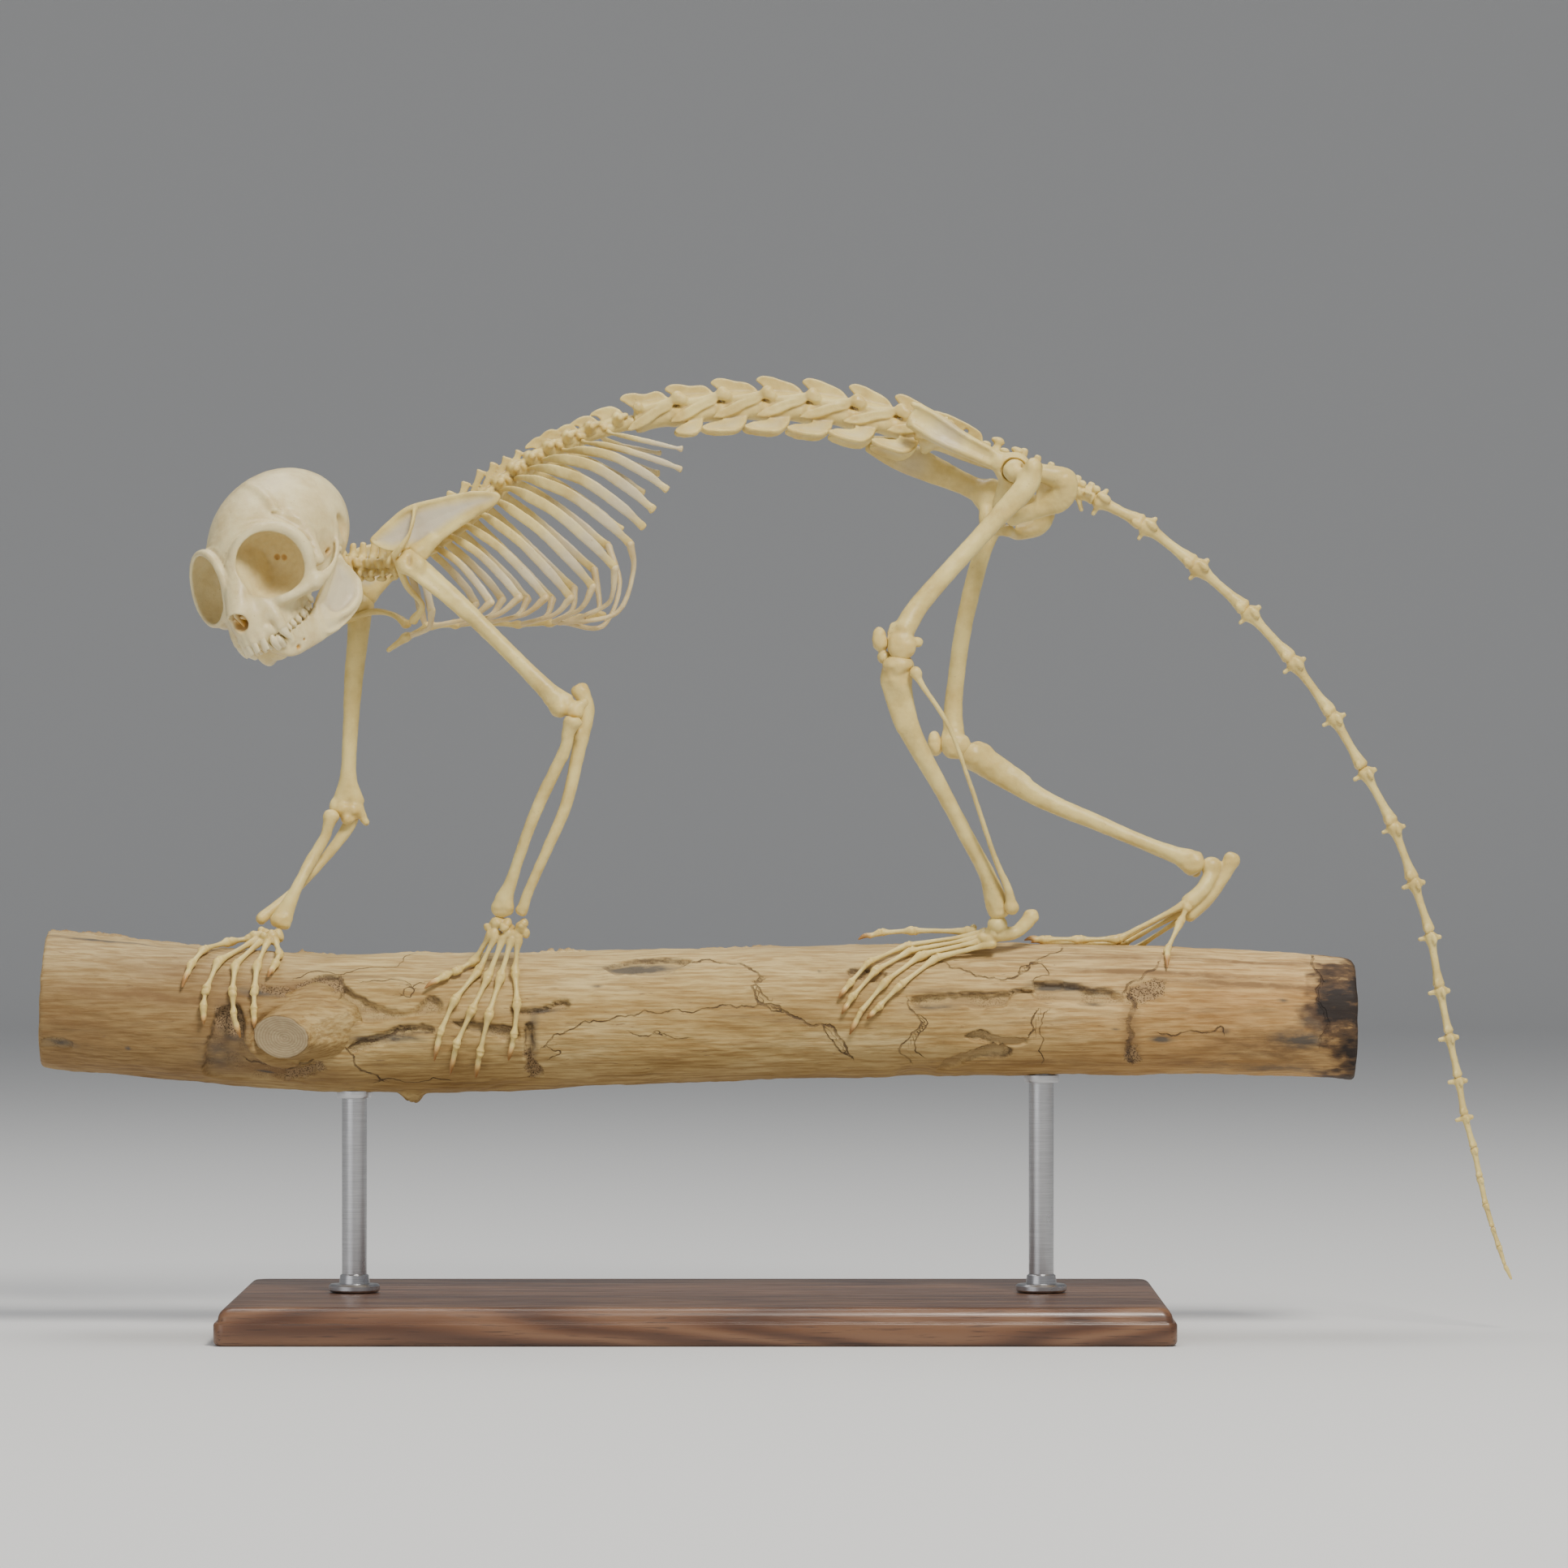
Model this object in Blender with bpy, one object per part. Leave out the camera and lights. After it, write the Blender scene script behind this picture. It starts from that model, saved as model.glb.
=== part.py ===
# Night monkey skeleton, life size, walking along a log, on a flat base with two rods.
# Lengths are millimetres, and MM turns them into Blender's metres.
# +X runs towards the tail, the animal's left side is at -Y, +Z is up.
# The origin is the centre of the base's underside.

import math

import bmesh
import bpy
import numpy as np
from mathutils import Vector

MM = 0.001
GAP = 0.3            # air between two neighbouring pieces
DOME = 0.5           # how far a tube's end bulges, in radii
FLAT_ANGLE = 3.0     # degrees, faces that meet flatter than this become one
KEEP_FACES = 0.72    # share of a fused body's triangles that is kept
WELD = 0.002         # points nearer than this become one
MID_CUT = -0.5       # y of the cut that parts the thorax into its two sides
SKEW = -0.24         # how far the right side stands ahead of the left, for each mm between them
HAND_LIFT = 1.85     # from the bark to a finger's middle line
FOOT_LIFT = 1.75
FINGER_KNOB = 1.5    # radius of a finger's first joint
TOE_KNOB = 1.4

BASE_SIZE = (300.0, 150.0, 12.0)
BASE_BEVEL = 2.0
ROD_X = (-110.0, 110.0)
ROD_RADIUS = 4.0
SOCKET_DEPTH = 12.0

# The log: x, height of its axis, radius
LOG_RINGS = (
    (-210, 106, 21.6), (-169, 102, 22), (-145, 100, 21.8), (-119, 98.5, 22), (-95, 98.5, 22.2),
    (-71, 98.5, 22), (-10, 100.5, 21.5), (52, 102.3, 21.2), (119, 102.5, 21), (168, 102, 20),
    (210, 99.8, 19.6),
)
KNOT_FOOT = (-121, -12, 102)
KNOT_FACE = (-130.5, -27, 95)
KNOT_RADII = (9.5, 7)
KNOT_FOOT_RADIUS = 11
BUMP_AT = (-92, -2, 76)
BUMP_SIZE = (6, 5, 3.4)

# The backbone's centre line from the skull to the first free tail bone
SPINE = (
    (-120, -1, 245.5), (-106.5, -2, 243.5), (-93.5, -2, 245.5), (-74, -2, 259), (-53.5, 0, 277),
    (-31, 1, 288), (-5, 2, 293.5), (22, 3, 295), (49.5, 4, 292.5), (75.5, 4, 286),
    (104, 4.5, 275.5), (127.5, 3, 266.5),
)
NECK_X = (-119.5, -95.3)
THORAX_X = np.array((-91.5, -86.5, -81.6, -76.8, -72, -67.2, -62.5, -57.8, -53, -48, -42.5, -36.5,
                     -30))
THORAX_ENDS = (-94.6, -25.2)
LUMBAR_X = (-18, 66)
LUMBAR_ENDS = (-24.9, 72.7)
TAIL_BASE_X = (100.4, 127.2)

# Skull: its middle point between the orbits and its forward, left and up directions
SKULL_AT = np.array((-146, -28, 241.4))
FORWARD = np.array((-0.42, -0.80, -0.43))
LEFT = np.array((0.776, -0.555, 0.306))
UP = np.array((-0.483, -0.205, 0.854))
SKULL_AXES = (FORWARD, LEFT, UP)
ORBIT_SIDE = 12.3      # from the middle of the face to an orbit's centre
ORBIT_TURN = 27        # degrees that an orbit looks outwards
ORBIT_RADIUS = 11.2    # inside the rim

# Tail joints from the first free tail bone to the tip: x, y, z
TAIL = (
    (127.5, 3, 266.5), (142.5, 2, 258.5), (159, 1, 245.5), (175.5, 0, 231), (190, 0, 215),
    (203, 0, 197.5), (213, 0, 180), (222.5, 0, 162.5), (229, 0, 144.5), (234.5, 0, 127.5),
    (237.5, 0, 110), (240.5, 0, 95), (243.5, 0, 81), (245.5, 0, 69), (248.5, 0, 58.5),
    (250.5, 0, 49), (252.3, 0, 40.5), (254.5, 0, 33), (256.5, 0, 27), (258.5, 0, 21),
    (260.5, 0, 16.5),
)
TAIL_LENGTHS = ((0, 3), (3, 6), (6, 9), (9, 12), (12, 16), (16, 20))

# Costal ends of the 13 ribs: x, z, and how far out they stand
RIB_ENDS = (
    (-85, 230, 8), (-66, 233, 12), (-57, 234.5, 13), (-48.5, 234.5, 14), (-40.5, 234.5, 14),
    (-33.5, 238, 14), (-26.5, 244, 15), (-21.5, 251.5, 16), (-17, 256.5, 16), (-14, 262, 17),
    (-9.5, 268.5, 17), (-5, 275, 16), (-5, 281.5, 15),
)
STERNUM = (
    (-93.5, 222), (-86, 225.5), (-77.5, 226), (-68, 226.5), (-57.5, 226), (-47.5, 226.5),
    (-37.5, 228), (-31, 229),
)


# Colour, roughness and metallic share of each material
FINISHES = {
    "bone": ((0.80, 0.74, 0.56), 0.45, 0.0),
    "log_wood": ((0.58, 0.42, 0.24), 0.75, 0.0),
    "base_wood": ((0.20, 0.10, 0.05), 0.40, 0.0),
    "steel": ((0.60, 0.60, 0.62), 0.30, 1.0),
}
PIECES = {}          # node name: the closed pieces it is made of


# Long bones: rows of x, y, z, half width and, where it differs, half depth
SHAFTS = {
    "ulna_left": ((-37, -21, 206.8, 2.2), (-35.2, -21, 198, 3.0, 2.6), (-37.5, -22, 186, 2.2),
                  (-41.5, -22, 168.5, 1.9), (-47, -21, 155.5, 1.7), (-53.5, -18.8, 141, 1.6),
                  (-55.8, -17.5, 134.5, 2.0)),
    "ulna_right": ((-108, 20, 170.5, 2.0), (-109, 20, 164, 2.4), (-111, 19.5, 159, 2),
                   (-119, 18, 151, 1.6), (-129.5, 13, 141, 1.5), (-140.5, 7, 131.5, 1.9)),
    "humerus_left": ((-90, -17, 244.5, 3.7), (-77, -19, 233.5, 2.9), (-61.5, -21, 218.5, 2.6),
                     (-48.5, -23, 205.5, 2.9, 2.7), (-43, -23.6, 200, 5.6, 2.6)),
    "humerus_right": ((-109, 17.3, 232, 4.2), (-110, 18, 221, 3.6), (-111.3, 18, 208, 3.2),
                      (-112.3, 18, 192, 2.7), (-113, 18, 178, 2.6), (-113, 18, 169.5, 5.2, 2.4)),
    "radius_left": ((-39.8, -27, 193.2, 2.6), (-42, -26, 185.5, 1.8), (-49, -24, 171, 2.0),
                    (-54, -22, 159, 1.9), (-59, -18.5, 144.5, 1.9), (-61.5, -17, 138, 3.0, 2.6),
                    (-62, -16.4, 134.2, 3.4, 2.6)),
    "radius_right": ((-117.5, 16.2, 163, 2.4), (-119.5, 15, 157.5, 1.7), (-124.5, 12.5, 150.5, 1.9),
                     (-129, 8, 141.5, 1.8), (-133, 5.8, 132.8, 3.0, 2.4),
                     (-134, 5, 129.8, 3.3, 2.4)),
    "clavicle_left": ((-96.3, -15.5, 247.3, 1.3), (-92.5, -12.5, 238, 1.0), (-87.8, -10, 232, 1.0),
                      (-91, -4.5, 227, 1.4)),
    "clavicle_right": ((-114, 14, 227.5, 1.3), (-105, 12, 230.3, 1.0), (-98, 8, 229.3, 1.0),
                       (-93.5, 4, 226, 1.4)),
    "femur_left": ((107.3, -18, 276.2, 2.2, 2.6), (104.5, -19.2, 269.5, 3.6), (97, -21, 261.3, 3.2),
                   (88, -23, 251.3, 3.0), (79, -26, 241.5, 3.0), (70, -28.3, 231, 3.2),
                   (65.5, -30, 223.5, 4.6, 3.6)),
    "femur_right": ((99.6, 21, 266.6, 2.2, 2.6), (96.2, 21.8, 260.5, 3.4), (92, 20.5, 251, 2.9),
                    (88, 19, 236.5, 2.8), (85, 17.8, 222.5, 2.7), (83, 17, 208, 2.7),
                    (82, 16, 197, 3.1), (82.4, 16, 191, 4.2, 3.6)),
    "tibia_left": ((63.8, -29.8, 212.8, 5.2, 4.8), (63.5, -29.8, 208, 4.6, 5.0),
                   (64.5, -29.5, 201, 2.8, 4.4), (67, -29, 193, 2.6, 3.6),
                   (71.5, -27, 184, 2.6, 3.0), (78.5, -24, 171.5, 2.6), (85.5, -20, 158.5, 2.5),
                   (92, -16.8, 146.5, 2.6), (95, -14.6, 138, 3.6), (96, -14, 134.6, 3.4)),
    "tibia_right": ((88.3, 16, 184.2, 5.2, 4.4), (92.5, 15.8, 181.6, 4.6, 4.4),
                    (99.5, 15, 177, 2.8, 3.9), (112.5, 14, 169.2, 2.5, 3.0),
                    (128, 12, 162.6, 2.4, 2.6), (141, 10.2, 157, 2.3), (151.5, 9, 153, 2.4),
                    (159.4, 8.2, 149.4, 3.4, 4.2)),
    "fibula_left": ((69.2, -34.0, 210.2, 1.9), (71.4, -34.2, 206, 1.2), (79.5, -32.5, 193.5, 0.9),
                    (86, -29.4, 176.5, 0.85), (94, -22.8, 153, 0.95), (98.8, -19.2, 141.5, 1.4),
                    (100, -17.8, 135.8, 1.9)),
    "fibula_right": ((93.5, 21.4, 180.5, 1.6), (99, 20.5, 176.6, 1.1), (113, 18.5, 168, 0.9),
                     (140, 14.4, 156, 0.9), (153, 13.4, 150.6, 1.2), (160, 13.4, 147.4, 1.8)),
}
# The left shoulder blade; the right one stands moved by RIGHT_SHOULDER
SHOULDER_BLADE = (
    (-87.5, 17, 249.5), (-79, 17, 256), (-71, 17, 261), (-65, 17.5, 263.5), (-63, 17.5, 266.5),
    (-68, 17.5, 267.8), (-79, 17, 266), (-91, 16, 263), (-98, 15, 258), (-104, 14.5, 252.5),
    (-98, 15.5, 249), (-92, 17, 250),
)
BLADE_NECK = ((-84, 17, 253, 1.3, 2.6), (-88.3, 17, 248.3, 2.6, 3.2))
BLADE_SPINE = ((-78, 18, 261.5, 0.6, 1.0), (-86, 20, 257, 1.4, 1.0), (-92, 21.5, 252.5, 1.2, 1.3),
               (-95.5, 20, 248.8, 1.2, 1.5))
RIGHT_SHOULDER = np.array((-18, 0, -12.5))
# Hip bones: the long blade, the socket and the two bars round the lower opening
ILIUM = {
    "left": ((67.5, -9, 292.5, 1.0, 3.0), (75, -9, 290, 1.2, 5.6), (84, -9.5, 284.5, 1.6, 4.2),
             (93, -11, 279.5, 2.2, 3.3), (101, -11.5, 275, 3.0, 4.0)),
    "right": ((55, 16, 284.5, 1.0, 2.6), (64, 16, 281.5, 1.2, 5.0), (74, 16, 277, 1.5, 4.6),
              (84, 15.5, 272.5, 2.2, 3.6), (94, 14.5, 267.5, 3.0, 4.0)),
}
HIP_BALL = 3.7
HIP_SOCKET = {"left": (101, -10.6, 275), "right": (94.2, 13.6, 267.5)}
LOWER_HIP = {
    "left": (((101, -10, 275, 3.2), (110, -9.5, 274.5, 2.6), (118, -8, 272, 2.6, 3.6),
              (117.5, -7, 265.8, 1.8, 2.6), (109, -4.8, 260.4, 1.7), (101, -3.4, 258.2, 1.8)),
             ((101, -3.4, 258.2, 1.8), (96.5, -5.5, 262, 1.8), (98.5, -9, 271, 2.2))),
    "right": (((94, 13, 267.5, 3.2), (103, 13.5, 266.5, 2.4), (111, 13, 263.5, 2.4, 3.4),
               (110, 12, 257.5, 1.8, 2.4), (103, 9.5, 255, 1.6), (99.5, 4.2, 256.2, 1.7)),
              ((99.5, 4.2, 256.2, 1.7), (93, 8.5, 257, 1.8), (92.5, 12, 264, 2.2))),
}
SACRUM_BODY = ((70.5, 3.8, 287.6, 4.6, 3.6), (79, 3.9, 284.6, 4.4, 3.4), (89, 4.2, 280.4, 3.6, 3.0),
               (100, 4.4, 276.8, 3.0, 2.7))
SACRUM_WINGS = ((79.5, -7.6, 287.4, 3.2, 4.4), (75, 3, 286, 3.0, 4.4), (70, 14.2, 280.2, 3.2, 4.4))
SACRUM_CREST = ((77, 8.6), (84, 8.6), (91, 7.8), (97, 7.2))     # x and height of each spine
# The two lowest rib cartilages: drop from the rib, low point's x and side, turn
MARGIN = {6: (8, -27, 11, (-30, 7, 231.5)), 7: (9, -20.5, 11, (-26, 7, 229.5))}
CARTILAGE = 0.75
# Wrist bones, then each finger's root and its joints on the bark (x, z)
WRIST_BONE = 2.35
LEFT_WRIST = ((-63.8, -16.6, 130.6), (-60, -16.8, 131), (-56.6, -17, 129.8), (-64, -17, 127.2),
              (-60.4, -17.2, 127), (-57, -17, 126.2))
LEFT_FINGERS = (
    ((-65.5, -17, 127.5), ((-71, 118.5), (-76.5, 115.5), (-80.5, 114), (-86.5, 110))),
    ((-64, -17, 127), ((-69.5, 115.5), (-77, 106.5), (-81.5, 96), (-83.5, 87))),
    ((-61.5, -17.2, 126.5), ((-66.5, 113.5), (-71.5, 103), (-76.5, 92), (-78.5, 82.5))),
    ((-59, -17.2, 126), ((-62.5, 113.5), (-66, 102), (-69, 89.5), (-70.5, 81.5))),
    ((-57, -17, 125.5), ((-58, 115), (-57, 105.5), (-58, 95), (-60, 87))),
)
RIGHT_WRIST = ((-135.2, 2.6, 126.4), (-139, 2.2, 127), (-136, -0.6, 125.8), (-140, -0.8, 126),
               (-142.4, 1, 125.8))
RIGHT_FINGERS = (
    ((-142.5, 0.5, 125.5), ((-157.5, 122.3), (-161, 117.5), (-163.5, 110.5))),
    ((-141, -0.5, 125.2), ((-152.5, 118.5), (-156, 109.5), (-156.7, 104), (-156.5, 98.5))),
    ((-139.5, -1, 125), ((-147, 117.5), (-147.6, 109), (-147, 101.5), (-145, 94.5))),
    ((-137.6, -1, 124.8), ((-140, 117.5), (-140.7, 109.5), (-140.6, 103), (-140.5, 97.5))),
    ((-135.5, 0, 124.8), ((-133.2, 120.8), (-134.5, 117.5), (-136.5, 113.5))),
)
ARCHED_FINGER = (-150, -2, 2.2)      # x, y and lift of the right thumb side's high joint
# The left foot grips the log's side, the right foot stands along its top (x, y, lift)
LEFT_HEEL = ((94.5, -12, 127.4, 2.8), (98, -12, 127.2, 2.6), (101.5, -11.2, 127.6, 2.3),
             (106, -10.4, 132, 2.5))
LEFT_ANKLE = ((93.4, -9.8, 127.4), (93.6, -13.4, 125.8), (90.4, -8.6, 127.2), (90.6, -11.6, 125.8),
              (87.2, -6.4, 127.8))
LEFT_GREAT_TOE = ((86.5, -6, 127.8), (69, -3.5, 128), (58.5, -2.5, 127.3), (51.5, -2.5, 125.2))
LEFT_TOES = (
    ((90, -8.5, 126.8), ((67, 123.4), (54.5, 118.2), (48.5, 111.5), (45, 107))),
    ((91, -10.5, 126), ((68, 121.8), (57, 115.8), (49, 107), (46, 102))),
    ((92.5, -12, 125.2), ((71.5, 120.6), (60, 112.3), (51.8, 102.4), (48.5, 95.5))),
    ((94.5, -13.5, 124.2), ((76, 119.6), (64.5, 111), (57.5, 104), (54, 100.5))),
)
RIGHT_HEEL = ((171.5, 8.4, 150.6, 2.4, 2.8), (168.6, 7.8, 144.5, 2.0), (163.6, 6.4, 138, 2.3),
              (158, 5.4, 132.8, 2.3))
RIGHT_ANKLE = ((165, 7.6, 146, 2.6), (162, 4.8, 141, 2.4), (157.5, 3.6, 137, 2.5))
RIGHT_GREAT_TOE = (((157, 1.4, 136), (154.5, 0, 130.5)), ((150, 122.2), (149.5, 116.5)))
RIGHT_TOES = (
    ((157, 2.6, 136.8), ((134.5, 0, 2.2), (122, -1.5, 1.8), (111, -2.5, 1.8), (104.5, -3, 1.6))),
    ((157, 4.2, 136.6), ((135.5, 4, 2.2), (123, 3, 1.8), (112, 2.2, 1.8), (105, 2, 1.6))),
    ((157.4, 5.8, 134.8), ((137, 8, 2.2), (125, 8, 1.8), (114, 7.4, 1.8), (107, 7, 1.6))),
    ((157.6, 7, 133.2), ((140.5, 12, 2.2), (130, 12.5, 1.8), (120.5, 12.4, 1.8), (114, 12, 1.6))),
)


def unit(vector):
    vector = np.asarray(vector, float)
    return vector / np.linalg.norm(vector)


def smooth(rows, steps):
    # Catmull-Rom curve through rows of numbers, steps stretches between two rows
    rows = np.asarray(rows, float)
    padded = np.vstack((2 * rows[0] - rows[1], rows, 2 * rows[-1] - rows[-2]))
    out = []
    for i in range(len(rows) - 1):
        p0, p1, p2, p3 = padded[i:i + 4]
        for t in np.arange(steps) / steps:
            out.append(0.5 * (2 * p1 + (p2 - p0) * t + (2 * p0 - 5 * p1 + 4 * p2 - p3) * t ** 2
                              + (3 * p1 - p0 - 3 * p2 + p3) * t ** 3))
    out.append(rows[-1])
    return np.array(out)


def skin(rings, first, last):
    # Closed surface over rings of points, with a pole at each end
    count, sides = rings.shape[:2]
    points = np.vstack((rings.reshape(-1, 3), first, last))
    faces = []
    for j in range(sides):
        k = (j + 1) % sides
        faces.append((count * sides, k, j))
        faces.append((count * sides + 1, (count - 1) * sides + j, (count - 1) * sides + k))
        for i in range(count - 1):
            faces.append((i * sides + j, i * sides + k, (i + 1) * sides + k, (i + 1) * sides + j))
    return points, faces


def tube(rows, sides=6, steps=1, side=(0, 1, 0), dome=DOME):
    # Tube along rows of x, y, z, half width along side, half depth; grow swells it all round
    def build(grow=0.0):
        full = np.array([tuple(r) if len(r) == 5 else tuple(r) + (r[3],) for r in rows], float)
        path = smooth(full, steps) if steps > 1 else full
        centre = path[:, :3].copy()
        radius = path[:, 3:] + grow
        along = np.gradient(centre, axis=0)
        along /= np.linalg.norm(along, axis=1)[:, None]
        bulge = dome * radius.min(axis=1)
        centre[0] -= along[0] * grow
        centre[-1] += along[-1] * grow
        wide = np.asarray(side, float) - (along @ np.asarray(side, float))[:, None] * along
        wide /= np.linalg.norm(wide, axis=1)[:, None]
        deep = np.cross(along, wide)
        angle = 2 * math.pi * (np.arange(sides) + 0.5) / sides
        rings = (centre[:, None] + wide[:, None] * (radius[:, :1] * np.cos(angle))[..., None]
                 + deep[:, None] * (radius[:, 1:] * np.sin(angle))[..., None])
        return skin(rings, centre[0] - along[0] * bulge[0], centre[-1] + along[-1] * bulge[-1])
    return build


def ball(centre, radii, axes=((1, 0, 0), (0, 1, 0), (0, 0, 1)), sides=8, rings=4):
    # Ellipsoid with its three half sizes along three axes
    def build(grow=0.0):
        size = np.broadcast_to(np.asarray(radii, float), 3) + grow
        frame = np.array([unit(a) for a in axes])
        lat = math.pi * (np.arange(rings) + 1) / (rings + 1)
        lon = 2 * math.pi * np.arange(sides) / sides
        local = np.stack((np.outer(np.sin(lat), np.cos(lon)), np.outer(np.sin(lat), np.sin(lon)),
                          np.outer(-np.cos(lat), np.ones(sides))), axis=-1)
        place = np.asarray(centre, float)
        pole = size[2] * frame[2]
        return skin(place + (local * size) @ frame, place - pole, place + pole)
    return build


def plate(outline, thick, across):
    # Thin plate: an outline round its middle point, thick measured along across
    def build(grow=0.0):
        edge = np.asarray(outline, float)
        middle = edge.mean(axis=0)
        outward = edge - middle
        edge = edge + outward / np.linalg.norm(outward, axis=1)[:, None] * grow * 1.5
        step = unit(across) * (thick / 2 + grow)
        return skin(np.array((edge - step, edge + step)), middle - step, middle + step)
    return build


def mesh_object(name, points, faces):
    mesh = bpy.data.meshes.new(name)
    mesh.from_pydata([tuple(p) for p in np.asarray(points) * MM], [], faces)
    shape = bmesh.new()
    shape.from_mesh(mesh)
    bmesh.ops.triangulate(shape, faces=shape.faces)
    if shape.calc_volume(signed=True) < 0:
        bmesh.ops.reverse_faces(shape, faces=shape.faces)
    shape.to_mesh(mesh)
    shape.free()
    return bpy.data.objects.new(name, mesh)


def surface_volume(faces):
    total = 0.0
    for face in faces:
        a, b, c = (v.co for v in face.verts)
        total += a.dot(b.cross(c)) / 6
    return total


def keep_largest(mesh, flat_angle):
    # Drop every closed surface but the largest, and the seam's slivers
    shape = bmesh.new()
    shape.from_mesh(mesh)
    bmesh.ops.remove_doubles(shape, verts=shape.verts, dist=WELD * MM)
    bmesh.ops.dissolve_degenerate(shape, edges=shape.edges, dist=WELD / 2 * MM)
    bmesh.ops.dissolve_limit(shape, angle_limit=math.radians(flat_angle), verts=shape.verts,
                             edges=shape.edges)
    bmesh.ops.triangulate(shape, faces=shape.faces)
    unseen = set(shape.faces)
    groups = []
    while unseen:
        stack = [unseen.pop()]
        group = []
        while stack:
            face = stack.pop()
            group.append(face)
            for edge in face.edges:
                for near in edge.link_faces:
                    if near in unseen:
                        unseen.remove(near)
                        stack.append(near)
        groups.append(group)
    groups.sort(key=surface_volume)
    for group in groups[:-1]:
        bmesh.ops.delete(shape, geom=group, context="FACES")
    loose = [v for v in shape.verts if not v.link_faces]
    bmesh.ops.delete(shape, geom=loose, context="VERTS")
    shape.to_mesh(mesh)
    shape.free()


def apply_modifier(made, modifier):
    graph = bpy.context.evaluated_depsgraph_get()
    result = bpy.data.meshes.new_from_object(made.evaluated_get(graph))
    made.modifiers.remove(modifier)
    old = made.data
    made.data = result
    bpy.data.meshes.remove(old)
    result.name = made.name


def thin_out(made):
    # Merge the small faces that fusing leaves
    modifier = made.modifiers.new("Thin out", "DECIMATE")
    modifier.ratio = KEEP_FACES
    apply_modifier(made, modifier)


def boolean(made, pieces, operation, grow=0.0):
    # One Boolean of a body with a collection of closed pieces, applied
    group = bpy.data.collections.new(made.name + "_tools")
    bpy.context.scene.collection.children.link(group)
    for i, piece in enumerate(pieces):
        group.objects.link(mesh_object(f"tool_{i}", *piece(grow)))
    modifier = made.modifiers.new(operation.title(), "BOOLEAN")
    modifier.operation = operation
    modifier.operand_type = "COLLECTION"
    modifier.collection = group
    modifier.solver = "EXACT"
    apply_modifier(made, modifier)
    for tool in list(group.objects):
        bpy.data.meshes.remove(tool.data)
    bpy.data.collections.remove(group)


def material(name):
    if name not in bpy.data.materials:
        colour, roughness, metallic = FINISHES[name]
        made = bpy.data.materials.new(name)
        made.use_nodes = True
        shader = made.node_tree.nodes["Principled BSDF"]
        shader.inputs["Base Color"].default_value = (*colour, 1.0)
        shader.inputs["Roughness"].default_value = roughness
        shader.inputs["Metallic"].default_value = metallic
    return bpy.data.materials[name]


def node(name, pieces, cuts=(), clear_of=(), finish="bone", smooth_angle=50,
         flat_angle=FLAT_ANGLE):
    # Fuse pieces into one body, cut it, and clear it of finished neighbours by the gap
    made = mesh_object(name, *pieces[0]())
    bpy.context.scene.collection.objects.link(made)
    if len(pieces) > 1:
        boolean(made, pieces[1:], "UNION")
    if cuts:
        boolean(made, cuts, "DIFFERENCE")
    for other in clear_of:
        boolean(made, PIECES[other], "DIFFERENCE", grow=GAP)
    keep_largest(made.data, flat_angle)
    if len(pieces) > 1 and finish == "bone":
        thin_out(made)
    made.data.materials.clear()
    made.data.materials.append(material(finish))
    made.data.shade_smooth()
    made.data.set_sharp_from_angle(angle=math.radians(smooth_angle))
    PIECES[name] = pieces
    return made


SPINE_LINE = smooth(SPINE, 12)


def spine_at(x):
    # Centre and direction of the backbone where it passes x
    place = np.array([np.interp(x, SPINE_LINE[:, 0], SPINE_LINE[:, k]) for k in range(3)])
    ahead = np.array([np.interp(x + 1, SPINE_LINE[:, 0], SPINE_LINE[:, k]) for k in range(3)])
    return place, unit(ahead - place)


def spine_frame(x):
    # Centre, direction towards the tail, side to the right, and back direction
    place, along = spine_at(x)
    aside = unit(np.array((SKEW, 1, 0)) - np.dot((SKEW, 1, 0), along) * along)
    return place, along, aside, np.cross(along, aside)


def log_at(x):
    rings = np.array(LOG_RINGS, float)
    return np.interp(x, rings[:, 0], rings[:, 1]), np.interp(x, rings[:, 0], rings[:, 2])


def on_log(x, z, lift, top_y=-3.0):
    # Point beside the log's left face at height z, lift above the bark
    height, radius = log_at(x)
    reach = (radius + lift) ** 2 - (z - height) ** 2
    return (x, -math.sqrt(reach) if reach > top_y ** 2 else top_y, z)


def over_log(x, y, lift):
    # Point above the log's top at depth y, lift above the bark
    height, radius = log_at(x)
    return (x, y, height + math.sqrt((radius + lift) ** 2 - y ** 2))


def digit(joints, knob, tip=0.45, claw=2):
    # Finger or toe: a tube with a knob at each joint, ending in a claw
    rows = []
    for i, (a, b) in enumerate(zip(joints[:-1], joints[1:])):
        a, b = np.array(a, float), np.array(b, float)
        size = knob * (1 - 0.05 * i)
        rows.append((*a, size))
        rows.append((*((a + b) / 2), size * (0.75 if i == len(joints) - claw else 0.62)))
    rows.append((*joints[-1], tip))
    return tube(rows, sides=5)


def shaft(name, sides, steps, side=(0, 1, 0), more=(), clear_of=()):
    # A long bone with its end pieces
    node(name, [tube(SHAFTS[name], sides, steps, side)] + list(more), clear_of=clear_of)


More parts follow.
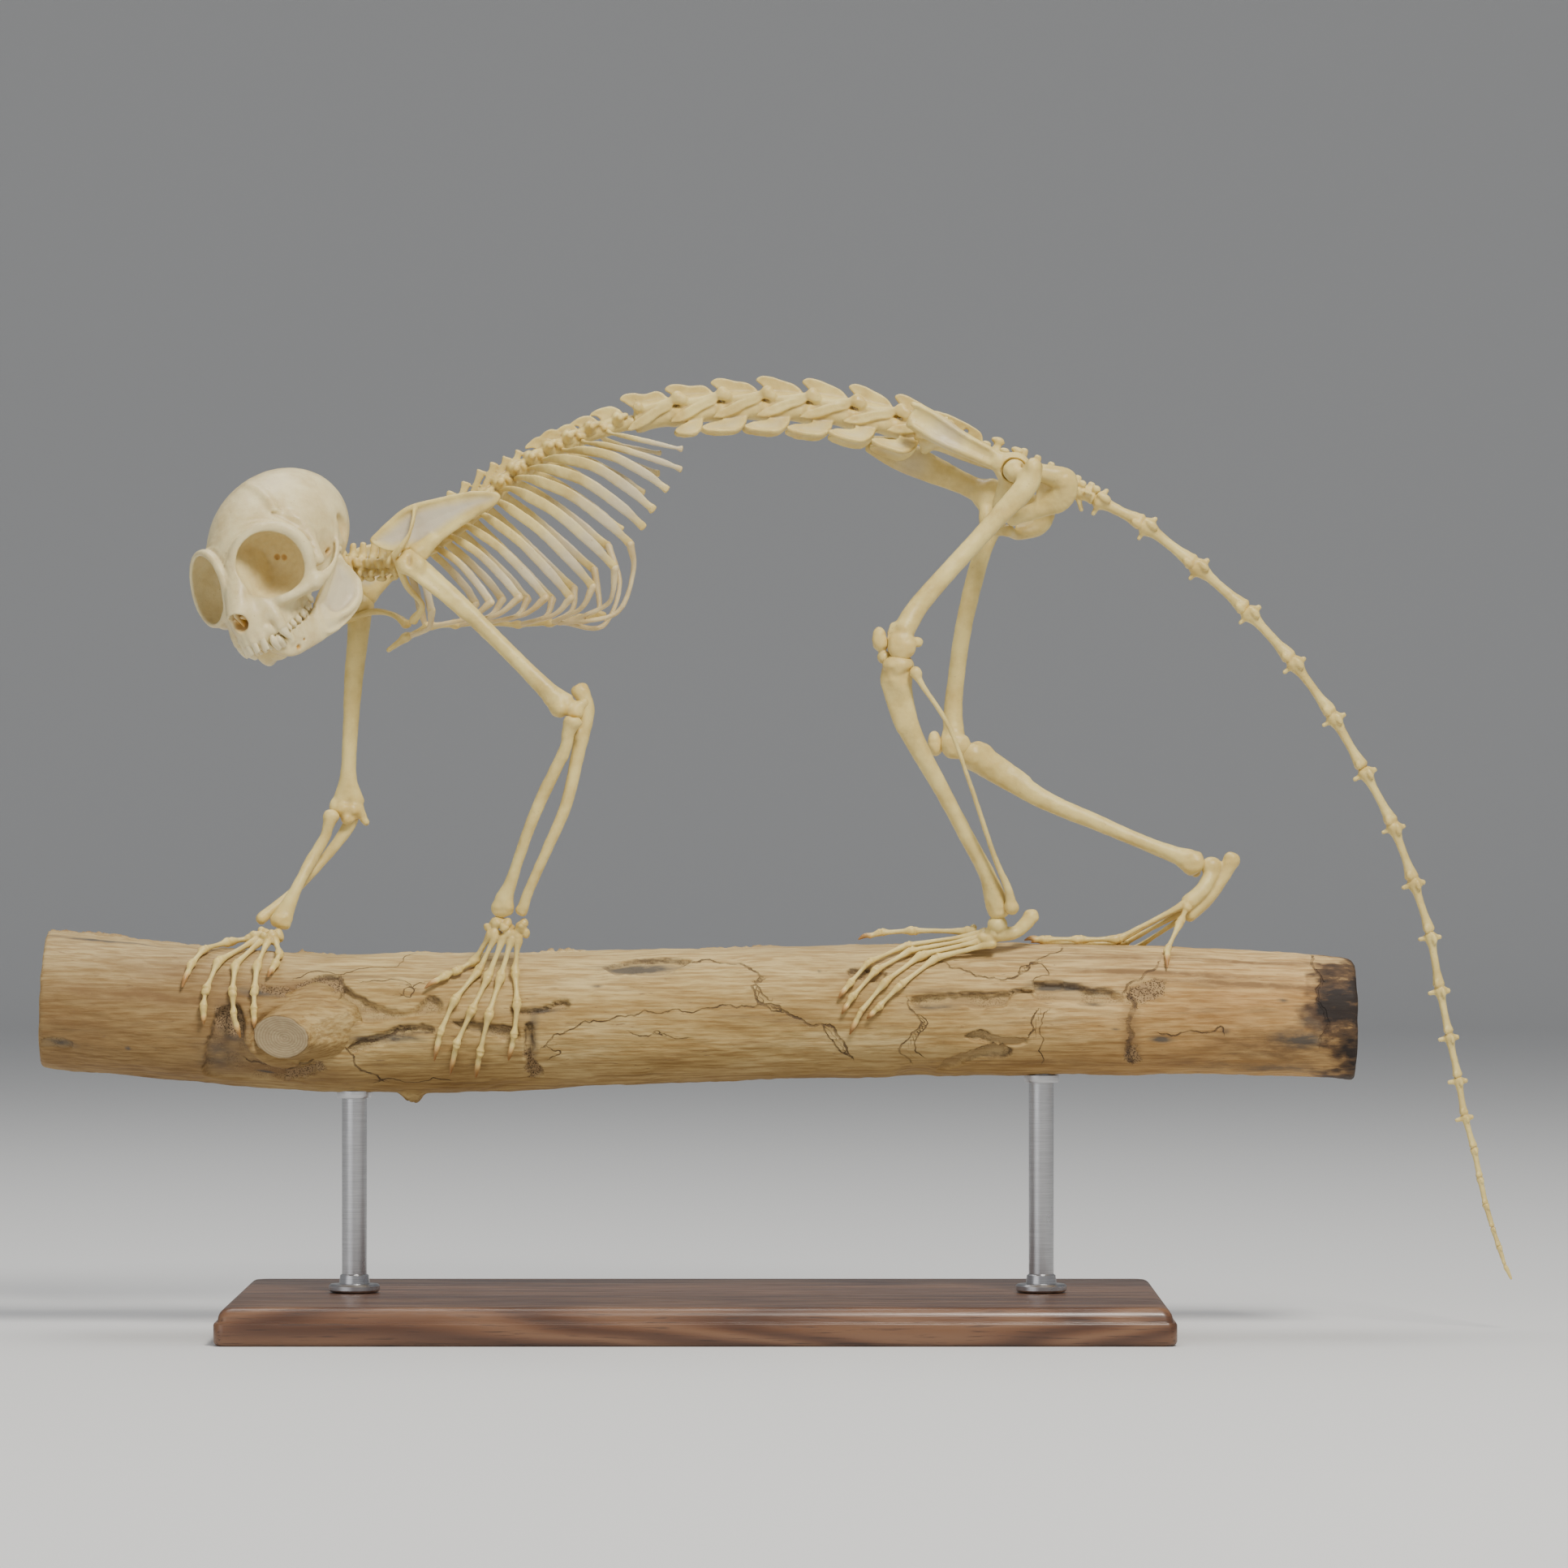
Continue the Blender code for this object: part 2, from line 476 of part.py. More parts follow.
def build_stand():
    long, wide, high = BASE_SIZE
    mesh = bpy.data.meshes.new("stand_base")
    shape = bmesh.new()
    bmesh.ops.create_cube(shape, size=1.0)
    bmesh.ops.scale(shape, vec=Vector((long, wide, high)) * MM, verts=shape.verts)
    bmesh.ops.translate(shape, vec=(0, 0, high / 2 * MM), verts=shape.verts)
    top = [e for e in shape.edges if all(v.co.z > high / 2 * MM for v in e.verts)]
    bmesh.ops.bevel(shape, geom=top, offset=BASE_BEVEL * MM, segments=2, profile=0.5,
                    affect="EDGES")
    shape.to_mesh(mesh)
    shape.free()
    base = bpy.data.objects.new("stand_base", mesh)
    base.data.materials.append(material("base_wood"))
    bpy.context.scene.collection.objects.link(base)
    for name, x in zip(("stand_rod_front", "stand_rod_rear"), ROD_X):
        height, radius = log_at(x)
        bottom = BASE_SIZE[2] + GAP
        top_z = height - radius + SOCKET_DEPTH - GAP
        rod = tube(((x, 0, bottom, ROD_RADIUS), (x, 0, top_z, ROD_RADIUS)), sides=16, dome=0,
                   side=(1, 0, 0))
        node(name, [rod], finish="steel", smooth_angle=30, flat_angle=0.1)


def build_log():
    rows = [(x, 0, z, r * 0.98, r) for x, z, r in LOG_RINGS]
    stub = tube(((*KNOT_FOOT, KNOT_FOOT_RADIUS), (*KNOT_FACE, *KNOT_RADII)), sides=10, dome=0)
    bump = ball(BUMP_AT, BUMP_SIZE, sides=6, rings=3)
    sockets = []
    for x in ROD_X:
        height, radius = log_at(x)
        sockets.append(tube(((x, 0, height - radius - 5, ROD_RADIUS + GAP),
                             (x, 0, height - radius + SOCKET_DEPTH, ROD_RADIUS + GAP)),
                            sides=16, dome=0, side=(1, 0, 0)))
    trunk = tube(rows, sides=18, dome=0)
    node("log", [trunk, stub, bump], cuts=sockets, finish="log_wood", flat_angle=0.1)


def head(f, l, u):
    # A place on the skull: forward, left and up of the middle point between the orbits
    return SKULL_AT + f * FORWARD + l * LEFT + u * UP


def head_ball(place, radii, sides=8, rings=4):
    return ball(head(*place), radii, SKULL_AXES, sides, rings)


def head_tube(rows, sides=6, dome=DOME):
    return tube([(*head(*r[:3]), *r[3:]) for r in rows], sides, side=LEFT, dome=dome)


def build_skull():
    pieces = [
        head_ball((-27, 1.5, 0.5), (28.5, 20.5, 20.5), sides=16, rings=8),
        head_ball((-16, 0, -9), (17, 11, 9), sides=10, rings=5),
        head_ball((1, 0, -13), (12, 10.5, 7), sides=12, rings=6),
        head_tube(((-4, 0, 8, 5), (4, 0, 0, 4), (8, 0, -6, 3.4), (12, 0, -9, 2.6)), sides=8),
        head_ball((-33.5, 0, -11), (4.5, 6, 4), sides=8, rings=3),
    ]
    cuts = [head_ball((13.5, 0, -11), (3.4, 2.3, 3.2), sides=8, rings=3)]
    for s in (1, -1):
        turn = math.radians(ORBIT_TURN)
        look = math.cos(turn) * FORWARD + s * math.sin(turn) * LEFT
        axes = (np.cross(UP, look), UP, look)
        rim = head(0, s * ORBIT_SIDE, 0)
        cup = ((0.4, 12.4), (-3.5, 12.6), (-9, 11.6), (-14, 9.2), (-18, 6))
        pieces.append(tube([(*(rim + f * look), r) for f, r in cup], sides=14, dome=0, side=UP))
        cuts.append(ball(rim - 3 * look, (ORBIT_RADIUS, ORBIT_RADIUS, 13.5), axes, 14, 5))
        pieces.append(head_tube(((-4, s * 21.5, -9, 3, 2), (-14, s * 23.2, -11.5, 2, 1.4),
                                 (-25, s * 19, -9, 2.4, 2)), sides=6))
        pieces.append(head_ball((-25, s * 10, -13), (7, 5, 5), sides=6, rings=3))
        pieces.append(head_tube(((8, s * 7, -15, 2.2), (8.2, s * 7.6, -20, 1.5),
                                 (7.6, s * 7.8, -23.6, 0.5)), sides=6))
        pieces.append(head_tube(((5, s * 8.5, -18, 1.4, 1.8), (-4, s * 10, -18.8, 1.9, 1.8),
                                 (-12.5, s * 9.6, -18.4, 1.7, 1.8)), sides=6))
        for l in (1.3, 3.9):
            pieces.append(head_tube(((11.4, s * l, -17.5, 1.1, 1.3),
                                     (12.6, s * l, -22, 1.1, 0.6)), sides=4, dome=0.3))
    node("cranium", pieces, cuts=cuts)

    jaw = [head_ball((6.5, 0, -26), (4, 5.5, 3), sides=8, rings=3)]
    for s in (1, -1):
        jaw.append(head_tube(((6.5, s * 1.5, -25.6, 2.6, 3), (3, s * 6.5, -25.4, 2.1, 3.2),
                              (-6, s * 9.8, -25, 2, 3.3), (-17, s * 13.5, -24.5, 1.4, 4)),
                             sides=6))
        fan = ((-12, 11.5, -21.5), (-11, 11.5, -28.5), (-20, 14.5, -31), (-28, 16, -28),
               (-29.5, 16.2, -19), (-26.5, 16.4, -10.5), (-22.5, 16, -12.5), (-18, 15.4, -9),
               (-14.5, 13.2, -14))
        jaw.append(plate([head(f, s * l, u) for f, l, u in fan], 1.6, LEFT))
        jaw.append(head_tube(((5.5, s * 6, -23.5, 1.3), (6, s * 7, -20.5, 0.6)), sides=5))
        jaw.append(head_tube(((3, s * 7, -22.4, 1.2, 1.5), (-5, s * 9.2, -22.2, 1.4, 1.5),
                              (-12.5, s * 10.8, -21.8, 1.3, 1.5)), sides=5))
        jaw.append(head_tube(((8.6, s * 1.2, -24, 1.1, 1.2), (10.2, s * 1.2, -21.4, 1, 0.6)),
                             sides=4, dome=0.3))
    node("mandible", jaw, clear_of=("cranium",))


def column(xs, size, lump):
    # The row of vertebral bodies as one lumpy tube between the first and last x
    rows = []
    for a, b in zip(xs[:-1], xs[1:]):
        for t, s in ((0.0, size * lump), (0.5, size)):
            place = spine_at(a + (b - a) * t)[0]
            rows.append((*place, s, s * 0.9))
    rows.append((*spine_at(xs[-1])[0], size * lump, size * lump * 0.9))
    return rows


def build_neck():
    joints = np.linspace(*NECK_X, 8)
    pieces = [tube(column(joints, 2.8, 1.15), sides=6, dome=0)]
    for i, x in enumerate((joints[:-1] + joints[1:]) / 2):
        place, along, aside, back = spine_frame(x)
        tip = 5.5 + 0.55 * i
        pieces.append(tube([(*(place + back * 1), 1.2, 1), (*(place + back * tip), 0.8, 0.5)],
                           sides=4, side=aside))
        reach = 6.5 if i == 0 else 5.2
        pieces.append(tube([(*(place - aside * reach), 0.6, 1), (*(place + aside * reach), 0.6, 1)],
                           sides=4, side=back))
    node("cervical_spine", pieces, clear_of=("cranium", "mandible"))


def rib_path(i, s):
    # Rib i from its vertebra out and down to its costal end; s is -1 on the left, 1 on the right
    x = THORAX_X[i]
    place, along, aside, back = spine_frame(x)
    end_x, end_z, end_out = RIB_ENDS[i]
    wide = min(9 + 2.0 * i, 19.5) - 0.9 * max(i - 9, 0)
    rows = [(*(place + aside * s * 1.5 + back * 0.8), 0.9, 1.2)]
    start_x, start_z = place[0] + 1.0, place[2] + 1.5
    for t, out in ((0.06, 0.42), (0.22, 0.80), (0.5, 1.0), (0.8, 0.96), (1.0, 0.0)):
        w = out * wide if t < 1 else end_out
        px = start_x + (end_x - start_x) * t
        pz = start_z + (end_z - start_z) * t + 3.0 * math.sin(math.pi * t)
        shift = SKEW * 2 * w if s > 0 else 0.0
        rows.append((px + shift, s * w, pz, 0.75, 1.25 + 0.25 * t))
    return rows


def build_thorax():
    between = (THORAX_X[:-1] + THORAX_X[1:]) / 2
    edges = np.array((THORAX_ENDS[0], *between, THORAX_ENDS[1]))
    centre = tube(column(edges, 2.5, 1.18), sides=6, dome=0)
    arch = tube([(*(spine_at(x)[0] + spine_frame(x)[3] * 2.6), 2.4, 1.9)
                 for x in edges[[0, 3, 6, 9, 13]]], sides=6, dome=0, steps=2)
    spines = []
    for i, x in enumerate(THORAX_X):
        place, along, aside, back = spine_frame(x)
        high = np.interp(i, (0, 3, 6, 9, 12), (9, 9.8, 7, 5.4, 5.6))
        lean = 0.8 if i < 10 else -1.2
        spines.append(tube([(*(place + back * 3), 0.9, 1.6),
                            (*(place + back * high * 0.7 + along * lean * 0.6), 0.8, 1.0),
                            (*(place + back * high + along * lean), 0.9, 1.1)],
                           sides=4, side=aside))
    for name, s in (("rib_cage_left", -1), ("rib_cage_right", 1)):
        ribs = [tube(rib_path(i, s), sides=4, side=(0, 1, 0.2)) for i in range(13)]
        half = plate([(x, MID_CUT - s * (50 - GAP / 2), z) for x, z in
                      ((-140, 180), (40, 180), (40, 340), (-140, 340))], 100, (0, 1, 0))
        node(name, [centre, arch] + spines + ribs, cuts=[half], clear_of=("cervical_spine",))


def build_sternum():
    rows = []
    for i, (x, z) in enumerate(STERNUM):
        size = 3.2 if i == 0 else 2.3 - 0.12 * i
        rows.append((x, 0, z, size, 1.3))
        if i < len(STERNUM) - 1:
            nx, nz = STERNUM[i + 1]
            rows.append(((x + nx) / 2, 0, (z + nz) / 2, size * 0.72, 1.0))
    pieces = [tube(rows, sides=6)]
    for s in (-1, 1):
        for i in range(8):
            before, end = (np.array(r[:3]) for r in rib_path(i, s)[-2:])
            start = end + unit(end - before) * GAP * 2
            sx, sz = STERNUM[min(i, 6)]
            if i in MARGIN:
                drop, low_x, low_out, turn = MARGIN[i]
                ahead = np.array((SKEW * 20, 0, -4)) if s > 0 else np.zeros(3)
                low = np.array((low_x, s * low_out, end[2] - drop)) + ahead
                turn = np.array(turn) * (1, s, 1) + ahead
                path = [start, low, turn, (sx - 5, s * 2.5, sz - 1.4), (sx - 8, s * 0.5, sz - 0.8)]
            else:
                mid = (start + (sx + 2, s * 4, sz + 0.5)) / 2 + (2.2, s * 1.5, -1.5)
                path = [start, mid, (sx + 0.6, s * 0.6, sz)]
            pieces.append(tube([(*p, CARTILAGE) for p in path], sides=4))
    node("sternum", pieces, clear_of=("rib_cage_left", "rib_cage_right"))


def build_shoulders():
    for name, s in (("left", -1), ("right", 1)):
        shift = RIGHT_SHOULDER if s > 0 else np.zeros(3)

        def moved(rows):
            return [(*(np.array(r[:3]) * (1, s, 1) + shift), *r[3:]) for r in rows]
        pieces = [plate(moved(SHOULDER_BLADE), 1.2, (0, 1, 0)), tube(moved(BLADE_NECK), dome=0),
                  tube(moved(BLADE_SPINE), sides=5)]
        node(f"scapula_{name}", pieces,
             clear_of=(f"humerus_{name}", f"rib_cage_{name}", "cervical_spine", "cranium",
                       "mandible"))
    for name in ("left", "right"):
        shaft(f"clavicle_{name}", 6, 2, clear_of=("sternum", f"humerus_{name}", f"scapula_{name}",
                                                  f"rib_cage_{name}", "cranium", "mandible"))


def build_arms():
    shaft("ulna_left", 6, 2)
    shaft("ulna_right", 6, 2)
    shaft("humerus_left", 8, 1, side=(1, 0, 0.6), more=[
        ball((-91, -17, 245.5), 4.3, sides=10, rings=5),
        ball((-41, -23.8, 197.6), (5.4, 5, 3.3), ((1, -0.3, 0.1), (0.3, 1, 0), (0, 0, 1)),
             sides=10, rings=4),
    ], clear_of=("ulna_left",))
    shaft("humerus_right", 8, 1, side=(1, 0, 0), more=[
        ball((-109, 17, 233), 4.3, sides=10, rings=5),
        ball((-112.5, 17.6, 166), (6.6, 3.4, 3.2), sides=10, rings=4),
    ], clear_of=("ulna_right",))
    shaft("radius_left", 6, 2, side=(1, 0, 0), clear_of=("humerus_left", "ulna_left"))
    shaft("radius_right", 6, 2, side=(1, 0.2, 0), clear_of=("humerus_right", "ulna_right"))


def carpus(places):
    return [ball(p, (WRIST_BONE, WRIST_BONE, WRIST_BONE * 0.9), sides=6, rings=2) for p in places]


def build_hands():
    left = carpus(LEFT_WRIST)
    for root, joints in LEFT_FINGERS:
        left.append(digit([root] + [on_log(x, z, HAND_LIFT) for x, z in joints], FINGER_KNOB))
    node("hand_left", left, clear_of=("log", "radius_left", "ulna_left"))
    right = carpus(RIGHT_WRIST)
    for i, (root, joints) in enumerate(RIGHT_FINGERS):
        first = [root, over_log(*ARCHED_FINGER)] if i == 0 else [root]
        right.append(digit(first + [on_log(x, z, HAND_LIFT) for x, z in joints], FINGER_KNOB))
    node("hand_right", right, clear_of=("log", "radius_right", "ulna_right"))


def build_lumbar():
    xs = np.linspace(*LUMBAR_X, 7)
    edges = np.linspace(*LUMBAR_ENDS, 8)
    pieces = [tube(column(edges, 3.3, 1.22), sides=6, dome=0)]
    arch = [(*(spine_at(x)[0] + spine_frame(x)[3] * 3.8), 3.0, 2.2) for x in edges[[0, 2, 4, 7]]]
    pieces.append(tube(arch, sides=6, dome=0, steps=2))
    for i, x in enumerate(xs):
        place, along, aside, back = spine_frame(x)
        top = 10.8 - 0.5 * max(3 - i, 0)
        fin = ((6, 3.6), (4.5, 6.6), (-1, top - 1.2), (-5.2, top), (-4.6, top - 2.4), (-2.6, 3.8))
        pieces.append(plate([place + along * a + back * b for a, b in fin], 1.3, aside))
        facet = place + along * 6.6 + back * 5.2
        pieces.append(tube([(*(facet - aside * 3.4), 1.9, 1.5), (*(facet + aside * 3.4), 1.9, 1.5)],
                           sides=4, side=along))
        reach = 7 + 0.5 * i
        wing = ((3, 1.5), (1, reach - 2), (-5, reach + 1), (-5.6, reach - 1.2), (-2.5, 1.5))
        for s in (-1, 1):
            pieces.append(plate([place + along * a + aside * s * b - back * (0.3 + 0.25 * b)
                                 for a, b in wing], 1.2, back))
    node("lumbar_spine", pieces, clear_of=("rib_cage_left", "rib_cage_right"))


def build_pelvis():
    pieces = [tube(SACRUM_BODY, sides=8, dome=0),
              tube(SACRUM_WINGS, sides=6, dome=0.1, side=(0.9, 0, -0.4))]
    for x, high in SACRUM_CREST:
        place, along, aside, back = spine_frame(x)
        pieces.append(tube([(*(place + back * 1.5), 0.9, 1.8), (*(place + back * high), 0.6, 1.5)],
                           sides=5, side=aside))
    node("sacrum", pieces, clear_of=("lumbar_spine",))
    for name, s in (("left", -1), ("right", 1)):
        hollow = np.array(HIP_SOCKET[name])
        pieces = [tube(ILIUM[name], sides=6, steps=2, side=(0.2, 1, 0)),
                  ball(hollow, (5.8, 3.6, 5.8), sides=8, rings=3)]
        pieces += [tube(rows, sides=5, steps=2) for rows in LOWER_HIP[name]]
        thigh_ball = ball(hollow + (0, s * 3.4, -0.3), HIP_BALL + GAP, sides=10, rings=4)
        clear = ["sacrum", "lumbar_spine"] + (["hip_left"] if s > 0 else [])
        node(f"hip_{name}", pieces, cuts=[thigh_ball], clear_of=clear)


def build_legs():
    shaft("femur_left", 8, 1, more=[
        ball((101, -14, 274.7), HIP_BALL, sides=10, rings=4),
        tube(((101.5, -14.5, 274.2, 2.4), (105.5, -18.5, 271.5, 3.2)), sides=6),
        ball((64.8, -33, 218.6), (4.4, 2.8, 4.8), sides=8, rings=3),
        ball((64.8, -26.6, 218.6), (4.4, 2.8, 4.8), sides=8, rings=3),
        ball((64, -30, 220.8), (4.2, 3.4, 4.6), sides=8, rings=3),
        ball((69.8, -31, 219.8), 1.7, sides=6, rings=2),
    ], clear_of=("hip_left",))
    shaft("femur_right", 8, 1, more=[
        ball((94.2, 17, 267.2), HIP_BALL, sides=10, rings=4),
        tube(((94.4, 17.5, 266.8, 2.4), (96.8, 21.5, 262.5, 3.2)), sides=6),
        ball((83, 12.8, 187.2), (4.8, 2.8, 4.4), sides=8, rings=3),
        ball((83, 19.2, 187.2), (4.8, 2.8, 4.4), sides=8, rings=3),
        ball((81.6, 16, 188.2), (4.2, 3.4, 4.6), sides=8, rings=3),
    ], clear_of=("hip_right",))
    for name, place in (("left", (58.2, -30, 220.4)), ("right", (76.2, 16, 188))):
        node(f"patella_{name}", [ball(place, (2.6, 2.7, 4.0), sides=8, rings=4)],
             clear_of=(f"femur_{name}",))
        shaft(f"tibia_{name}", 8, 1, clear_of=(f"femur_{name}", f"patella_{name}"))
        shaft(f"fibula_{name}", 6, 2, clear_of=(f"tibia_{name}", f"femur_{name}"))


def build_feet():
    left = [tube(LEFT_HEEL, sides=6), ball((95.6, -13.6, 130.2), (3.2, 3, 2.8), sides=8, rings=3)]
    left += carpus(LEFT_ANKLE) + [digit(LEFT_GREAT_TOE, TOE_KNOB)]
    for root, joints in LEFT_TOES:
        left.append(digit([root] + [on_log(x, z, FOOT_LIFT) for x, z in joints], TOE_KNOB))
    node("foot_left", left, clear_of=("log", "tibia_left", "fibula_left"))
    roots, joints = RIGHT_GREAT_TOE
    right = [tube(RIGHT_HEEL, sides=6), ball((165, 8, 148.4), (3.6, 3, 3.3), sides=8, rings=3),
             tube(RIGHT_ANKLE, sides=6),
             digit([*roots] + [on_log(x, z, FOOT_LIFT) for x, z in joints], TOE_KNOB)]
    for root, joints in RIGHT_TOES:
        right.append(digit([root] + [over_log(*joint) for joint in joints], TOE_KNOB))
    node("foot_right", right, clear_of=("log", "tibia_right", "fibula_right"))


def build_tail():
    edges = np.linspace(*TAIL_BASE_X, 7)
    pieces = [tube(column(edges, 2.3, 1.25), sides=8, dome=0)]
    for i, x in enumerate(edges[:-1] + 1.6):
        place, along, aside, back = spine_frame(x)
        tip = place + back * (6.4 - 0.5 * i)
        pieces.append(tube([(*(place + back), 0.8, 1.3), (*tip, 0.6, 0.9)], sides=5, side=aside))
        wing = aside * (6.4 - 0.3 * i)
        pieces.append(tube([(*(place - wing), 0.7, 1.4), (*(place + wing), 0.7, 1.4)],
                           sides=5, side=back))
    place, along, aside, back = spine_frame(122)
    pieces.append(tube([(*(place - back * 1), 1.0), (*(place - back * 5 + along * 3), 0.7)],
                       sides=5))
    hips = ("hip_left", "hip_right", "sacrum")
    node("tail_1", pieces, clear_of=hips)
    joints = np.array(TAIL, float)
    total = len(joints) - 1
    for n, (first, last) in enumerate(TAIL_LENGTHS):
        rows = []
        extras = []
        for i in range(first, last):
            a, b = joints[i], joints[i + 1]
            along = unit(b - a)
            back = np.array((along[2] * -1, 0, along[0]))
            flare = np.interp(i, (0, 4, 9, 14, 20), (3.3, 2.8, 2.2, 1.3, 0.75))
            shaft = np.interp(i, (0, 4, 9, 14, 20), (1.75, 1.45, 1.2, 0.9, 0.6))
            length = np.linalg.norm(b - a)
            inset = GAP if i == first else 0.0
            rows.append((*(a + along * inset), flare * 0.8))
            rows.append((*(a + along * 0.09 * length), flare))
            rows.append((*(a + along * 0.30 * length), shaft * 1.05))
            rows.append((*(a + along * 0.70 * length), shaft))
            rows.append((*(a + along * 0.93 * length), flare * 0.86))
            if i < 12:
                near = a + along * 0.1 * length
                extras.append(tube([(*near, flare * 0.6, 1.0),
                                    (*(near - back * (flare + 1.3)), 0.8, 0.8)], sides=4))
                extras.append(tube([(*near, flare * 0.5, 1.2),
                                    (*(near + back * (flare + 0.7)), 0.7, 0.8)], sides=4))
        end = joints[last] - unit(joints[last] - joints[last - 1]) * (GAP if last < total else 0)
        rows.append((*end, 0.5 if last == total else flare * 0.7))
        node(f"tail_{n + 2}", [tube(rows, sides=6, dome=0)] + extras,
             clear_of=("tail_1",) if n == 0 else ())


def build_all():
    for existing in list(bpy.data.objects):
        bpy.data.objects.remove(existing)
    build_log()
    build_stand()
    build_skull()
    build_neck()
    build_thorax()
    build_sternum()
    build_arms()
    build_shoulders()
    build_hands()
    build_lumbar()
    build_pelvis()
    build_legs()
    build_feet()
    build_tail()


build_all()
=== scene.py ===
# Night monkey skeleton walking along a log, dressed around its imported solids.
# Lengths in the tables are millimetres: +x to the tail, -y the animal's left, +z up.
import math

import bpy
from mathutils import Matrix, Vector
import numpy as np


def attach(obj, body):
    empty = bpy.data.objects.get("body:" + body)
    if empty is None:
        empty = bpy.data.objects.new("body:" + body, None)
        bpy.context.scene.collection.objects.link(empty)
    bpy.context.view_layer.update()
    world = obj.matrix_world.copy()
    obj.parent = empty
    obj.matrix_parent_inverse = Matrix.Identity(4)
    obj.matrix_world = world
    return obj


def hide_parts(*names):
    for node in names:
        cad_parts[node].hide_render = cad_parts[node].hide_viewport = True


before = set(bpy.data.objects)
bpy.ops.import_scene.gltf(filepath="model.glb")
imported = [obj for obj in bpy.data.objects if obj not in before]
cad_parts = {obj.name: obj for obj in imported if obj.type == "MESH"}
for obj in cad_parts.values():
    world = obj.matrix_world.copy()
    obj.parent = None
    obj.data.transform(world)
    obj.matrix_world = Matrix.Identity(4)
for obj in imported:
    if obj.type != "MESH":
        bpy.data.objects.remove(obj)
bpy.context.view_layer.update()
mm = 0.001
coarse = 1.0        # bigger sample cells while trying things
far = 5.0                                  # distance written where nothing is near


# Helper maths
def unit(vector):
    vector = np.asarray(vector, float)
    return vector / np.linalg.norm(vector)


def smoothPath(rows, spacing):
    # Catmull-Rom curve: each stretch blends its four nearest rows with cubic weights
    rows = np.array([tuple(r) if len(r) != 4 else tuple(r) + (r[3],) for r in rows], float)
    padded = np.vstack((2 * rows[0] - rows[1], rows, 2 * rows[-1] - rows[-2]))
    pieces = []
    for i in range(len(rows) - 1):
        p0, p1, p2, p3 = padded[i:i + 4]
        count = max(1, int(math.ceil(np.linalg.norm((p2 - p1)[:3]) / spacing)))
        t = (np.arange(count) / count)[:, None]
        pieces.append(0.5 * (2 * p1 + (p2 - p0) * t + (2 * p0 - 5 * p1 + 4 * p2 - p3) * t ** 2
            + (3 * p1 - p0 - 3 * p2 + p3) * t ** 3))
    return np.vstack(pieces + [rows[-1:]])


# A bone is modelled as a box of samples that hold the distance to its surface, negative inside.
# Profiles carried along paths, ovals and flat blades are blended into the box, and the skin is
# drawn where the distance is zero.
def makeField(low, high, cell, place=None):
    cell = cell * coarse
    low = np.asarray(low, float)
    count = np.ceil((np.asarray(high, float) - low) / cell).astype(int) + 1
    return {"low": low, "cell": cell, "place": place, "tints": [],
        "axes": [low[k] + cell * np.arange(count[k]) for k in range(3)],
        "value": np.full(count, far, np.float32)}


def window(field, low, high):
    # The part of the box between two corners, as slices and open coordinate arrays
    cuts = []
    for k in range(3):
        first = int((low[k] - field["low"][k]) / field["cell"])
        last = int((high[k] - field["low"][k]) / field["cell"]) + 2
        top = field["value"].shape[k]
        cuts.append(slice(min(max(first, 0), top), min(max(last, 0), top)))
    grid = np.meshgrid(*(field["axes"][k][cuts[k]] for k in range(3)), indexing="ij", sparse=True)
    return tuple(cuts), grid


def mix(field, cuts, other, blend, carving):
    # Smooth union, or smooth cut: within blend of each other the two distances melt together
    base = field["value"][cuts]
    other = -other if carving else other
    melt = np.maximum(blend - np.abs(base - other), 0) / blend
    melt = melt * melt * blend / 4
    field["value"][cuts] = np.maximum(base, other) + melt if carving else np.minimum(
        base, other) - melt


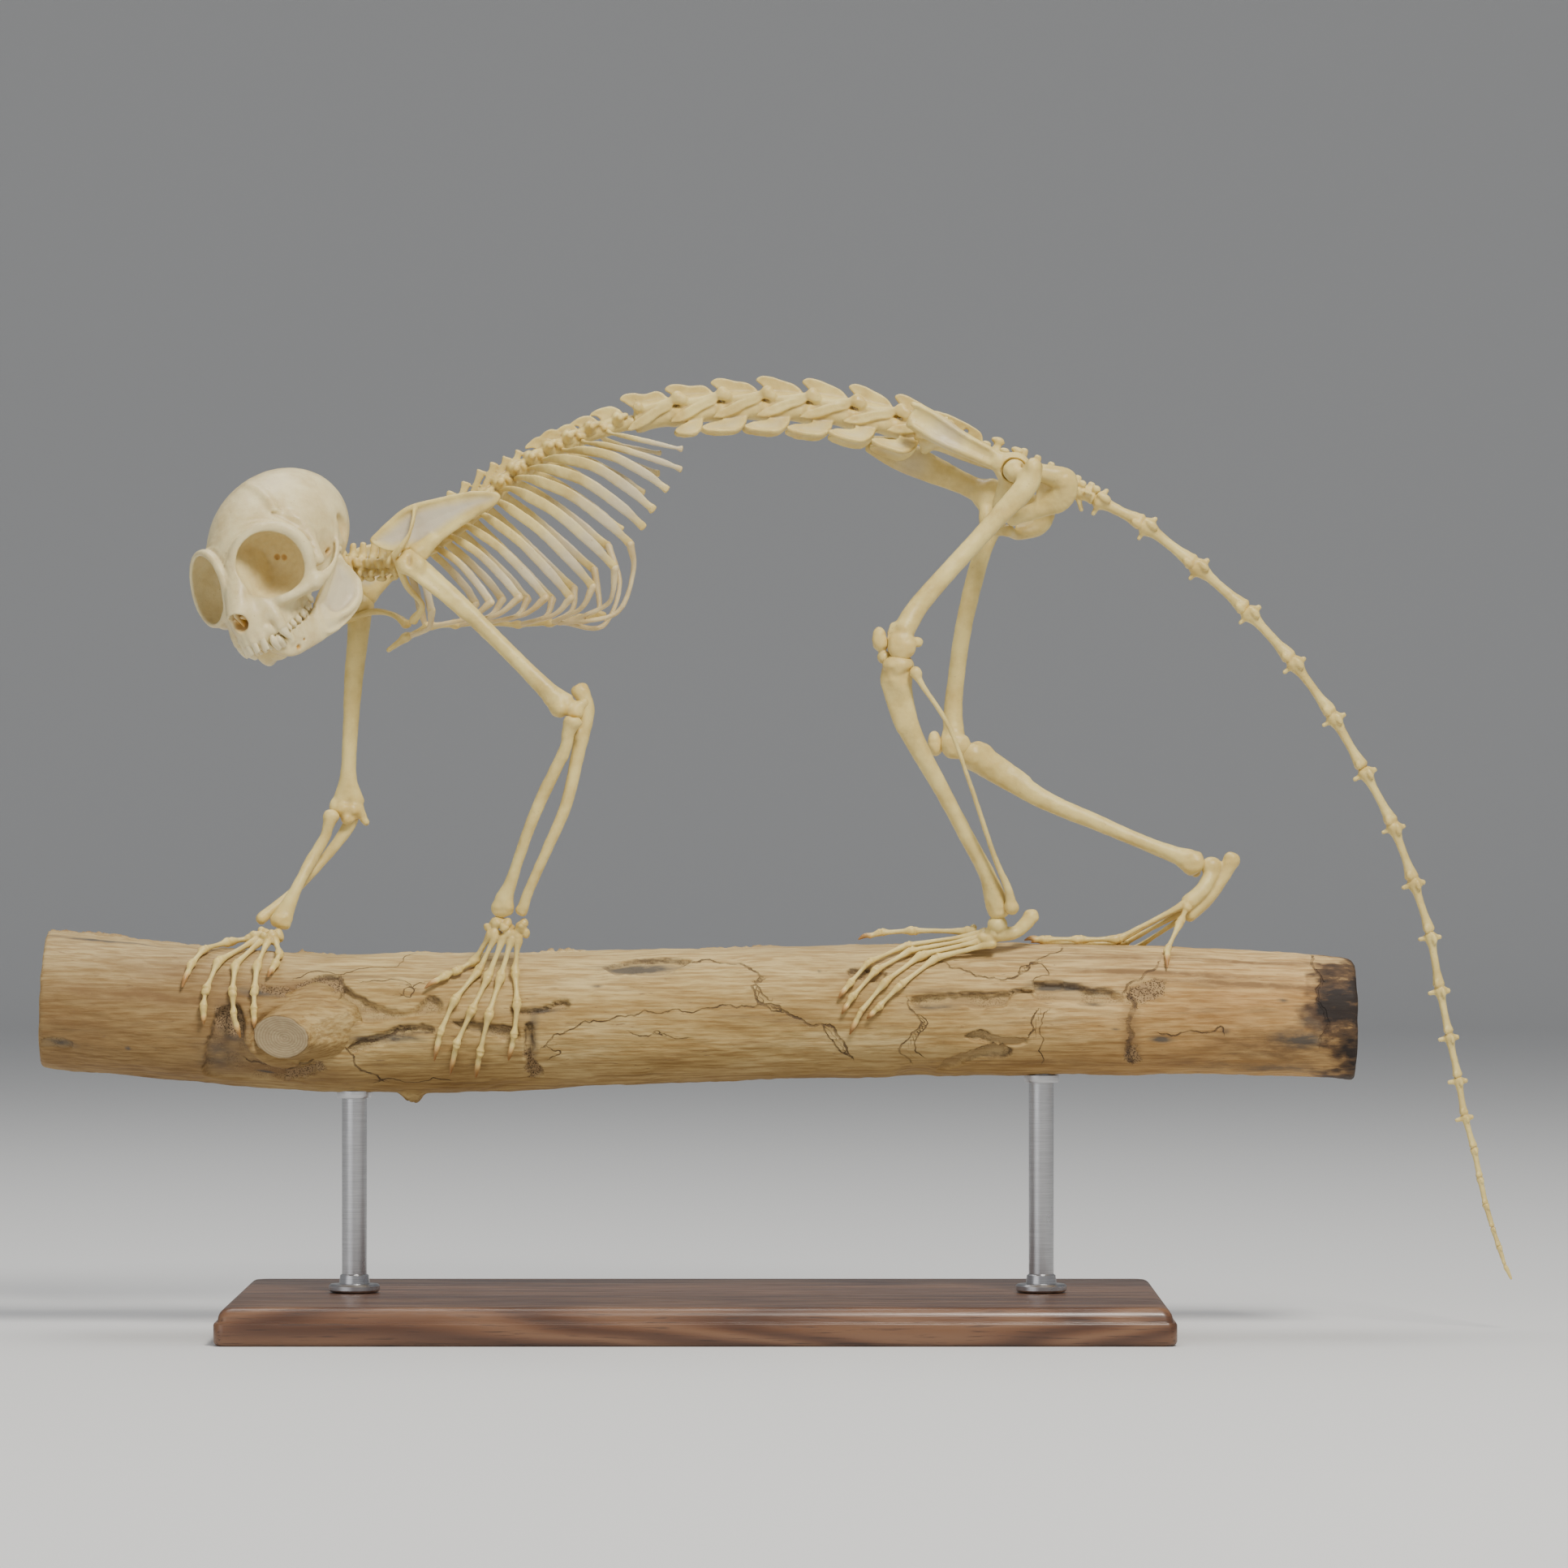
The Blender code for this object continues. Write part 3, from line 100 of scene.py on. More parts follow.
def rod(field, rows, side=(0, 1, 0), blend=0.8, cap=1.0, carving=False, spacing=1.4):
    # Oval profile carried along a curve: offsets over the half sizes, round caps at the ends
    path = smoothPath(rows, spacing)
    centre, size = path[:, :3], np.maximum(path[:, 3:5], 0.15)
    along = np.gradient(centre, axis=0)
    along /= np.linalg.norm(along, axis=1)[:, None]
    wide = np.asarray(side, float) - (along @ np.asarray(side, float))[:, None] * along
    wide /= np.linalg.norm(wide, axis=1)[:, None]
    margin = blend + 2 * field["cell"]
    reach = size.max(axis=1)[:, None] + margin
    cuts, _ = window(field, (centre - reach).min(axis=0), (centre + reach).max(axis=0))
    near = np.full([c.stop - c.start for c in cuts], far, np.float32)
    for i in range(len(centre) - 1):
        ends = np.array((centre[i] - reach[i], centre[i] + reach[i], centre[i + 1] - reach[i + 1],
            centre[i + 1] + reach[i + 1]))
        part, (x, y, z) = window(field, ends.min(axis=0), ends.max(axis=0))
        step = centre[i + 1] - centre[i]
        length = max(np.linalg.norm(step), 1e-6)
        step = step / length
        w = unit(wide[i] - (wide[i] @ step) * step)
        d = np.cross(step, w)
        dx, dy, dz = x - centre[i, 0], y - centre[i, 1], z - centre[i, 2]
        run = dx * step[0] + dy * step[1] + dz * step[2]
        t = np.clip(run / length, 0, 1)
        halfW = size[i, 0] + (size[i + 1, 0] - size[i, 0]) * t
        halfD = size[i, 1] + (size[i + 1, 1] - size[i, 1]) * t
        u = (dx * w[0] + dy * w[1] + dz * w[2]) / halfW
        v = (dx * d[0] + dy * d[1] + dz * d[2]) / halfD
        bulge = np.minimum(halfW, halfD) * cap
        over = (run - t * length) / bulge
        ratio = np.sqrt(u * u + v * v + over * over)
        slope = np.sqrt((u / halfW) ** 2 + (v / halfD) ** 2 + (over / bulge) ** 2) + 1e-6
        own = tuple(slice(p.start - c.start, p.stop - c.start) for p, c in zip(part, cuts))
        near[own] = np.minimum(near[own], ratio * (ratio - 1) / slope)
    mix(field, cuts, near, blend, carving)


def blob(field, centre, radii, axes=np.eye(3), blend=0.8, carving=False):
    # Oval: offsets along three axes over the half sizes, turned back into a distance
    centre, radii = np.asarray(centre, float), np.broadcast_to(np.asarray(radii, float), 3)
    reach = radii.max() + blend + 2 * field["cell"]
    cuts, (x, y, z) = window(field, centre - reach, centre + reach)
    parts = [(x - centre[0]) * a[0] + (y - centre[1]) * a[1] + (z - centre[2]) * a[2]
        for a in axes]
    ratio = np.sqrt(sum((p / r) ** 2 for p, r in zip(parts, radii)))
    slope = np.sqrt(sum((p / r ** 2) ** 2 for p, r in zip(parts, radii))) + 1e-6
    mix(field, cuts, ratio * (ratio - 1) / slope, blend, carving)


def outlineDistance(u, v, loop):
    # Distance to a closed outline in its plane, negative inside
    best = np.full(np.broadcast(u, v).shape, 1e6)
    inside = np.zeros(best.shape, bool)
    for (ax, ay), (bx, by) in zip(loop, np.roll(loop, -1, axis=0)):
        ex, ey = bx - ax, by - ay
        t = np.clip(((u - ax) * ex + (v - ay) * ey) / (ex * ex + ey * ey), 0, 1)
        best = np.minimum(best, (u - ax - t * ex) ** 2 + (v - ay - t * ey) ** 2)
        if abs(ey) > 1e-9:
            inside ^= ((ay > v) != (by > v)) & (u < ex * (v - ay) / ey + ax)
    return np.sqrt(best) * np.where(inside, -1, 1)


def blade(field, outline, thick, across, blend=0.8, rim=0.0, dish=0.0, carving=False, thin=0.0):
    # Flat bone: distance to its outline joined with the distance from its plane; rim thickens
    # the border and dish bends the middle out of the plane
    points = np.asarray(outline, float)
    loop = smoothPath([(*p, 0) for p in np.vstack((points, points[:1]))], 1.2)[:-1, :3]
    middle, normal = loop.mean(axis=0), unit(across)
    first = unit(np.cross(normal, (0.3, 0.2, 0.9)))
    second = np.cross(normal, first)
    flat = np.stack(((loop - middle) @ first, (loop - middle) @ second), axis=1)
    lift = (loop - middle) @ normal
    tilt = np.linalg.lstsq(np.column_stack((flat, np.ones(len(flat)))), lift, rcond=None)[0]
    size = np.abs(flat).max()
    soft = min(0.35, thick * 0.45)

    def planes(x, y, z):
        # Distance from the outline in the flat, and height over the dished plane
        dx, dy, dz = x - middle[0], y - middle[1], z - middle[2]
        u = dx * first[0] + dy * first[1] + dz * first[2]
        v = dx * second[0] + dy * second[1] + dz * second[2]
        h = dx * normal[0] + dy * normal[1] + dz * normal[2]
        edge = outlineDistance(u, v, flat)
        inner = np.clip(-edge / (size * 0.4), 0, 1)
        return edge, h - (tilt[0] * u + tilt[1] * v + tilt[2]) - dish * inner

    reach = blend + thick + rim + abs(dish) + 2 * field["cell"]
    cuts, grid = window(field, loop.min(axis=0) - reach, loop.max(axis=0) + reach)
    edge, h = planes(*grid)
    half = thick / 2 + rim * np.exp(-(edge / 1.3) ** 2)
    a, b = edge + soft, np.abs(h) - half + soft
    near = np.hypot(np.maximum(a, 0), np.maximum(b, 0)) + np.minimum(np.maximum(a, b), 0) - soft
    mix(field, cuts, near, blend, carving)
    if thin:
        def mask(p):
            edge, h = planes(p[:, 0], p[:, 1], p[:, 2])
            return thin * np.clip((-edge - 0.8) / 2.5, 0, 1) * np.clip(2 - np.abs(h) / thick, 0, 1)
        field["tints"].append(("thin", mask))


def tint(field, centre, radius, amount=1.0, kind="joint"):
    # A soft round patch of a tint: one at its centre and nothing at twice its radius
    centre = np.asarray(centre, float)

    def mask(p):
        return amount * np.exp(-(((p - centre) ** 2).sum(axis=1) / radius ** 2) ** 1.5)
    field["tints"].append((kind, mask))


def skin(field):
    # Surface nets: one point in each sample cell that the zero surface crosses, at the mean of
    # its crossings, and one four-sided face round each crossed edge
    value = field["value"]
    shape = np.array(value.shape)
    cells, crossings, faces = [], [], []
    for axis in range(3):
        lowSide = [slice(None)] * 3
        highSide = [slice(None)] * 3
        lowSide[axis], highSide[axis] = slice(0, -1), slice(1, None)
        a, b = value[tuple(lowSide)], value[tuple(highSide)]
        crossed = (a < 0) != (b < 0)
        index = np.argwhere(crossed)
        a, b = a[crossed].astype(float), b[crossed].astype(float)
        point = index.astype(float)
        point[:, axis] += a / (a - b)
        one, two = (axis + 1) % 3, (axis + 2) % 3
        corners = []
        for stepOne, stepTwo in ((-1, -1), (0, -1), (0, 0), (-1, 0)):
            cell = index.copy()
            cell[:, one] += stepOne
            cell[:, two] += stepTwo
            corners.append(cell @ (shape[1] * shape[2], shape[2], 1))
            cells.append(corners[-1])
            crossings.append(point)
        quad = np.stack(corners, axis=1)
        quad[a >= 0] = quad[a >= 0][:, ::-1]
        faces.append(quad)
    cells, crossings, faces = np.concatenate(cells), np.vstack(crossings), np.vstack(faces)
    names, slot = np.unique(cells, return_inverse=True)
    number = np.bincount(slot)
    points = np.stack([np.bincount(slot, crossings[:, k]) / number for k in range(3)], axis=1)
    faces = np.searchsorted(names, faces)
    edges = np.vstack([faces[:, (k, (k + 1) % 4)] for k in range(4)])
    around = np.bincount(edges[:, 0], minlength=len(points))
    for factor in (0.5, -0.53, 0.5, -0.53):          # smooths without shrinking
        mean = np.stack([np.bincount(edges[:, 0], points[edges[:, 1], k], len(points)) / around
            for k in range(3)], axis=1)
        points += factor * (mean - points)
    return field["low"] + points * field["cell"], faces


def outward(points, faces):
    # Mean direction of the faces round each point: cross products of the diagonals, added up
    cross = np.cross(points[faces[:, 2]] - points[faces[:, 0]],
        points[faces[:, 3]] - points[faces[:, 1]])
    total = np.stack([sum(np.bincount(faces[:, k], cross[:, axis], len(points)) for k in range(4))
        for axis in range(3)], axis=1)
    return total / np.maximum(np.linalg.norm(total, axis=1, keepdims=True), 1e-9)


swell = {"waves": 30, "lengths": (2.0, 8.5), "seed": 11, "plain": 0.035, "atJoints": 0.20}


def swelling(points):
    # Natural unevenness: mean of plane sine waves with random directions, lengths and phases
    chance = np.random.default_rng(swell["seed"])
    ways = chance.normal(size=(3, swell["waves"]))
    ways /= np.linalg.norm(ways, axis=0) * chance.uniform(*swell["lengths"], swell["waves"])
    height = np.sin(2 * math.pi * (points @ ways) + chance.uniform(0, 2 * math.pi, swell["waves"]))
    return height.sum(axis=1) / math.sqrt(swell["waves"] / 2)


def meshPiece(name, points, faces):
    # A mesh object from an array of points in millimetres and arrays of same-sided faces
    groups = faces if isinstance(faces, list) else [faces]
    sides = np.concatenate([np.full(len(g), g.shape[1]) for g in groups])
    corners = np.concatenate([g.ravel() for g in groups])
    mesh = bpy.data.meshes.new(name)
    mesh.vertices.add(len(points))
    mesh.vertices.foreach_set("co", (points * mm).astype(np.float32).ravel())
    mesh.loops.add(len(corners))
    mesh.loops.foreach_set("vertex_index", corners.astype(np.int32))
    mesh.polygons.add(len(sides))
    mesh.polygons.foreach_set("loop_start", (np.cumsum(sides) - sides).astype(np.int32))
    mesh.update(calc_edges=True)
    mesh.validate()
    mesh.shade_smooth()
    piece = bpy.data.objects.new(name, mesh)
    bpy.context.scene.collection.objects.link(piece)
    return piece


report = {"triangles": 0}


def dress(piece, values, material, nodes, triangles):
    # Attributes, material and body of a finished piece; the CAD nodes that it stands for are hidden
    for key, array in values.items():
        layer = piece.data.attributes.new(key, "FLOAT", "POINT")
        layer.data.foreach_set("value", np.asarray(array, np.float32))
    piece.data.materials.append(material)
    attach(piece, "root")
    if nodes:
        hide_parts(*nodes)
    report["triangles"] += triangles
    print(f"{piece.name}: {triangles} triangles")
    return piece


def bonePiece(name, field, nodes, material=None, even=1.0):
    # Skins the field, swells it a little, writes its tints as attributes and stands it for its
    # CAD nodes
    points, faces = skin(field)
    tints = {kind: np.zeros(len(points)) for kind in ("joint", "horn", "thin", "hollow")}
    for kind, mask in field["tints"]:
        tints[kind] = np.maximum(tints[kind], mask(points))
    share = even * (swell["plain"] + swell["atJoints"] * tints["joint"])
    points = points + outward(points, faces) * (share * swelling(points))[:, None]
    if field["place"]:
        origin, axes = field["place"]
        points = origin + points @ axes
    return dress(meshPiece(name, points, faces), tints, material or bone, nodes,
        2 * len(faces))


# Materials
class Finish:
    # A material in the making: its nodes, the colour painted so far and the bump so far
    def __init__(self, name):
        self.made = bpy.data.materials.new(name)
        self.made.use_nodes = True
        self.nodes = self.made.node_tree.nodes
        self.where = self.node("TexCoord", {}, "Object")
        self.colour = self.normal = None

    def fill(self, sockets, values):
        # Numbers and colours are written into sockets, outputs of other nodes are linked to them
        for key, value in values.items():
            if isinstance(value, bpy.types.NodeSocket):
                self.made.node_tree.links.new(value, sockets[key])
            elif value is not None:
                sockets[key].default_value = value

    def node(self, kind, values, out, **settings):
        made = self.nodes.new("ShaderNode" + kind)
        for key, value in settings.items():
            setattr(made, key, value)
        self.fill(made.inputs, values)
        return made.outputs[out]

    def noise(self, scale, detail=4.0, roughness=0.55, stretch=None):
        where = self.where
        if stretch:
            where = self.node("Mapping", {"Vector": where, "Scale": stretch}, "Vector")
        return self.node("TexNoise", {"Vector": where, "Scale": scale, "Detail": detail,
            "Roughness": roughness}, "Fac")

    def dots(self, scale):
        return self.node("TexVoronoi", {"Vector": self.where, "Scale": scale}, "Distance")

    def shift(self, source, fromLow, fromHigh, toLow=0.0, toHigh=1.0):
        return self.node("MapRange", {"Value": source, "From Min": fromLow, "From Max": fromHigh,
            "To Min": toLow, "To Max": toHigh}, "Result")

    def work(self, operation, a, b=None):
        return self.node("Math", {0: a, 1: b}, "Value", operation=operation)

    def times(self, a, b):
        return self.work("MULTIPLY", a, b)

    def named(self, name):
        return self.node("Attribute", {}, "Fac", attribute_name=name)

    def ramp(self, source, *stops):
        made = self.nodes.new("ShaderNodeValToRGB")
        while len(made.color_ramp.elements) < len(stops):
            made.color_ramp.elements.new(0.5)
        for element, (place, colour) in zip(made.color_ramp.elements, stops):
            element.position, element.color = place, (*colour, 1)
        self.fill(made.inputs, {"Fac": source})
        return made.outputs["Color"]

    def mixed(self, share, a, b, mode="MIX"):
        a, b = ((*c, 1) if isinstance(c, tuple) else c for c in (a, b))
        return self.node("Mix", {0: share, 6: a, 7: b}, 2, data_type="RGBA", blend_type=mode)

    def paint(self, share, tone, mode="MIX"):
        self.colour = self.mixed(share, self.colour, tone, mode)

    def bump(self, height, strength, distance):
        self.normal = self.node("Bump", {"Strength": strength, "Distance": distance,
            "Height": height, "Normal": self.normal}, "Normal")

    def done(self, roughness, values={}):
        self.fill(self.nodes["Principled BSDF"].inputs, {"Base Color": self.colour,
            "Roughness": roughness, "Normal": self.normal, **values})
        return self.made


boneLook = {
    "light": (0.76, 0.61, 0.23), "deep": (0.56, 0.41, 0.13), "joint": (0.66, 0.46, 0.13),
    "thin": (0.56, 0.51, 0.41), "hornPale": (0.66, 0.43, 0.15), "hornDark": (0.34, 0.17, 0.05),
    # the crease tone is painted shade in the creases and also the pores' own colour; the hollow
    # tone is painted shade inside the openings and between the vertebrae
    "hollow": (0.56, 0.30, 0.04), "crease": (0.38, 0.26, 0.12),
}


def boneMaterial(name, look, gloss=0.42):
    # Cream bone: cloudy light and deep tones, yellow at the joints, grey where it is thin, painted
    # shade in the creases and inside the openings, with fine pores and a faint waviness in the bump
    m = Finish(name)
    clouds = m.noise(90, 5, 0.6)
    m.colour = m.ramp(clouds, (0.32, look["deep"]), (0.62, look["light"]))
    m.paint(m.shift(m.noise(420, 4, 0.65), 0.45, 0.75, 0, 0.35), look["light"])
    uneven = m.shift(m.noise(700, 3), 0.3, 0.7, 0.55, 1.15)
    m.paint(m.times(m.named("joint"), uneven), look["joint"])
    m.paint(m.named("thin"), look["thin"])
    # painted shade: darker where the surface folds inwards, as the pointiness falls
    crease = m.node("NewGeometry", {}, "Pointiness")
    m.paint(m.shift(crease, 0.42, 0.497, 0.85, 0.0), look["crease"])
    # the pores take the same dark tone as the painted crease shade, as their own colour
    pore = m.times(m.shift(m.dots(900), 0.10, 0.22, 1.0, 0.0), m.shift(m.noise(260, 2), 0.58,
        0.68))
    m.paint(m.times(pore, 0.5), look["crease"])
    # painted shade: darker and browner inside the openings and between the vertebrae, where the
    # hollow tint is written
    m.paint(m.times(m.named("hollow"), uneven), look["hollow"])
    horn = m.named("horn")
    m.paint(m.shift(horn, 0.05, 0.35), m.ramp(horn, (0.0, look["light"]), (0.35,
        look["hornPale"]), (1.0, look["hornDark"])))
    m.bump(m.noise(240, 3), 0.35, 0.0006)
    m.bump(m.noise(1500, 3, 0.6), 0.25, 0.0002)
    m.bump(m.times(pore, -1.0), 0.4, 0.0003)
    return m.done(m.shift(clouds, 0.3, 0.7, gloss - 0.06, gloss + 0.10),
        {"Subsurface Weight": 0.12, "Subsurface Radius": (0.0016, 0.0011, 0.0007),
        "Subsurface Scale": 1.0, "Specular IOR Level": 0.42})


bone = boneMaterial("bone", boneLook)
# paler bone for the skull and jaw: partly their own tone, partly painted light for the brighter
# light that falls on the head
skullBone = boneMaterial("skullBone", dict(boneLook, light=(0.80, 0.69, 0.38),
    deep=(0.62, 0.49, 0.24)))
enamel = boneMaterial("enamel", dict(boneLook, light=(0.80, 0.70, 0.42), deep=(0.68, 0.56, 0.30)),
    0.26)
gristle = boneMaterial("gristle", dict(boneLook, light=(0.74, 0.60, 0.32),
    deep=(0.60, 0.44, 0.19)), 0.38)
print("materials ready")


# Skull, in its own frame: forward, left and up from a point between the orbits
skullFrame = {
    "origin": np.array((-146, -28, 241.4)),
    "axes": np.array(((-0.42, -0.80, -0.43), (0.776, -0.555, 0.306), (-0.483, -0.205, 0.854))),
    "cell": 0.41, "middle": 1.3,
}
orbits = {
    "left": {"side": 1, "centre": (-2.5, 11.5, -2.2), "across": (-0.454, 0.891, 0),
        "up": (0, 0, 1),
        "size": 11.8, "edge": 1.0},
    "right": {"side": -1, "centre": (0.6, -11.5, -1.0), "across": (-0.52, -0.82, 0.24),
        "up": (-0.16, 0.37, 0.92), "size": 11.4, "edge": 0.1},
}
orbitCup = {"steps": ((0.2, 1.0), (-3.5, 1.05), (-9, 0.99), (-14, 0.8), (-18, 0.5)), "deep": 12.6}
brain = {"centre": (-27, 1.4, 0.5), "radii": (28.5, 20.5, 20.5)}


# Cheek tooth: a block with rounded shoulders and four low cusps
teeth = {
    "cheek": ((3.5, 10.0, -21.2, 1.0), (1.0, 10.4, -21.2, 1.05), (-1.8, 10.8, -21.1, 1.15),
        (-5.0, 11.1, -20.6, 1.45), (-8.4, 11.3, -19.6, 1.45), (-11.5, 11.4, -18.6, 1.2)),
    "upperFront": ((13.2, 2.5, -19.6, 1.15, 3.6), (11.7, 4.9, -19.8, 1.35, 4.0)),
    "lowerFront": ((9.9, 2.3, -24.2, 0.8, 2.8), (9.3, 4.3, -24.2, 0.85, 2.8)),
}


def headPlace():
    # Where the head's own grid starts, and its three directions
    return skullFrame["origin"], skullFrame["axes"]


def sided(rows, s):
    # The same rows on the left (1) or mirrored to the right (-1)
    middle = skullFrame["middle"]
    return [(r[0], middle + s * (r[1] - middle), *r[2:]) for r in rows]


def onSide(field, s):
    # Rod, oval and place for one side of the head
    def side(place):
        return sided([place], s)[0]

    def limb(rows, **how):
        rod(field, sided(rows, s), **how)

    def lump(place, *sizes, **how):
        blob(field, side(place), *sizes, **how)
    return limb, lump, side


def makeSkull():
    # Ovals for the braincase and rods for the face flow together, then the sockets are cut
    field = makeField((-60, -29, -30), (19, 29, 26), skullFrame["cell"], headPlace())
    m = skullFrame["middle"]
    blob(field, brain["centre"], brain["radii"], blend=1)
    blob(field, (-10, m, 3.6), (11.6, 12.0, 9.2), blend=3)      # forehead
    blob(field, (-16, m, -9), (17, 11, 9), blend=3)             # underside of the braincase
    blob(field, (0, m, -14), (11.5, 9.4, 6.8), blend=2)         # upper jaw
    # nose bridge and front of the upper jaw
    rod(field, ((-7, m, 4.8, 5.6, 4.8), (0, m, 0.4, 4.4, 3.8), (7, m, -5.2, 4.0, 3.2),
        (12.4, m, -9.6, 3.0, 2.2)), blend=2.5)
    rod(field, ((7.8, m, -11, 5.2, 5.2), (8.6, m, -16, 5.8, 4.9), (9.0, m, -19.6, 5.0, 4.2)),
        blend=2.2)
    blob(field, (3, m, -19.8), (9.5, 7.2, 3.2), blend=1.5)      # palate
    turn = np.linspace(0, 2 * math.pi, 25)
    cups = []
    for hole in orbits.values():
        s, rim, size = hole["side"], np.array(hole["centre"]), hole["size"]
        across, up = unit(hole["across"]), unit(hole["up"])
        look = unit(np.cross(across, up)) * s
        cups.append((s, rim, size, across, up, look))
        rod(field, [(*(rim + f * look), r * size + 0.5) for f, r in orbitCup["steps"]], side=up,
            blend=2, cap=0.1)
        outer = np.maximum(0, np.cos(turn))
        thick = 0.85 + hole["edge"] * outer + 0.35 * np.maximum(0, np.sin(turn))
        flat = np.outer(np.cos(turn), across) + np.outer(np.sin(turn), up)
        reach = size + 0.9 * outer * (s > 0)
        ring = rim + np.outer(0.3 - 0.7 * outer, look) + reach[:, None] * flat
        rod(field, np.column_stack((ring, thick)), blend=1.4)
    for s in (1, -1):
        limb, lump, side = onSide(field, s)
        # ridge behind the rim, down from the crown to the cheek
        limb(((-16.6, 18.2, 7, 1.1), (-16.4, 19.4, 5, 1.3), (-15.8, 20.6, -1, 1.5),
            (-12.6, 21.8, -8.5, 1.5)), blend=3.2)
        if s > 0:
            limb(((-25, 1.8, 20.3, 0.5), (-22.9, 4.5, 20.0, 0.8), (-19.5, 9.5, 17.9, 0.8),
                (-15.8, 13.8, 14.8, 0.8), (-12.8, 16.0, 11.0, 0.6)), blend=2.2)
        # wall of the upper jaw above the cheek teeth, and the bottom of the rim
        limb(((5, 7.8, -14, 2.6, 5.4), (-3, 9.4, -14, 3, 5.8), (-12, 10.4, -13, 2.6, 5.4)),
            blend=2.5)
        limb(((2, 12, -12.4, 2.8, 2.0), (-3, 17, -13.4, 3.0, 2.1), (-6.8, 20.8, -13.2, 2.6, 2.2)),
            side=(1, 0, 0), blend=2.5)
        lump((-25, 11, -14), (8, 5.6, 5), blend=2.5)
        limb(((-30, 17.5, -8.5, 2.4), (-33, 14, -11, 2), (-35, 9, -12, 1.6)), blend=2)
        lump((-35.5, 5.6, -12.5), (2.6, 2.4, 3.2), blend=1.5)   # neck knobs
        # root of the canine tooth, and sockets of the cheek teeth and the incisors
        limb(((5.2, 8.8, -12.2, 1.1), (6.0, 9.9, -16, 1.8), (6.5, 10.2, -19.6, 1.9)), blend=1.2)
        for f, l, u, size in teeth["cheek"]:
            limb(((f, l - 0.9, u + 4.6, 0.9), (f, l - 0.4, u + 1.5, size + 0.35)), blend=1.4)
        for f, l in ((12.6, 2.5), (11.2, 4.9)):
            limb(((f - 1, l - 0.2, -15.4, 0.9), (f + 0.2, l, -19.6, 1.25)), blend=1.1)
        limb(((9.0, 6.4, -18.6, 1.8), (7.6, 7.6, -20.2, 1.2)), blend=1.2)
    for s, rim, size, across, up, look in cups:
        limb, lump, side = onSide(field, s)
        blob(field, rim - 2.4 * look, (size - 0.9 + 0.4 * (s < 0), size - 0.1, orbitCup["deep"]),
            (across, up, look), blend=0.6, carving=True)
        tint(field, rim - 9 * look, 12, 0.40)
        # hollow of the temple, of the ear and small openings
        lump((-20.5, 23.2, -8.5), (6.0, 3.4, 6.0), blend=2.0, carving=True)
        lump((-35.4, 20.4, -8.0), (3.4, 3.4, 6.4), (unit((1, 0, -0.35)), (0, 1, 0),
            unit((0.35, 0, 1))), blend=1.2, carving=True)
        lump((-22.6, 19.4, -9.2), (1.3, 2.4, 0.7), blend=0.4, carving=True)
        if s > 0:
            limb(((-11.8, 15.3, 11.1, 0.3), (-12.1, 17.3, 9.7, 0.8), (-12.4, 18.5, 8.0, 0.9),
                (-12.9, 19.8, 6.4, 0.8), (-13.8, 21.0, 4.4, 0.4)), blend=0.9, carving=True)
        for f, l, u in ((-15.9, 5.1, -3.3), (-16.3, 7.2, -4.4)):
            lump((f, l, u), (0.9, 0.8, 0.75), blend=0.4, carving=True)
            tint(field, side((f - 0.5, l, u)), 1.2, 0.55, "horn")
        # painted shade inside the small opening and in the hollow of the ear
        tint(field, side((-22.6, 18.6, -9.2)), 1.6, 0.7, "hollow")
        tint(field, side((-35.4, 18, -8.4)), 4.0, 0.34, "hollow")
        # cheek arch, free of the braincase
        limb(((-6.4, 20.6, -13.6, 2.6, 2.4), (-10.2, 22.2, -13.6, 1.7, 1.2),
            (-16, 22.6, -12.8, 0.9, 0.7), (-22.5, 21.6, -11.0, 0.8, 0.6),
            (-27.2, 20.8, -7.6, 0.9, 0.7), (-30.4, 20.0, -3.4, 1.2, 0.9)), side=(0, 0, 1),
            blend=1.2)
    # bone wall between the orbits
    rod(field, ((3, m, -2, 0.9, 6), (-5, m, -2, 0.8, 10), (-13, m, -2, 1.2, 9)), blend=1.2)
    # nasal opening with its scroll bones, and the opening for the spinal cord
    blob(field, (14.6, m, -12.6), (4.6, 3.2, 3.4), (unit((1, 0, -0.5)), (0, 1, 0),
        unit((0.5, 0, 1))), blend=0.7, carving=True)
    blob(field, (11.6, m, -13.2), (3.6, 2.6, 2.2), blend=0.7, carving=True)
    rod(field, ((12.6, m, -9.4, 0.4, 1.2), (10.0, m, -13.6, 0.5, 2.0)), blend=0.5)
    for s in (1, -1):
        limb = onSide(field, s)[0]
        limb(((12.2, 2.6, -11.2, 0.5), (10.4, 3.0, -12.4, 0.7), (8.8, 2.8, -13.6, 0.6)), blend=0.4)
    blob(field, (-37, m, -14.5), (4.2, 3.4, 3.6), carving=True)
    # painted shade inside the nasal opening and the opening for the spinal cord
    tint(field, (10.4, m, -13.0), 3.3, 1.0, "hollow")
    tint(field, (-35, m, -13), 3.5, 0.5, "hollow")
    return bonePiece("skull", field, ("cranium",), skullBone, even=0.6)


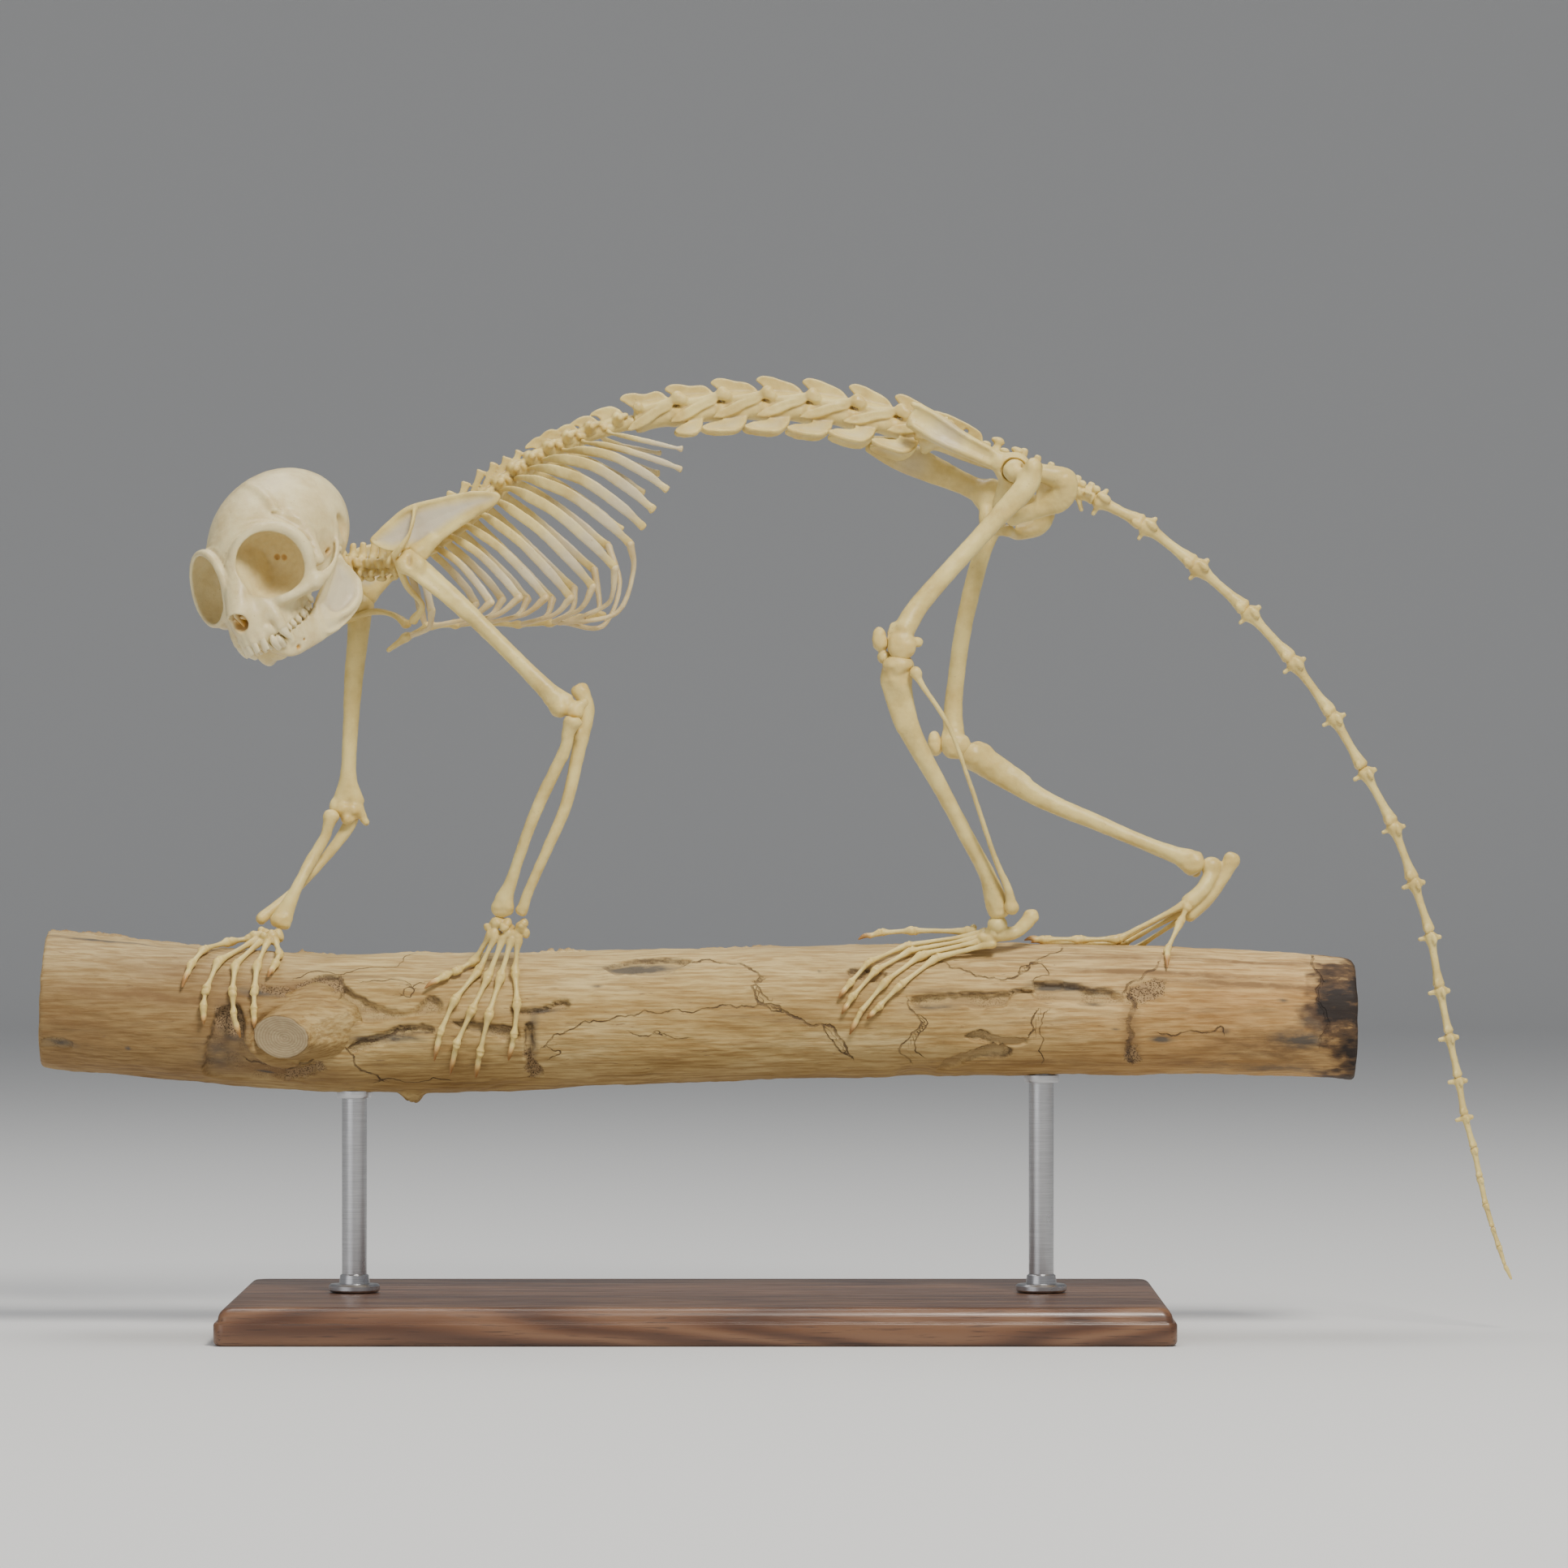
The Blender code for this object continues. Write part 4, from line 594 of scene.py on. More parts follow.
def makeJaw():
    # Rods from the chin back along each side, and a thin plate up to each jaw joint
    field = makeField((-34, -20, -37), (16, 23, -7), skullFrame["cell"], headPlace())
    m = skullFrame["middle"]
    rod(field, ((8.0, m, -22.6, 3.6, 1.9), (5.4, m, -24.8, 4.3, 2.3), (2.4, m, -27.6, 4.6, 3.0)),
        blend=0.5)
    for s in (1, -1):
        limb, lump, side = onSide(field, s)
        limb(((6.8, 4.2, -24.2, 2.0, 2.2), (4.6, 5.2, -25.9, 2.2, 3.4),
            (2.0, 6.6, -27.1, 2.2, 4.1), (-1.5, 8.4, -27.4, 2.2, 4.3),
            (-7, 10.8, -27.5, 2.0, 4.6), (-13, 13.4, -27.2, 1.5, 4.7)), blend=1.6)
        blade(field, sided(((-11, 12.2, -21), (-9, 11.8, -25), (-9, 11.9, -30.6),
            (-14.5, 14.9, -31.9), (-20.2, 17, -31.0), (-25, 17.9, -29), (-27.6, 18, -26.4),
            (-29.4, 18, -22.6), (-28.8, 18, -18), (-27.4, 17.6, -13.4), (-24.2, 17.2, -13.2),
            (-20.6, 16, -15.8), (-15.2, 13.8, -19.1)), s), 1.2, (0.25, s, 0), blend=1.6, rim=0.35,
            dish=-0.9 * s, thin=0.55)
        limb(((-12, 13.2, -27.6, 1.3), (-18, 16.6, -28.8, 1.1), (-24.6, 18.2, -27.4, 0.9),
            (-28.6, 18.4, -23.4, 0.6)), blend=1.8)
        limb(((-27.6, 17.6, -14, 1.0), (-28, 17.2, -11.6, 1.2)), blend=1.4)
        limb(((-28, 18.8, -11, 1.2), (-28, 15.6, -11, 1.2)), side=(0, 0, 1))
        limb(((-14, 13.6, -20.4, 0.9), (-20, 16, -16.4, 0.8), (-23.6, 17.0, -13.8, 0.7)),
            blend=1.4)
        for f, l, u, size in ((2.1, 9.2, -29.1, 0.8), (-0.6, 10.4, -28.0, 0.45)):
            lump((f, l, u), (size, 1.3, size), blend=0.3, carving=True)
            # painted shade inside each small opening
            tint(field, side((f, l - 0.8, u)), size * 1.3, 0.9, "hollow")
        for f, l in ((3.4, 8.4), (0.4, 9.2), (-2.6, 10.0), (-6, 10.9), (-9.6, 11.6)):
            limb(((f, l, -26.0, 1.2), (f, l + 0.3, -23.6, 1.3)), blend=1.2)
        for f, l in ((8.8, 3.0), (7.8, 5.2)):
            limb(((f - 2.6, l, -25.6, 0.8), (f - 0.4, l, -23.4, 1.0)))
    tint(field, (8, m, -25), 7, 0.4)
    return bonePiece("jaw", field, ("mandible",), skullBone, even=0.8)


def makeTeeth():
    # Each tooth is a short rod that tapers, and the cheek teeth get four cusps
    field = makeField((-18, -14, -29), (18, 16, -14), 0.26, headPlace())
    for s in (1, -1):
        limb = onSide(field, s)[0]
        limb(((6.3, 9.8, -18.4, 1.75), (6.6, 10.3, -21.2, 1.5), (6.4, 10.7, -23.6, 0.85),
            (6.1, 10.8, -25.2, 0.25)), blend=0.2, spacing=0.8)
        for f, l, u, size in teeth["cheek"]:
            big = size > 1.25
            limb(((f, l - 0.4, u + 1.6, size * 0.8, size * 0.8),
                (f, l - 0.1, u + 0.4, size, size * 1.1), (f, l, u - 0.7, size, size * 1.05)),
                side=(1, 0, 0), blend=0.25, cap=0.45, spacing=0.7)
            for df, dl in ((-0.5, 0.45), (0.5, 0.45), (-0.5, -0.8), (0.5, -0.8)):
                place = (f + df * size * big, l + dl * size, u - 0.8, 0.62 * size)
                limb((place, (place[0], place[1], u - 1.4, 0.4 * size)), blend=0.5, spacing=0.7)
            limb(((f + 0.3, l - 1.9, u - 4.4, size * 0.8),
                (f + 0.3, l - 1.8, u - 2.9, size * 0.85),
                (f + 0.2, l - 1.6, u - 2.2, size * 0.5)), blend=0.3, cap=0.6, spacing=0.7)
        for f, l, u, wide, long in teeth["upperFront"]:
            limb(((f - 0.8, l, u + 1.6, wide * 0.7, 0.9), (f, l, u - 0.8, wide * 0.95, 0.85),
                (f + 0.5, l, u - long, wide, 0.4)), blend=0.1, cap=0.7, spacing=0.7)
        for f, l, u, wide, long in teeth["lowerFront"]:
            limb(((f - 0.7, l, u - 0.6, wide * 0.8, 0.8), (f + 0.4, l, u + long * 0.6, wide, 0.7),
                (f + 0.7, l, u + long, wide, 0.35)), blend=0.1, cap=0.7, spacing=0.7)
        limb(((8.0, 6.3, -25.2, 1.2), (9.3, 6.9, -22.6, 1.25), (9.0, 7.0, -20.9, 0.6)), blend=0.2,
            spacing=0.8)
        limb(((6.6, 7.6, -25.4, 1.1), (7.8, 8.0, -23.4, 1.2), (7.8, 8.0, -22.0, 0.6)), blend=0.2,
            spacing=0.8)
    return bonePiece("teeth", field, (), enamel, even=0.3)


makeSkull()
makeJaw()
makeTeeth()


# Backbone: its centre line from the skull to the first free tail bone
skew = -0.24            # how far the right side stands ahead of the left, for each mm between
spineLine = smoothPath(((-120, -1, 245.5, 1, 1), (-106.5, -2, 243.5, 1, 1),
    (-93.5, -2, 245.5, 1, 1), (-74, -2, 259, 1, 1), (-53.5, 0, 277, 1, 1), (-31, 1, 288, 1, 1),
    (-5, 2, 293.5, 1, 1), (22, 3, 295, 1, 1), (49.5, 4, 292.5, 1, 1), (75.5, 4, 286, 1, 1),
    (104, 4.5, 275.5, 1, 1), (127.5, 3, 266.5, 1, 1)), 2)[:, :3]


def spineAt(x):
    # Place on the centre line at x, in a straight line between its points
    return np.array([np.interp(x, spineLine[:, 0], spineLine[:, k]) for k in range(3)])


def spineFrame(x, start=None):
    # Directions to the tail, to the right and to the back at x, and the place that lies so far
    # along each of them from the centre line or from another start
    place = spineAt(x)
    along = unit(spineAt(x + 1) - place)
    aside = np.array((skew, 1, 0))
    aside = unit(aside - (aside @ along) * along)
    axes = (along, aside, np.cross(along, aside))
    start = place if start is None else start

    def at(p, q, r):
        return start + p * axes[0] + q * axes[1] + r * axes[2]
    return at, axes


def spool(field, a, b, wide, deep, aside, waist=0.8, gap=0.25):
    # Body of a vertebra: a waisted drum with rims at its ends
    a, b = np.asarray(a, float), np.asarray(b, float)
    way = unit(b - a)
    length = np.linalg.norm(b - a)
    rows = [(*(a + way * (gap + (length - 2 * gap) * t)), wide * s, deep * s) for t,
        s in ((0, 0.94), (0.10, 1.0), (0.3, waist + 0.05), (0.5, waist), (0.7, waist + 0.05),
        (0.90, 1.0), (1, 0.94))]
    rod(field, rows, side=aside, blend=0.4, cap=0.2, spacing=0.8)


neck = {"ends": (-119.5, -95.3), "count": 7, "cell": 0.30}


def makeNeck():
    # Each bone is a spool along the line, with an arch, a spine and two side prongs
    field = makeField((-125, -13, 233), (-91, 11, 262), neck["cell"])
    joints = np.linspace(*neck["ends"], neck["count"] + 1)
    for i in range(neck["count"]):
        at, axes = spineFrame((joints[i] + joints[i + 1]) / 2)
        along, aside, back = axes
        a, b = spineAt(joints[i]), spineAt(joints[i + 1])
        spool(field, a, b, 3.0, 2.2, aside, 0.86)
        blob(field, (a + b) / 2, (1.9, 2.3, 1.6), axes, blend=0.4)
        rod(field, [(*at(0, q, r), 1.0, 1.3) for q, r in ((-2.9, 1.2), (-2.2, 3.2), (0, 4.2),
            (2.2, 3.2), (2.9, 1.2))], side=back, blend=0.7)
        tip = at(0.4 * i - 1.2, 0, 6.0 + 0.75 * i)
        rod(field, ((*at(0, 0, 3.6), 0.8, 1.3), (*tip, 0.55 + 0.06 * i, 0.65 + 0.12 * i)),
            side=aside, blend=0.7)
        tint(field, tip, 1.2, 0.4)
        reach = 5.6 if i else 7.0
        for s in (-1, 1):
            rod(field, ((*at(0, s * 2.4, -0.2), 1.1, 0.8), (*at(-0.3, s * reach, -1.6), 0.8,
                1.1)), side=along)
            blob(field, at(-1.0, s * (reach - 1.6), -2.9), (1.5, 1.0, 0.9), axes, blend=0.6)
            blob(field, at(1.6, s * 3.5, 2.2), (1.3, 1.4, 1.4), axes, blend=0.4)
            blob(field, at(-1.4, s * 3.6, 1.6), (1.1, 1.2, 1.2), axes, blend=0.4)
            tint(field, at(0, s * 4, 2), 1.8, 0.6)
        if i:
            # painted shade in the gap to the bone before
            tint(field, a, 1.6, 0.25, "hollow")
    return bonePiece("neck", field, ("cervical_spine",))


thorax = {
    "x": (-91.5, -86.5, -81.6, -76.8, -72, -67.2, -62.5, -57.8, -52.6, -47.2, -41, -34.2, -25.8),
    "ends": (-94.6, -20.2), "cell": 0.34,
    # tips of the spines, x and height
    "tips": ((-88.5, 258), (-83.5, 264), (-78.7, 268.3), (-74, 271.4), (-69.2, 275.2),
        (-65, 277.4), (-61, 279.4), (-57, 281.4), (-53, 283.4), (-48.7, 286), (-43.8, 287.6),
        (-38.3, 290.4), (-31.8, 293.4)),
    "firstLeaf": 8,
    # per rib: start ahead of its vertebra and under the centre line, height of the arch, depth
    "ribAhead": (-1, -1, -1, -1, -1, -1, -0.5, 0.5, 1.5, 3.0, 2.4, 3.0, 3.0),
    "ribUnder": (-1.5, -1.5, -1.5, -1.5, -1.5, -1.2, -0.5, 0.5, 1.5, 2.3, 2.7, 2.6, 2.4),
    "ribArch": (3, 3, 3, 3, 3, 3.3, 3.8, 4.3, 4.8, 5.2, 4.0, 1.0, -0.2),
    "ribDeep": (0.97, 0.97, 0.97, 0.97, 0.97, 0.97, 0.97, 0.97, 0.97, 0.94, 0.84, 0.6, 0.45),
    # costal ends of the ribs: x, z, and how far out they stand
    "ribEnds": ((-85, 230, 8), (-66, 233, 12), (-57, 234.5, 13), (-48.5, 234.5, 14),
        (-40.5, 234.5, 14), (-33.5, 238, 14), (-26.5, 244, 15), (-21.5, 251.5, 16),
        (-17, 256.5, 16), (-14, 262, 17), (-9.5, 268.5, 17), (-5, 275, 16), (-5, 281.5, 15)),
}


def makeThoracicSpine():
    # Spools with arches and side prongs; the spines are rods first and leaves further back
    field = makeField((-98, -9, 240), (-19, 9, 297), thorax["cell"])
    xs = np.array(thorax["x"])
    edges = np.array((thorax["ends"][0], *((xs[:-1] + xs[1:]) / 2), thorax["ends"][1]))
    rod(field, [(*spineFrame(x)[0](0, 0, 2.0), 2.2, 1.3) for x in xs], blend=0.6, cap=0.4)
    for i, x in enumerate(xs):
        a, b = spineAt(edges[i]), spineAt(edges[i + 1])
        middle = (a + b) / 2
        at, axes = spineFrame(x, middle)
        along, aside, back = axes
        spool(field, a, b, 2.7, 2.4, aside, 0.84)
        rod(field, [(*at(0, q, r), 1.2, 1.5) for q, r in ((-2.4, 1.2), (-1.9, 2.8), (0, 3.6),
            (1.9, 2.8), (2.4, 1.2))], side=back, blend=0.7)
        tx, tz = thorax["tips"][i]
        tip = np.array((tx, middle[1] + (tx - middle[0]) * 0.02, tz))
        if i < thorax["firstLeaf"]:
            root = at(0.4, 0, 3.2)
            way = tip - root
            rod(field, ((*root, 0.9, 1.65), (*(root + way * 0.35), 0.6, 1.035),
                (*(root + way * 0.8), 0.55, 1.15), (*(tip - unit(way) * 0.5), 0.7, 1.55),
                (*tip, 0.65, 1.6)), side=aside, cap=0.25)
        else:
            half, high = np.linalg.norm(b - a) / 2, (tip - middle) @ back
            lean, long = (tip - middle) @ along, half * 1.7
            leaf = ((half + 0.2, 2.4), (lean + long * 0.95, high - 2.8),
                (lean + long * 0.8, high - 0.3), (lean + long * 0.5, high + 1.5),
                (lean + 0.2, high + 1.6), (lean - 2.4, high + 0.9), (lean - 2.8, high + 0.3),
                (lean - 1.0, high - 0.4), (lean + 0.2, high - 1.8), (1.0 - half, 2.4))
            blade(field, [at(p, 0, r) for p, r in leaf], 0.8, aside, blend=0.35, rim=0.2)
        tint(field, tip, 1.3, 0.35)
        reach = 4.6 + 0.1 * (6 - abs(i - 6))
        for s in (-1, 1):
            rod(field, ((*at(0, s * 2.0, 2.0), 1.2, 1.2), (*at(0.8, s * reach, 2.6), 0.95, 1.15)),
                side=back, blend=1.1)
            blob(field, at(2.2, s * 2.2, 2.9), (1.4, 1.0, 0.9), axes, blend=0.9)
            blob(field, a + aside * s * 2.6 + back * 0.8, (1.0, 0.8, 0.9))
            tint(field, at(0, s * reach, 3), 1.8, 0.6)
            tint(field, a + aside * s * 2.6 + back * 0.9, 1.6, 0.7)
        if i:
            # painted shade in the gap to the bone before
            tint(field, a, 1.3, 0.2, "hollow")
    return bonePiece("thoracicSpine", field, ("rib_cage_left", "rib_cage_right"))


def ribPath(i, s):
    # Rib i from its vertebra out and down to its costal end; s is -1 on the left, 1 on the right
    at, _ = spineFrame(thorax["x"][i])
    ahead, under, arch, deepness = (thorax[key][i]
        for key in ("ribAhead", "ribUnder", "ribArch", "ribDeep"))
    endX, endZ, endOut = thorax["ribEnds"][i]
    wide = min(9 + 2.0 * i, 19.5) - 0.9 * max(i - 9, 0)
    rows = [(*at(-1.0 - 0.8 * max(ahead, 0), s * 2.6, -0.4 * under), 0.8, 0.9)]
    startX, _, startZ = at(0, 0, 0) - (ahead, 0, under)
    grow = 0.12 * min(i, 6)
    for t, out, deep in ((0.06, 0.42, 1.0), (0.22, 0.80, 1.15 + grow), (0.5, 1.0, 1.15 + grow),
            (0.8, 0.96, 1.3 + grow * 0.7), (0.93, 0.384, 1.35), (1.0, 0.0, 1.5)):
        w = out * wide + {0.93: 0.6, 1.0: 1.0}.get(t, 0) * endOut
        shift = skew * 2 * w if s > 0 else 0.0
        size = deepness if t < 1 else max(deepness, 0.75)
        rows.append((startX + (endX - startX) * t + shift, s * w, startZ + (endZ - startZ) * t
            + arch * math.sin(math.pi * t), 0.62, deep * size))
    return rows


def makeRibs(name, s):
    # Thirteen rods along the rib paths, tinted at both ends and in the thin middle
    field = makeField((-104, 0 if s > 0 else -23, 222), (0, 23 if s > 0 else 0, 296),
        thorax["cell"])
    for i in range(13):
        rows = ribPath(i, s)
        rod(field, rows, side=(0, 1, 0.2), blend=0.15, cap=0.35, spacing=1.8)
        tint(field, rows[-1][:3], 2.0, 0.6)
        tint(field, rows[0][:3], 2.4, 0.6)
        middle = np.array(rows[4][:3])
        tint(field, middle, 7.0, 0.6, "thin")
        tint(field, np.array(rows[3][:3]) * 0.6 + middle * 0.4, 5.0, 0.4, "thin")
    return bonePiece(name, field, ())


sternum = {
    "line": ((-93.5, 222), (-86, 225.5), (-77.5, 226), (-68, 226.5), (-57.5, 226), (-47.5, 226.5),
        (-37.5, 228), (-31, 229)),
    "margin": {6: (8, -27, 11, (-30, 7, 231.5)), 7: (9, -20.5, 11, (-26, 7, 229.5))},
    "gristle": 0.78, "cell": 0.32,
}


def makeSternum():
    # A row of rods that get narrower towards the tail, with an oval at each joint
    field = makeField((-100, -19, 216), (-12, 19, 256), sternum["cell"])
    line = sternum["line"]
    for i, (x, z) in enumerate(line):
        size = 3.4 if i == 0 else 2.4 - 0.12 * i
        blob(field, (x, 0, z), (1.7, size, 1.5))
        if i < len(line) - 1:
            nx, nz = line[i + 1]
            rod(field, ((x + 0.9, 0, z, size * 0.8, 1.0), ((x + nx) / 2, 0, (z + nz) / 2,
                size * 0.6, 0.85), (nx - 0.9, 0, nz, size * 0.8, 1.0)), blend=0.6)
        tint(field, (x, 0, z), 2.6, 0.7)
    rod(field, ((-99, 0, 217.8, 1.5, 0.8), (-93.5, 0, 222, 2.4, 1.2)))
    return bonePiece("sternum", field, ("sternum",))


def makeCartilages():
    # Bent rods from the end of each rib to its place on the breastbone
    field = makeField((-104, -19, 216), (-8, 19, 282), sternum["cell"])
    for s in (-1, 1):
        for i in range(8):
            rows = ribPath(i, s)
            before, end = (np.array(r[:3]) for r in rows[-2:])
            start = end + unit(end - before) * 0.3
            sx, sz = sternum["line"][min(i, 6)]
            if i in sternum["margin"]:
                drop, lowX, lowOut, turn = sternum["margin"][i]
                ahead = np.array((skew * 20, 0, -4)) if s > 0 else np.zeros(3)
                low = np.array((lowX, s * lowOut, end[2] - drop)) + ahead
                turn = np.array(turn) * (1, s, 1) + ahead
                path = [start, low, turn, (sx - 5, s * 2.5, sz - 1.4), (sx - 8, s * 0.5, sz - 0.8)]
            else:
                mid = (start + (sx + 2, s * 4, sz + 0.5)) / 2 + (2.2, s * 1.5, -1.5)
                path = [start, mid, (sx + 0.6, s * 0.6, sz)]
            rod(field, [(*p, sternum["gristle"] + (0.5 if k == 0 else 0.0)) for k,
                p in enumerate(path)], blend=0.3, spacing=1.6)
    return bonePiece("cartilages", field, (), gristle)


# Arms: rows of x, y, z, half width and, where it differs, half depth. Lumps and cuts are a place
# and half sizes, ridges are rows with the side of their width and their blend, joints are a
# place, a radius and a strength.
arms = {
    "humerusLeft": {
        "rows": ((-90, -17, 244.5, 3.7), (-77, -19, 233.5, 2.9), (-61.5, -21, 218.5, 2.5),
            (-48.5, -23, 205.5, 2.9, 2.5), (-42.6, -23.6, 200, 4.2, 2.4)),
        "side": (1, 0, 0.6),
        "lumps": (((-91, -17, 245.5), 4.2), ((-93.4, -19.8, 244.6), (2.4, 2.2, 2.8)),
            ((-88.6, -20.6, 244.4), (2.2, 1.8, 2.4)), ((-43.5, -24.2, 198.6), (2.9, 3.4, 2.8)),
            ((-38.6, -23.4, 197.8), (2.7, 3.2, 2.9)), ((-46.5, -23.4, 201.6), (1.7, 1.8, 1.6)),
            ((-35.8, -23, 200.6), (1.5, 1.6, 1.8))),
        "ridges": ((((-92, -21.2, 242.6, 1.0), (-84, -21.2, 236.4, 0.9), (-74, -21, 228.4, 0.6)),
            (0, 1, 0), 2.2), (((-47, -24, 204.6, 1.1), (-43.5, -24, 201, 1.6),
            (-38, -23.6, 199.6, 1.4)), (0, 1, 0), 1.5)),
        "cuts": (((-41.2, -27.2, 201.4), (1.6, 1.4, 1.4)), ((-41, -20, 201), (2.4, 2.0, 1.8)),
            ((-91.4, -21.6, 246.8), (0.55, 1.4, 2.4))),
        "joints": (((-91, -18, 246), 4.6, 0.5), ((-41, -24, 197.4), 5, 0.55))},
    "humerusRight": {
        "rows": ((-109, 17.3, 232, 4.0), (-110, 18, 221, 3.4), (-111.3, 18, 208, 3.0),
            (-112.3, 18, 192, 2.5), (-113, 18, 178, 2.6), (-113, 18, 169.5, 5.2, 2.4)),
        "side": (1, 0, 0),
        "lumps": (((-109, 17, 233), 4.2), ((-111.5, 15, 231.8), (2.2, 2.0, 2.4)),
            ((-115, 17.4, 166.6), (2.7, 3.0, 2.5)), ((-110.6, 17.8, 166.4), (2.6, 3.0, 2.5)),
            ((-112.8, 17.6, 167.2), (3.4, 3.0, 2.4)), ((-117.6, 17.6, 167.6), (1.5, 1.6, 2.3)),
            ((-113.2, 16.6, 163.6), (2.2, 2.4, 2.0))),
        "ridges": ((((-112.4, 17.8, 171, 1.6), (-109.4, 17.8, 166.6, 1.4),
            (-107.2, 17.6, 162.6, 1.2)), (0, 1, 0), 1.2),),
        "cuts": (((-112.6, 14.2, 169.6), (1.7, 1.5, 1.5)),),
        "joints": (((-109, 17, 233), 4.6, 0.4), ((-112.6, 16.6, 164.6), 5.0, 0.8))},
    "ulnaLeft": {
        "rows": ((-37, -21, 205, 2.3), (-35.2, -21, 198, 3.0, 2.6), (-37.5, -22, 186, 2.2),
            (-41.5, -22, 168.5, 1.9), (-47, -21, 155.5, 1.7), (-53.5, -18.8, 141, 1.6),
            (-55.8, -17.5, 134.5, 2.0)),
        "lumps": (((-37.0, -21, 204.2), (2.9, 2.5, 2.2)), ((-38.4, -22.6, 190.6), 2.2)),
        "cuts": (((-41, -23, 197.8), (4.1, 4.6, 3.6)),),
        "joints": (((-36.6, -21, 206), 3.0, 0.7), ((-55.8, -17.5, 134.5), 3, 0.6))},
    "ulnaRight": {
        "rows": ((-110.6, 20.6, 170, 2.0), (-112, 20.4, 164, 2.3), (-114, 19.6, 159.6, 2),
            (-120, 18, 151.6, 1.6), (-129.5, 13, 141, 1.5), (-140.5, 7, 131.5, 1.9)),
        "lumps": (((-110.4, 21, 169.2), (2.2, 2.2, 2.6)),),
        "joints": (((-111, 20, 170), 3, 0.6), ((-140.5, 7, 131.5), 3, 0.6))},
    "radiusLeft": {
        "rows": ((-39.4, -27, 194.8, 2.6), (-40.8, -26.4, 191, 2.1), (-42, -26, 185.5, 1.9),
            (-49, -24, 171, 2.0), (-54, -22, 159, 1.8), (-59, -18.5, 144.5, 1.9),
            (-61.5, -17, 138, 3.0, 2.6), (-62, -16.4, 134.6, 3.4, 2.6)),
        "side": (1, 0, 0),
        "lumps": (((-39.4, -27, 194.4), (2.8, 2.4, 1.5)), ((-42.6, -25.4, 184.2),
            (1.3, 1.2, 1.6)), ((-62, -16.6, 135.8), (3.3, 2.6, 1.8))),
        "cuts": (((-39.2, -27.2, 196.4), (1.7, 1.6, 0.8)),),
        "joints": (((-39.4, -27, 194.6), 2.6, 0.6), ((-62, -16.6, 135), 3.6, 0.7))},
    "radiusRight": {
        "rows": ((-118.2, 14.8, 164.8, 2.3), (-119.4, 14.6, 160.8, 1.8),
            (-120.4, 14.4, 157.5, 1.7), (-124.5, 12.5, 150.5, 1.9), (-129, 8, 141.5, 1.8),
            (-133, 5.8, 132.8, 3.0, 2.4), (-134, 5, 130.2, 3.3, 2.4)),
        "side": (1, 0.2, 0),
        "lumps": (((-118.2, 14.8, 164.4), (2.5, 2.2, 1.6)), ((-134, 5.2, 131.4),
            (3.3, 2.5, 1.9))),
        "joints": (((-118.2, 14.8, 164.4), 2.6, 0.6), ((-134, 5, 131), 3.6, 0.7))},
}
collarBones = {
    "clavicleLeft": ((-96.3, -15.5, 247.3, 1.6, 1.1), (-92.5, -12.5, 238, 1.1),
        (-87.8, -10, 232, 0.9), (-91, -4.5, 227, 1.5)),
    "clavicleRight": ((-114, 14, 227.5, 1.6, 1.1), (-105, 12, 230.3, 1.1), (-98, 8, 229.3, 0.9),
        (-93.5, 4, 226, 1.5)),
}
shoulder = {
    "outline": ((-87.5, 17, 249.5), (-79, 17, 256), (-71, 17, 261), (-65, 17.5, 263.5),
        (-63, 17.5, 266.5), (-68, 17.5, 267.8), (-79, 17, 266), (-91, 16, 263), (-98, 15, 258),
        (-104, 14.5, 252.5), (-98, 15.5, 249), (-92, 17, 250)),
    "rightShift": (-18, 0, -12.5), "cell": 0.33,
}


def makeScapula(name, s):
    # A thin dished plate in an outline, with rods for its border, neck, spine and hook
    shift = np.array(shoulder["rightShift"]) if s > 0 else np.zeros(3)

    def moved(*rows):
        return [(*(np.array(r[:3]) * (1, s, 1) + shift), *r[3:]) for r in rows]
    low = np.array((-108, 11 if s > 0 else -24, 242)) + shift
    high = np.array((-59, 24 if s > 0 else -11, 271)) + shift
    field = makeField(low, high, shoulder["cell"])
    blade(field, moved(*shoulder["outline"]), 0.9, (0, 1, 0), blend=0.5, rim=0.25, dish=s * -0.8,
        thin=0.8)
    # thick lower border, neck with the shallow socket, spine that ends over the arm, small hook
    for rows, side, blend in ((((-63.6, 17.4, 266.2, 0.9), (-66, 17.3, 263.8, 1.2),
            (-74, 17, 258.8, 1.1), (-81, 17, 254, 1.2), (-86.5, 17, 250, 1.8),
            (-88.6, 17, 248.2, 2.6)), (0, 1, 0), 1.2), (((-84, 17, 253, 1.3, 2.0),
            (-88.3, 17, 248.6, 2.4, 3.0)), (0, 1, 0), 1.6), (((-90, 16.6, 262.6, 0.5, 0.5),
            (-90.4, 18.6, 258.5, 0.55, 1.5), (-91.6, 20.2, 254, 0.6, 1.7),
            (-94, 20.8, 250.4, 0.9, 1.7), (-96.2, 19.6, 247.6, 1.2, 1.6)), (1, 0, 0), 1.4),
            (((-93, 16, 250, 1.0), (-97, 14.2, 248.4, 0.9), (-98.4, 14, 245.6, 0.8)), (0, 1, 0),
            0.8), (((-64, 17.5, 267, 0.7), (-72, 17.3, 267.4, 0.6), (-84, 16.6, 265, 0.6),
            (-92, 16, 262.4, 0.9), (-98.6, 15, 257.6, 0.7), (-103.6, 14.5, 252.4, 0.7)),
            (0, 1, 0), 0.7)):
        rod(field, moved(*rows), side=side, blend=blend)
    place = np.array(moved((-89.6, 17, 246.6))[0])
    blob(field, place, (3.0, 2.4, 1.4), (unit((1, 0, 0.8)), (0, 1, 0), unit((-0.8, 0, 1))),
        blend=0.5, carving=True)
    tint(field, place, 3.6, 0.5)
    return bonePiece(name, field, (cadName(name),))


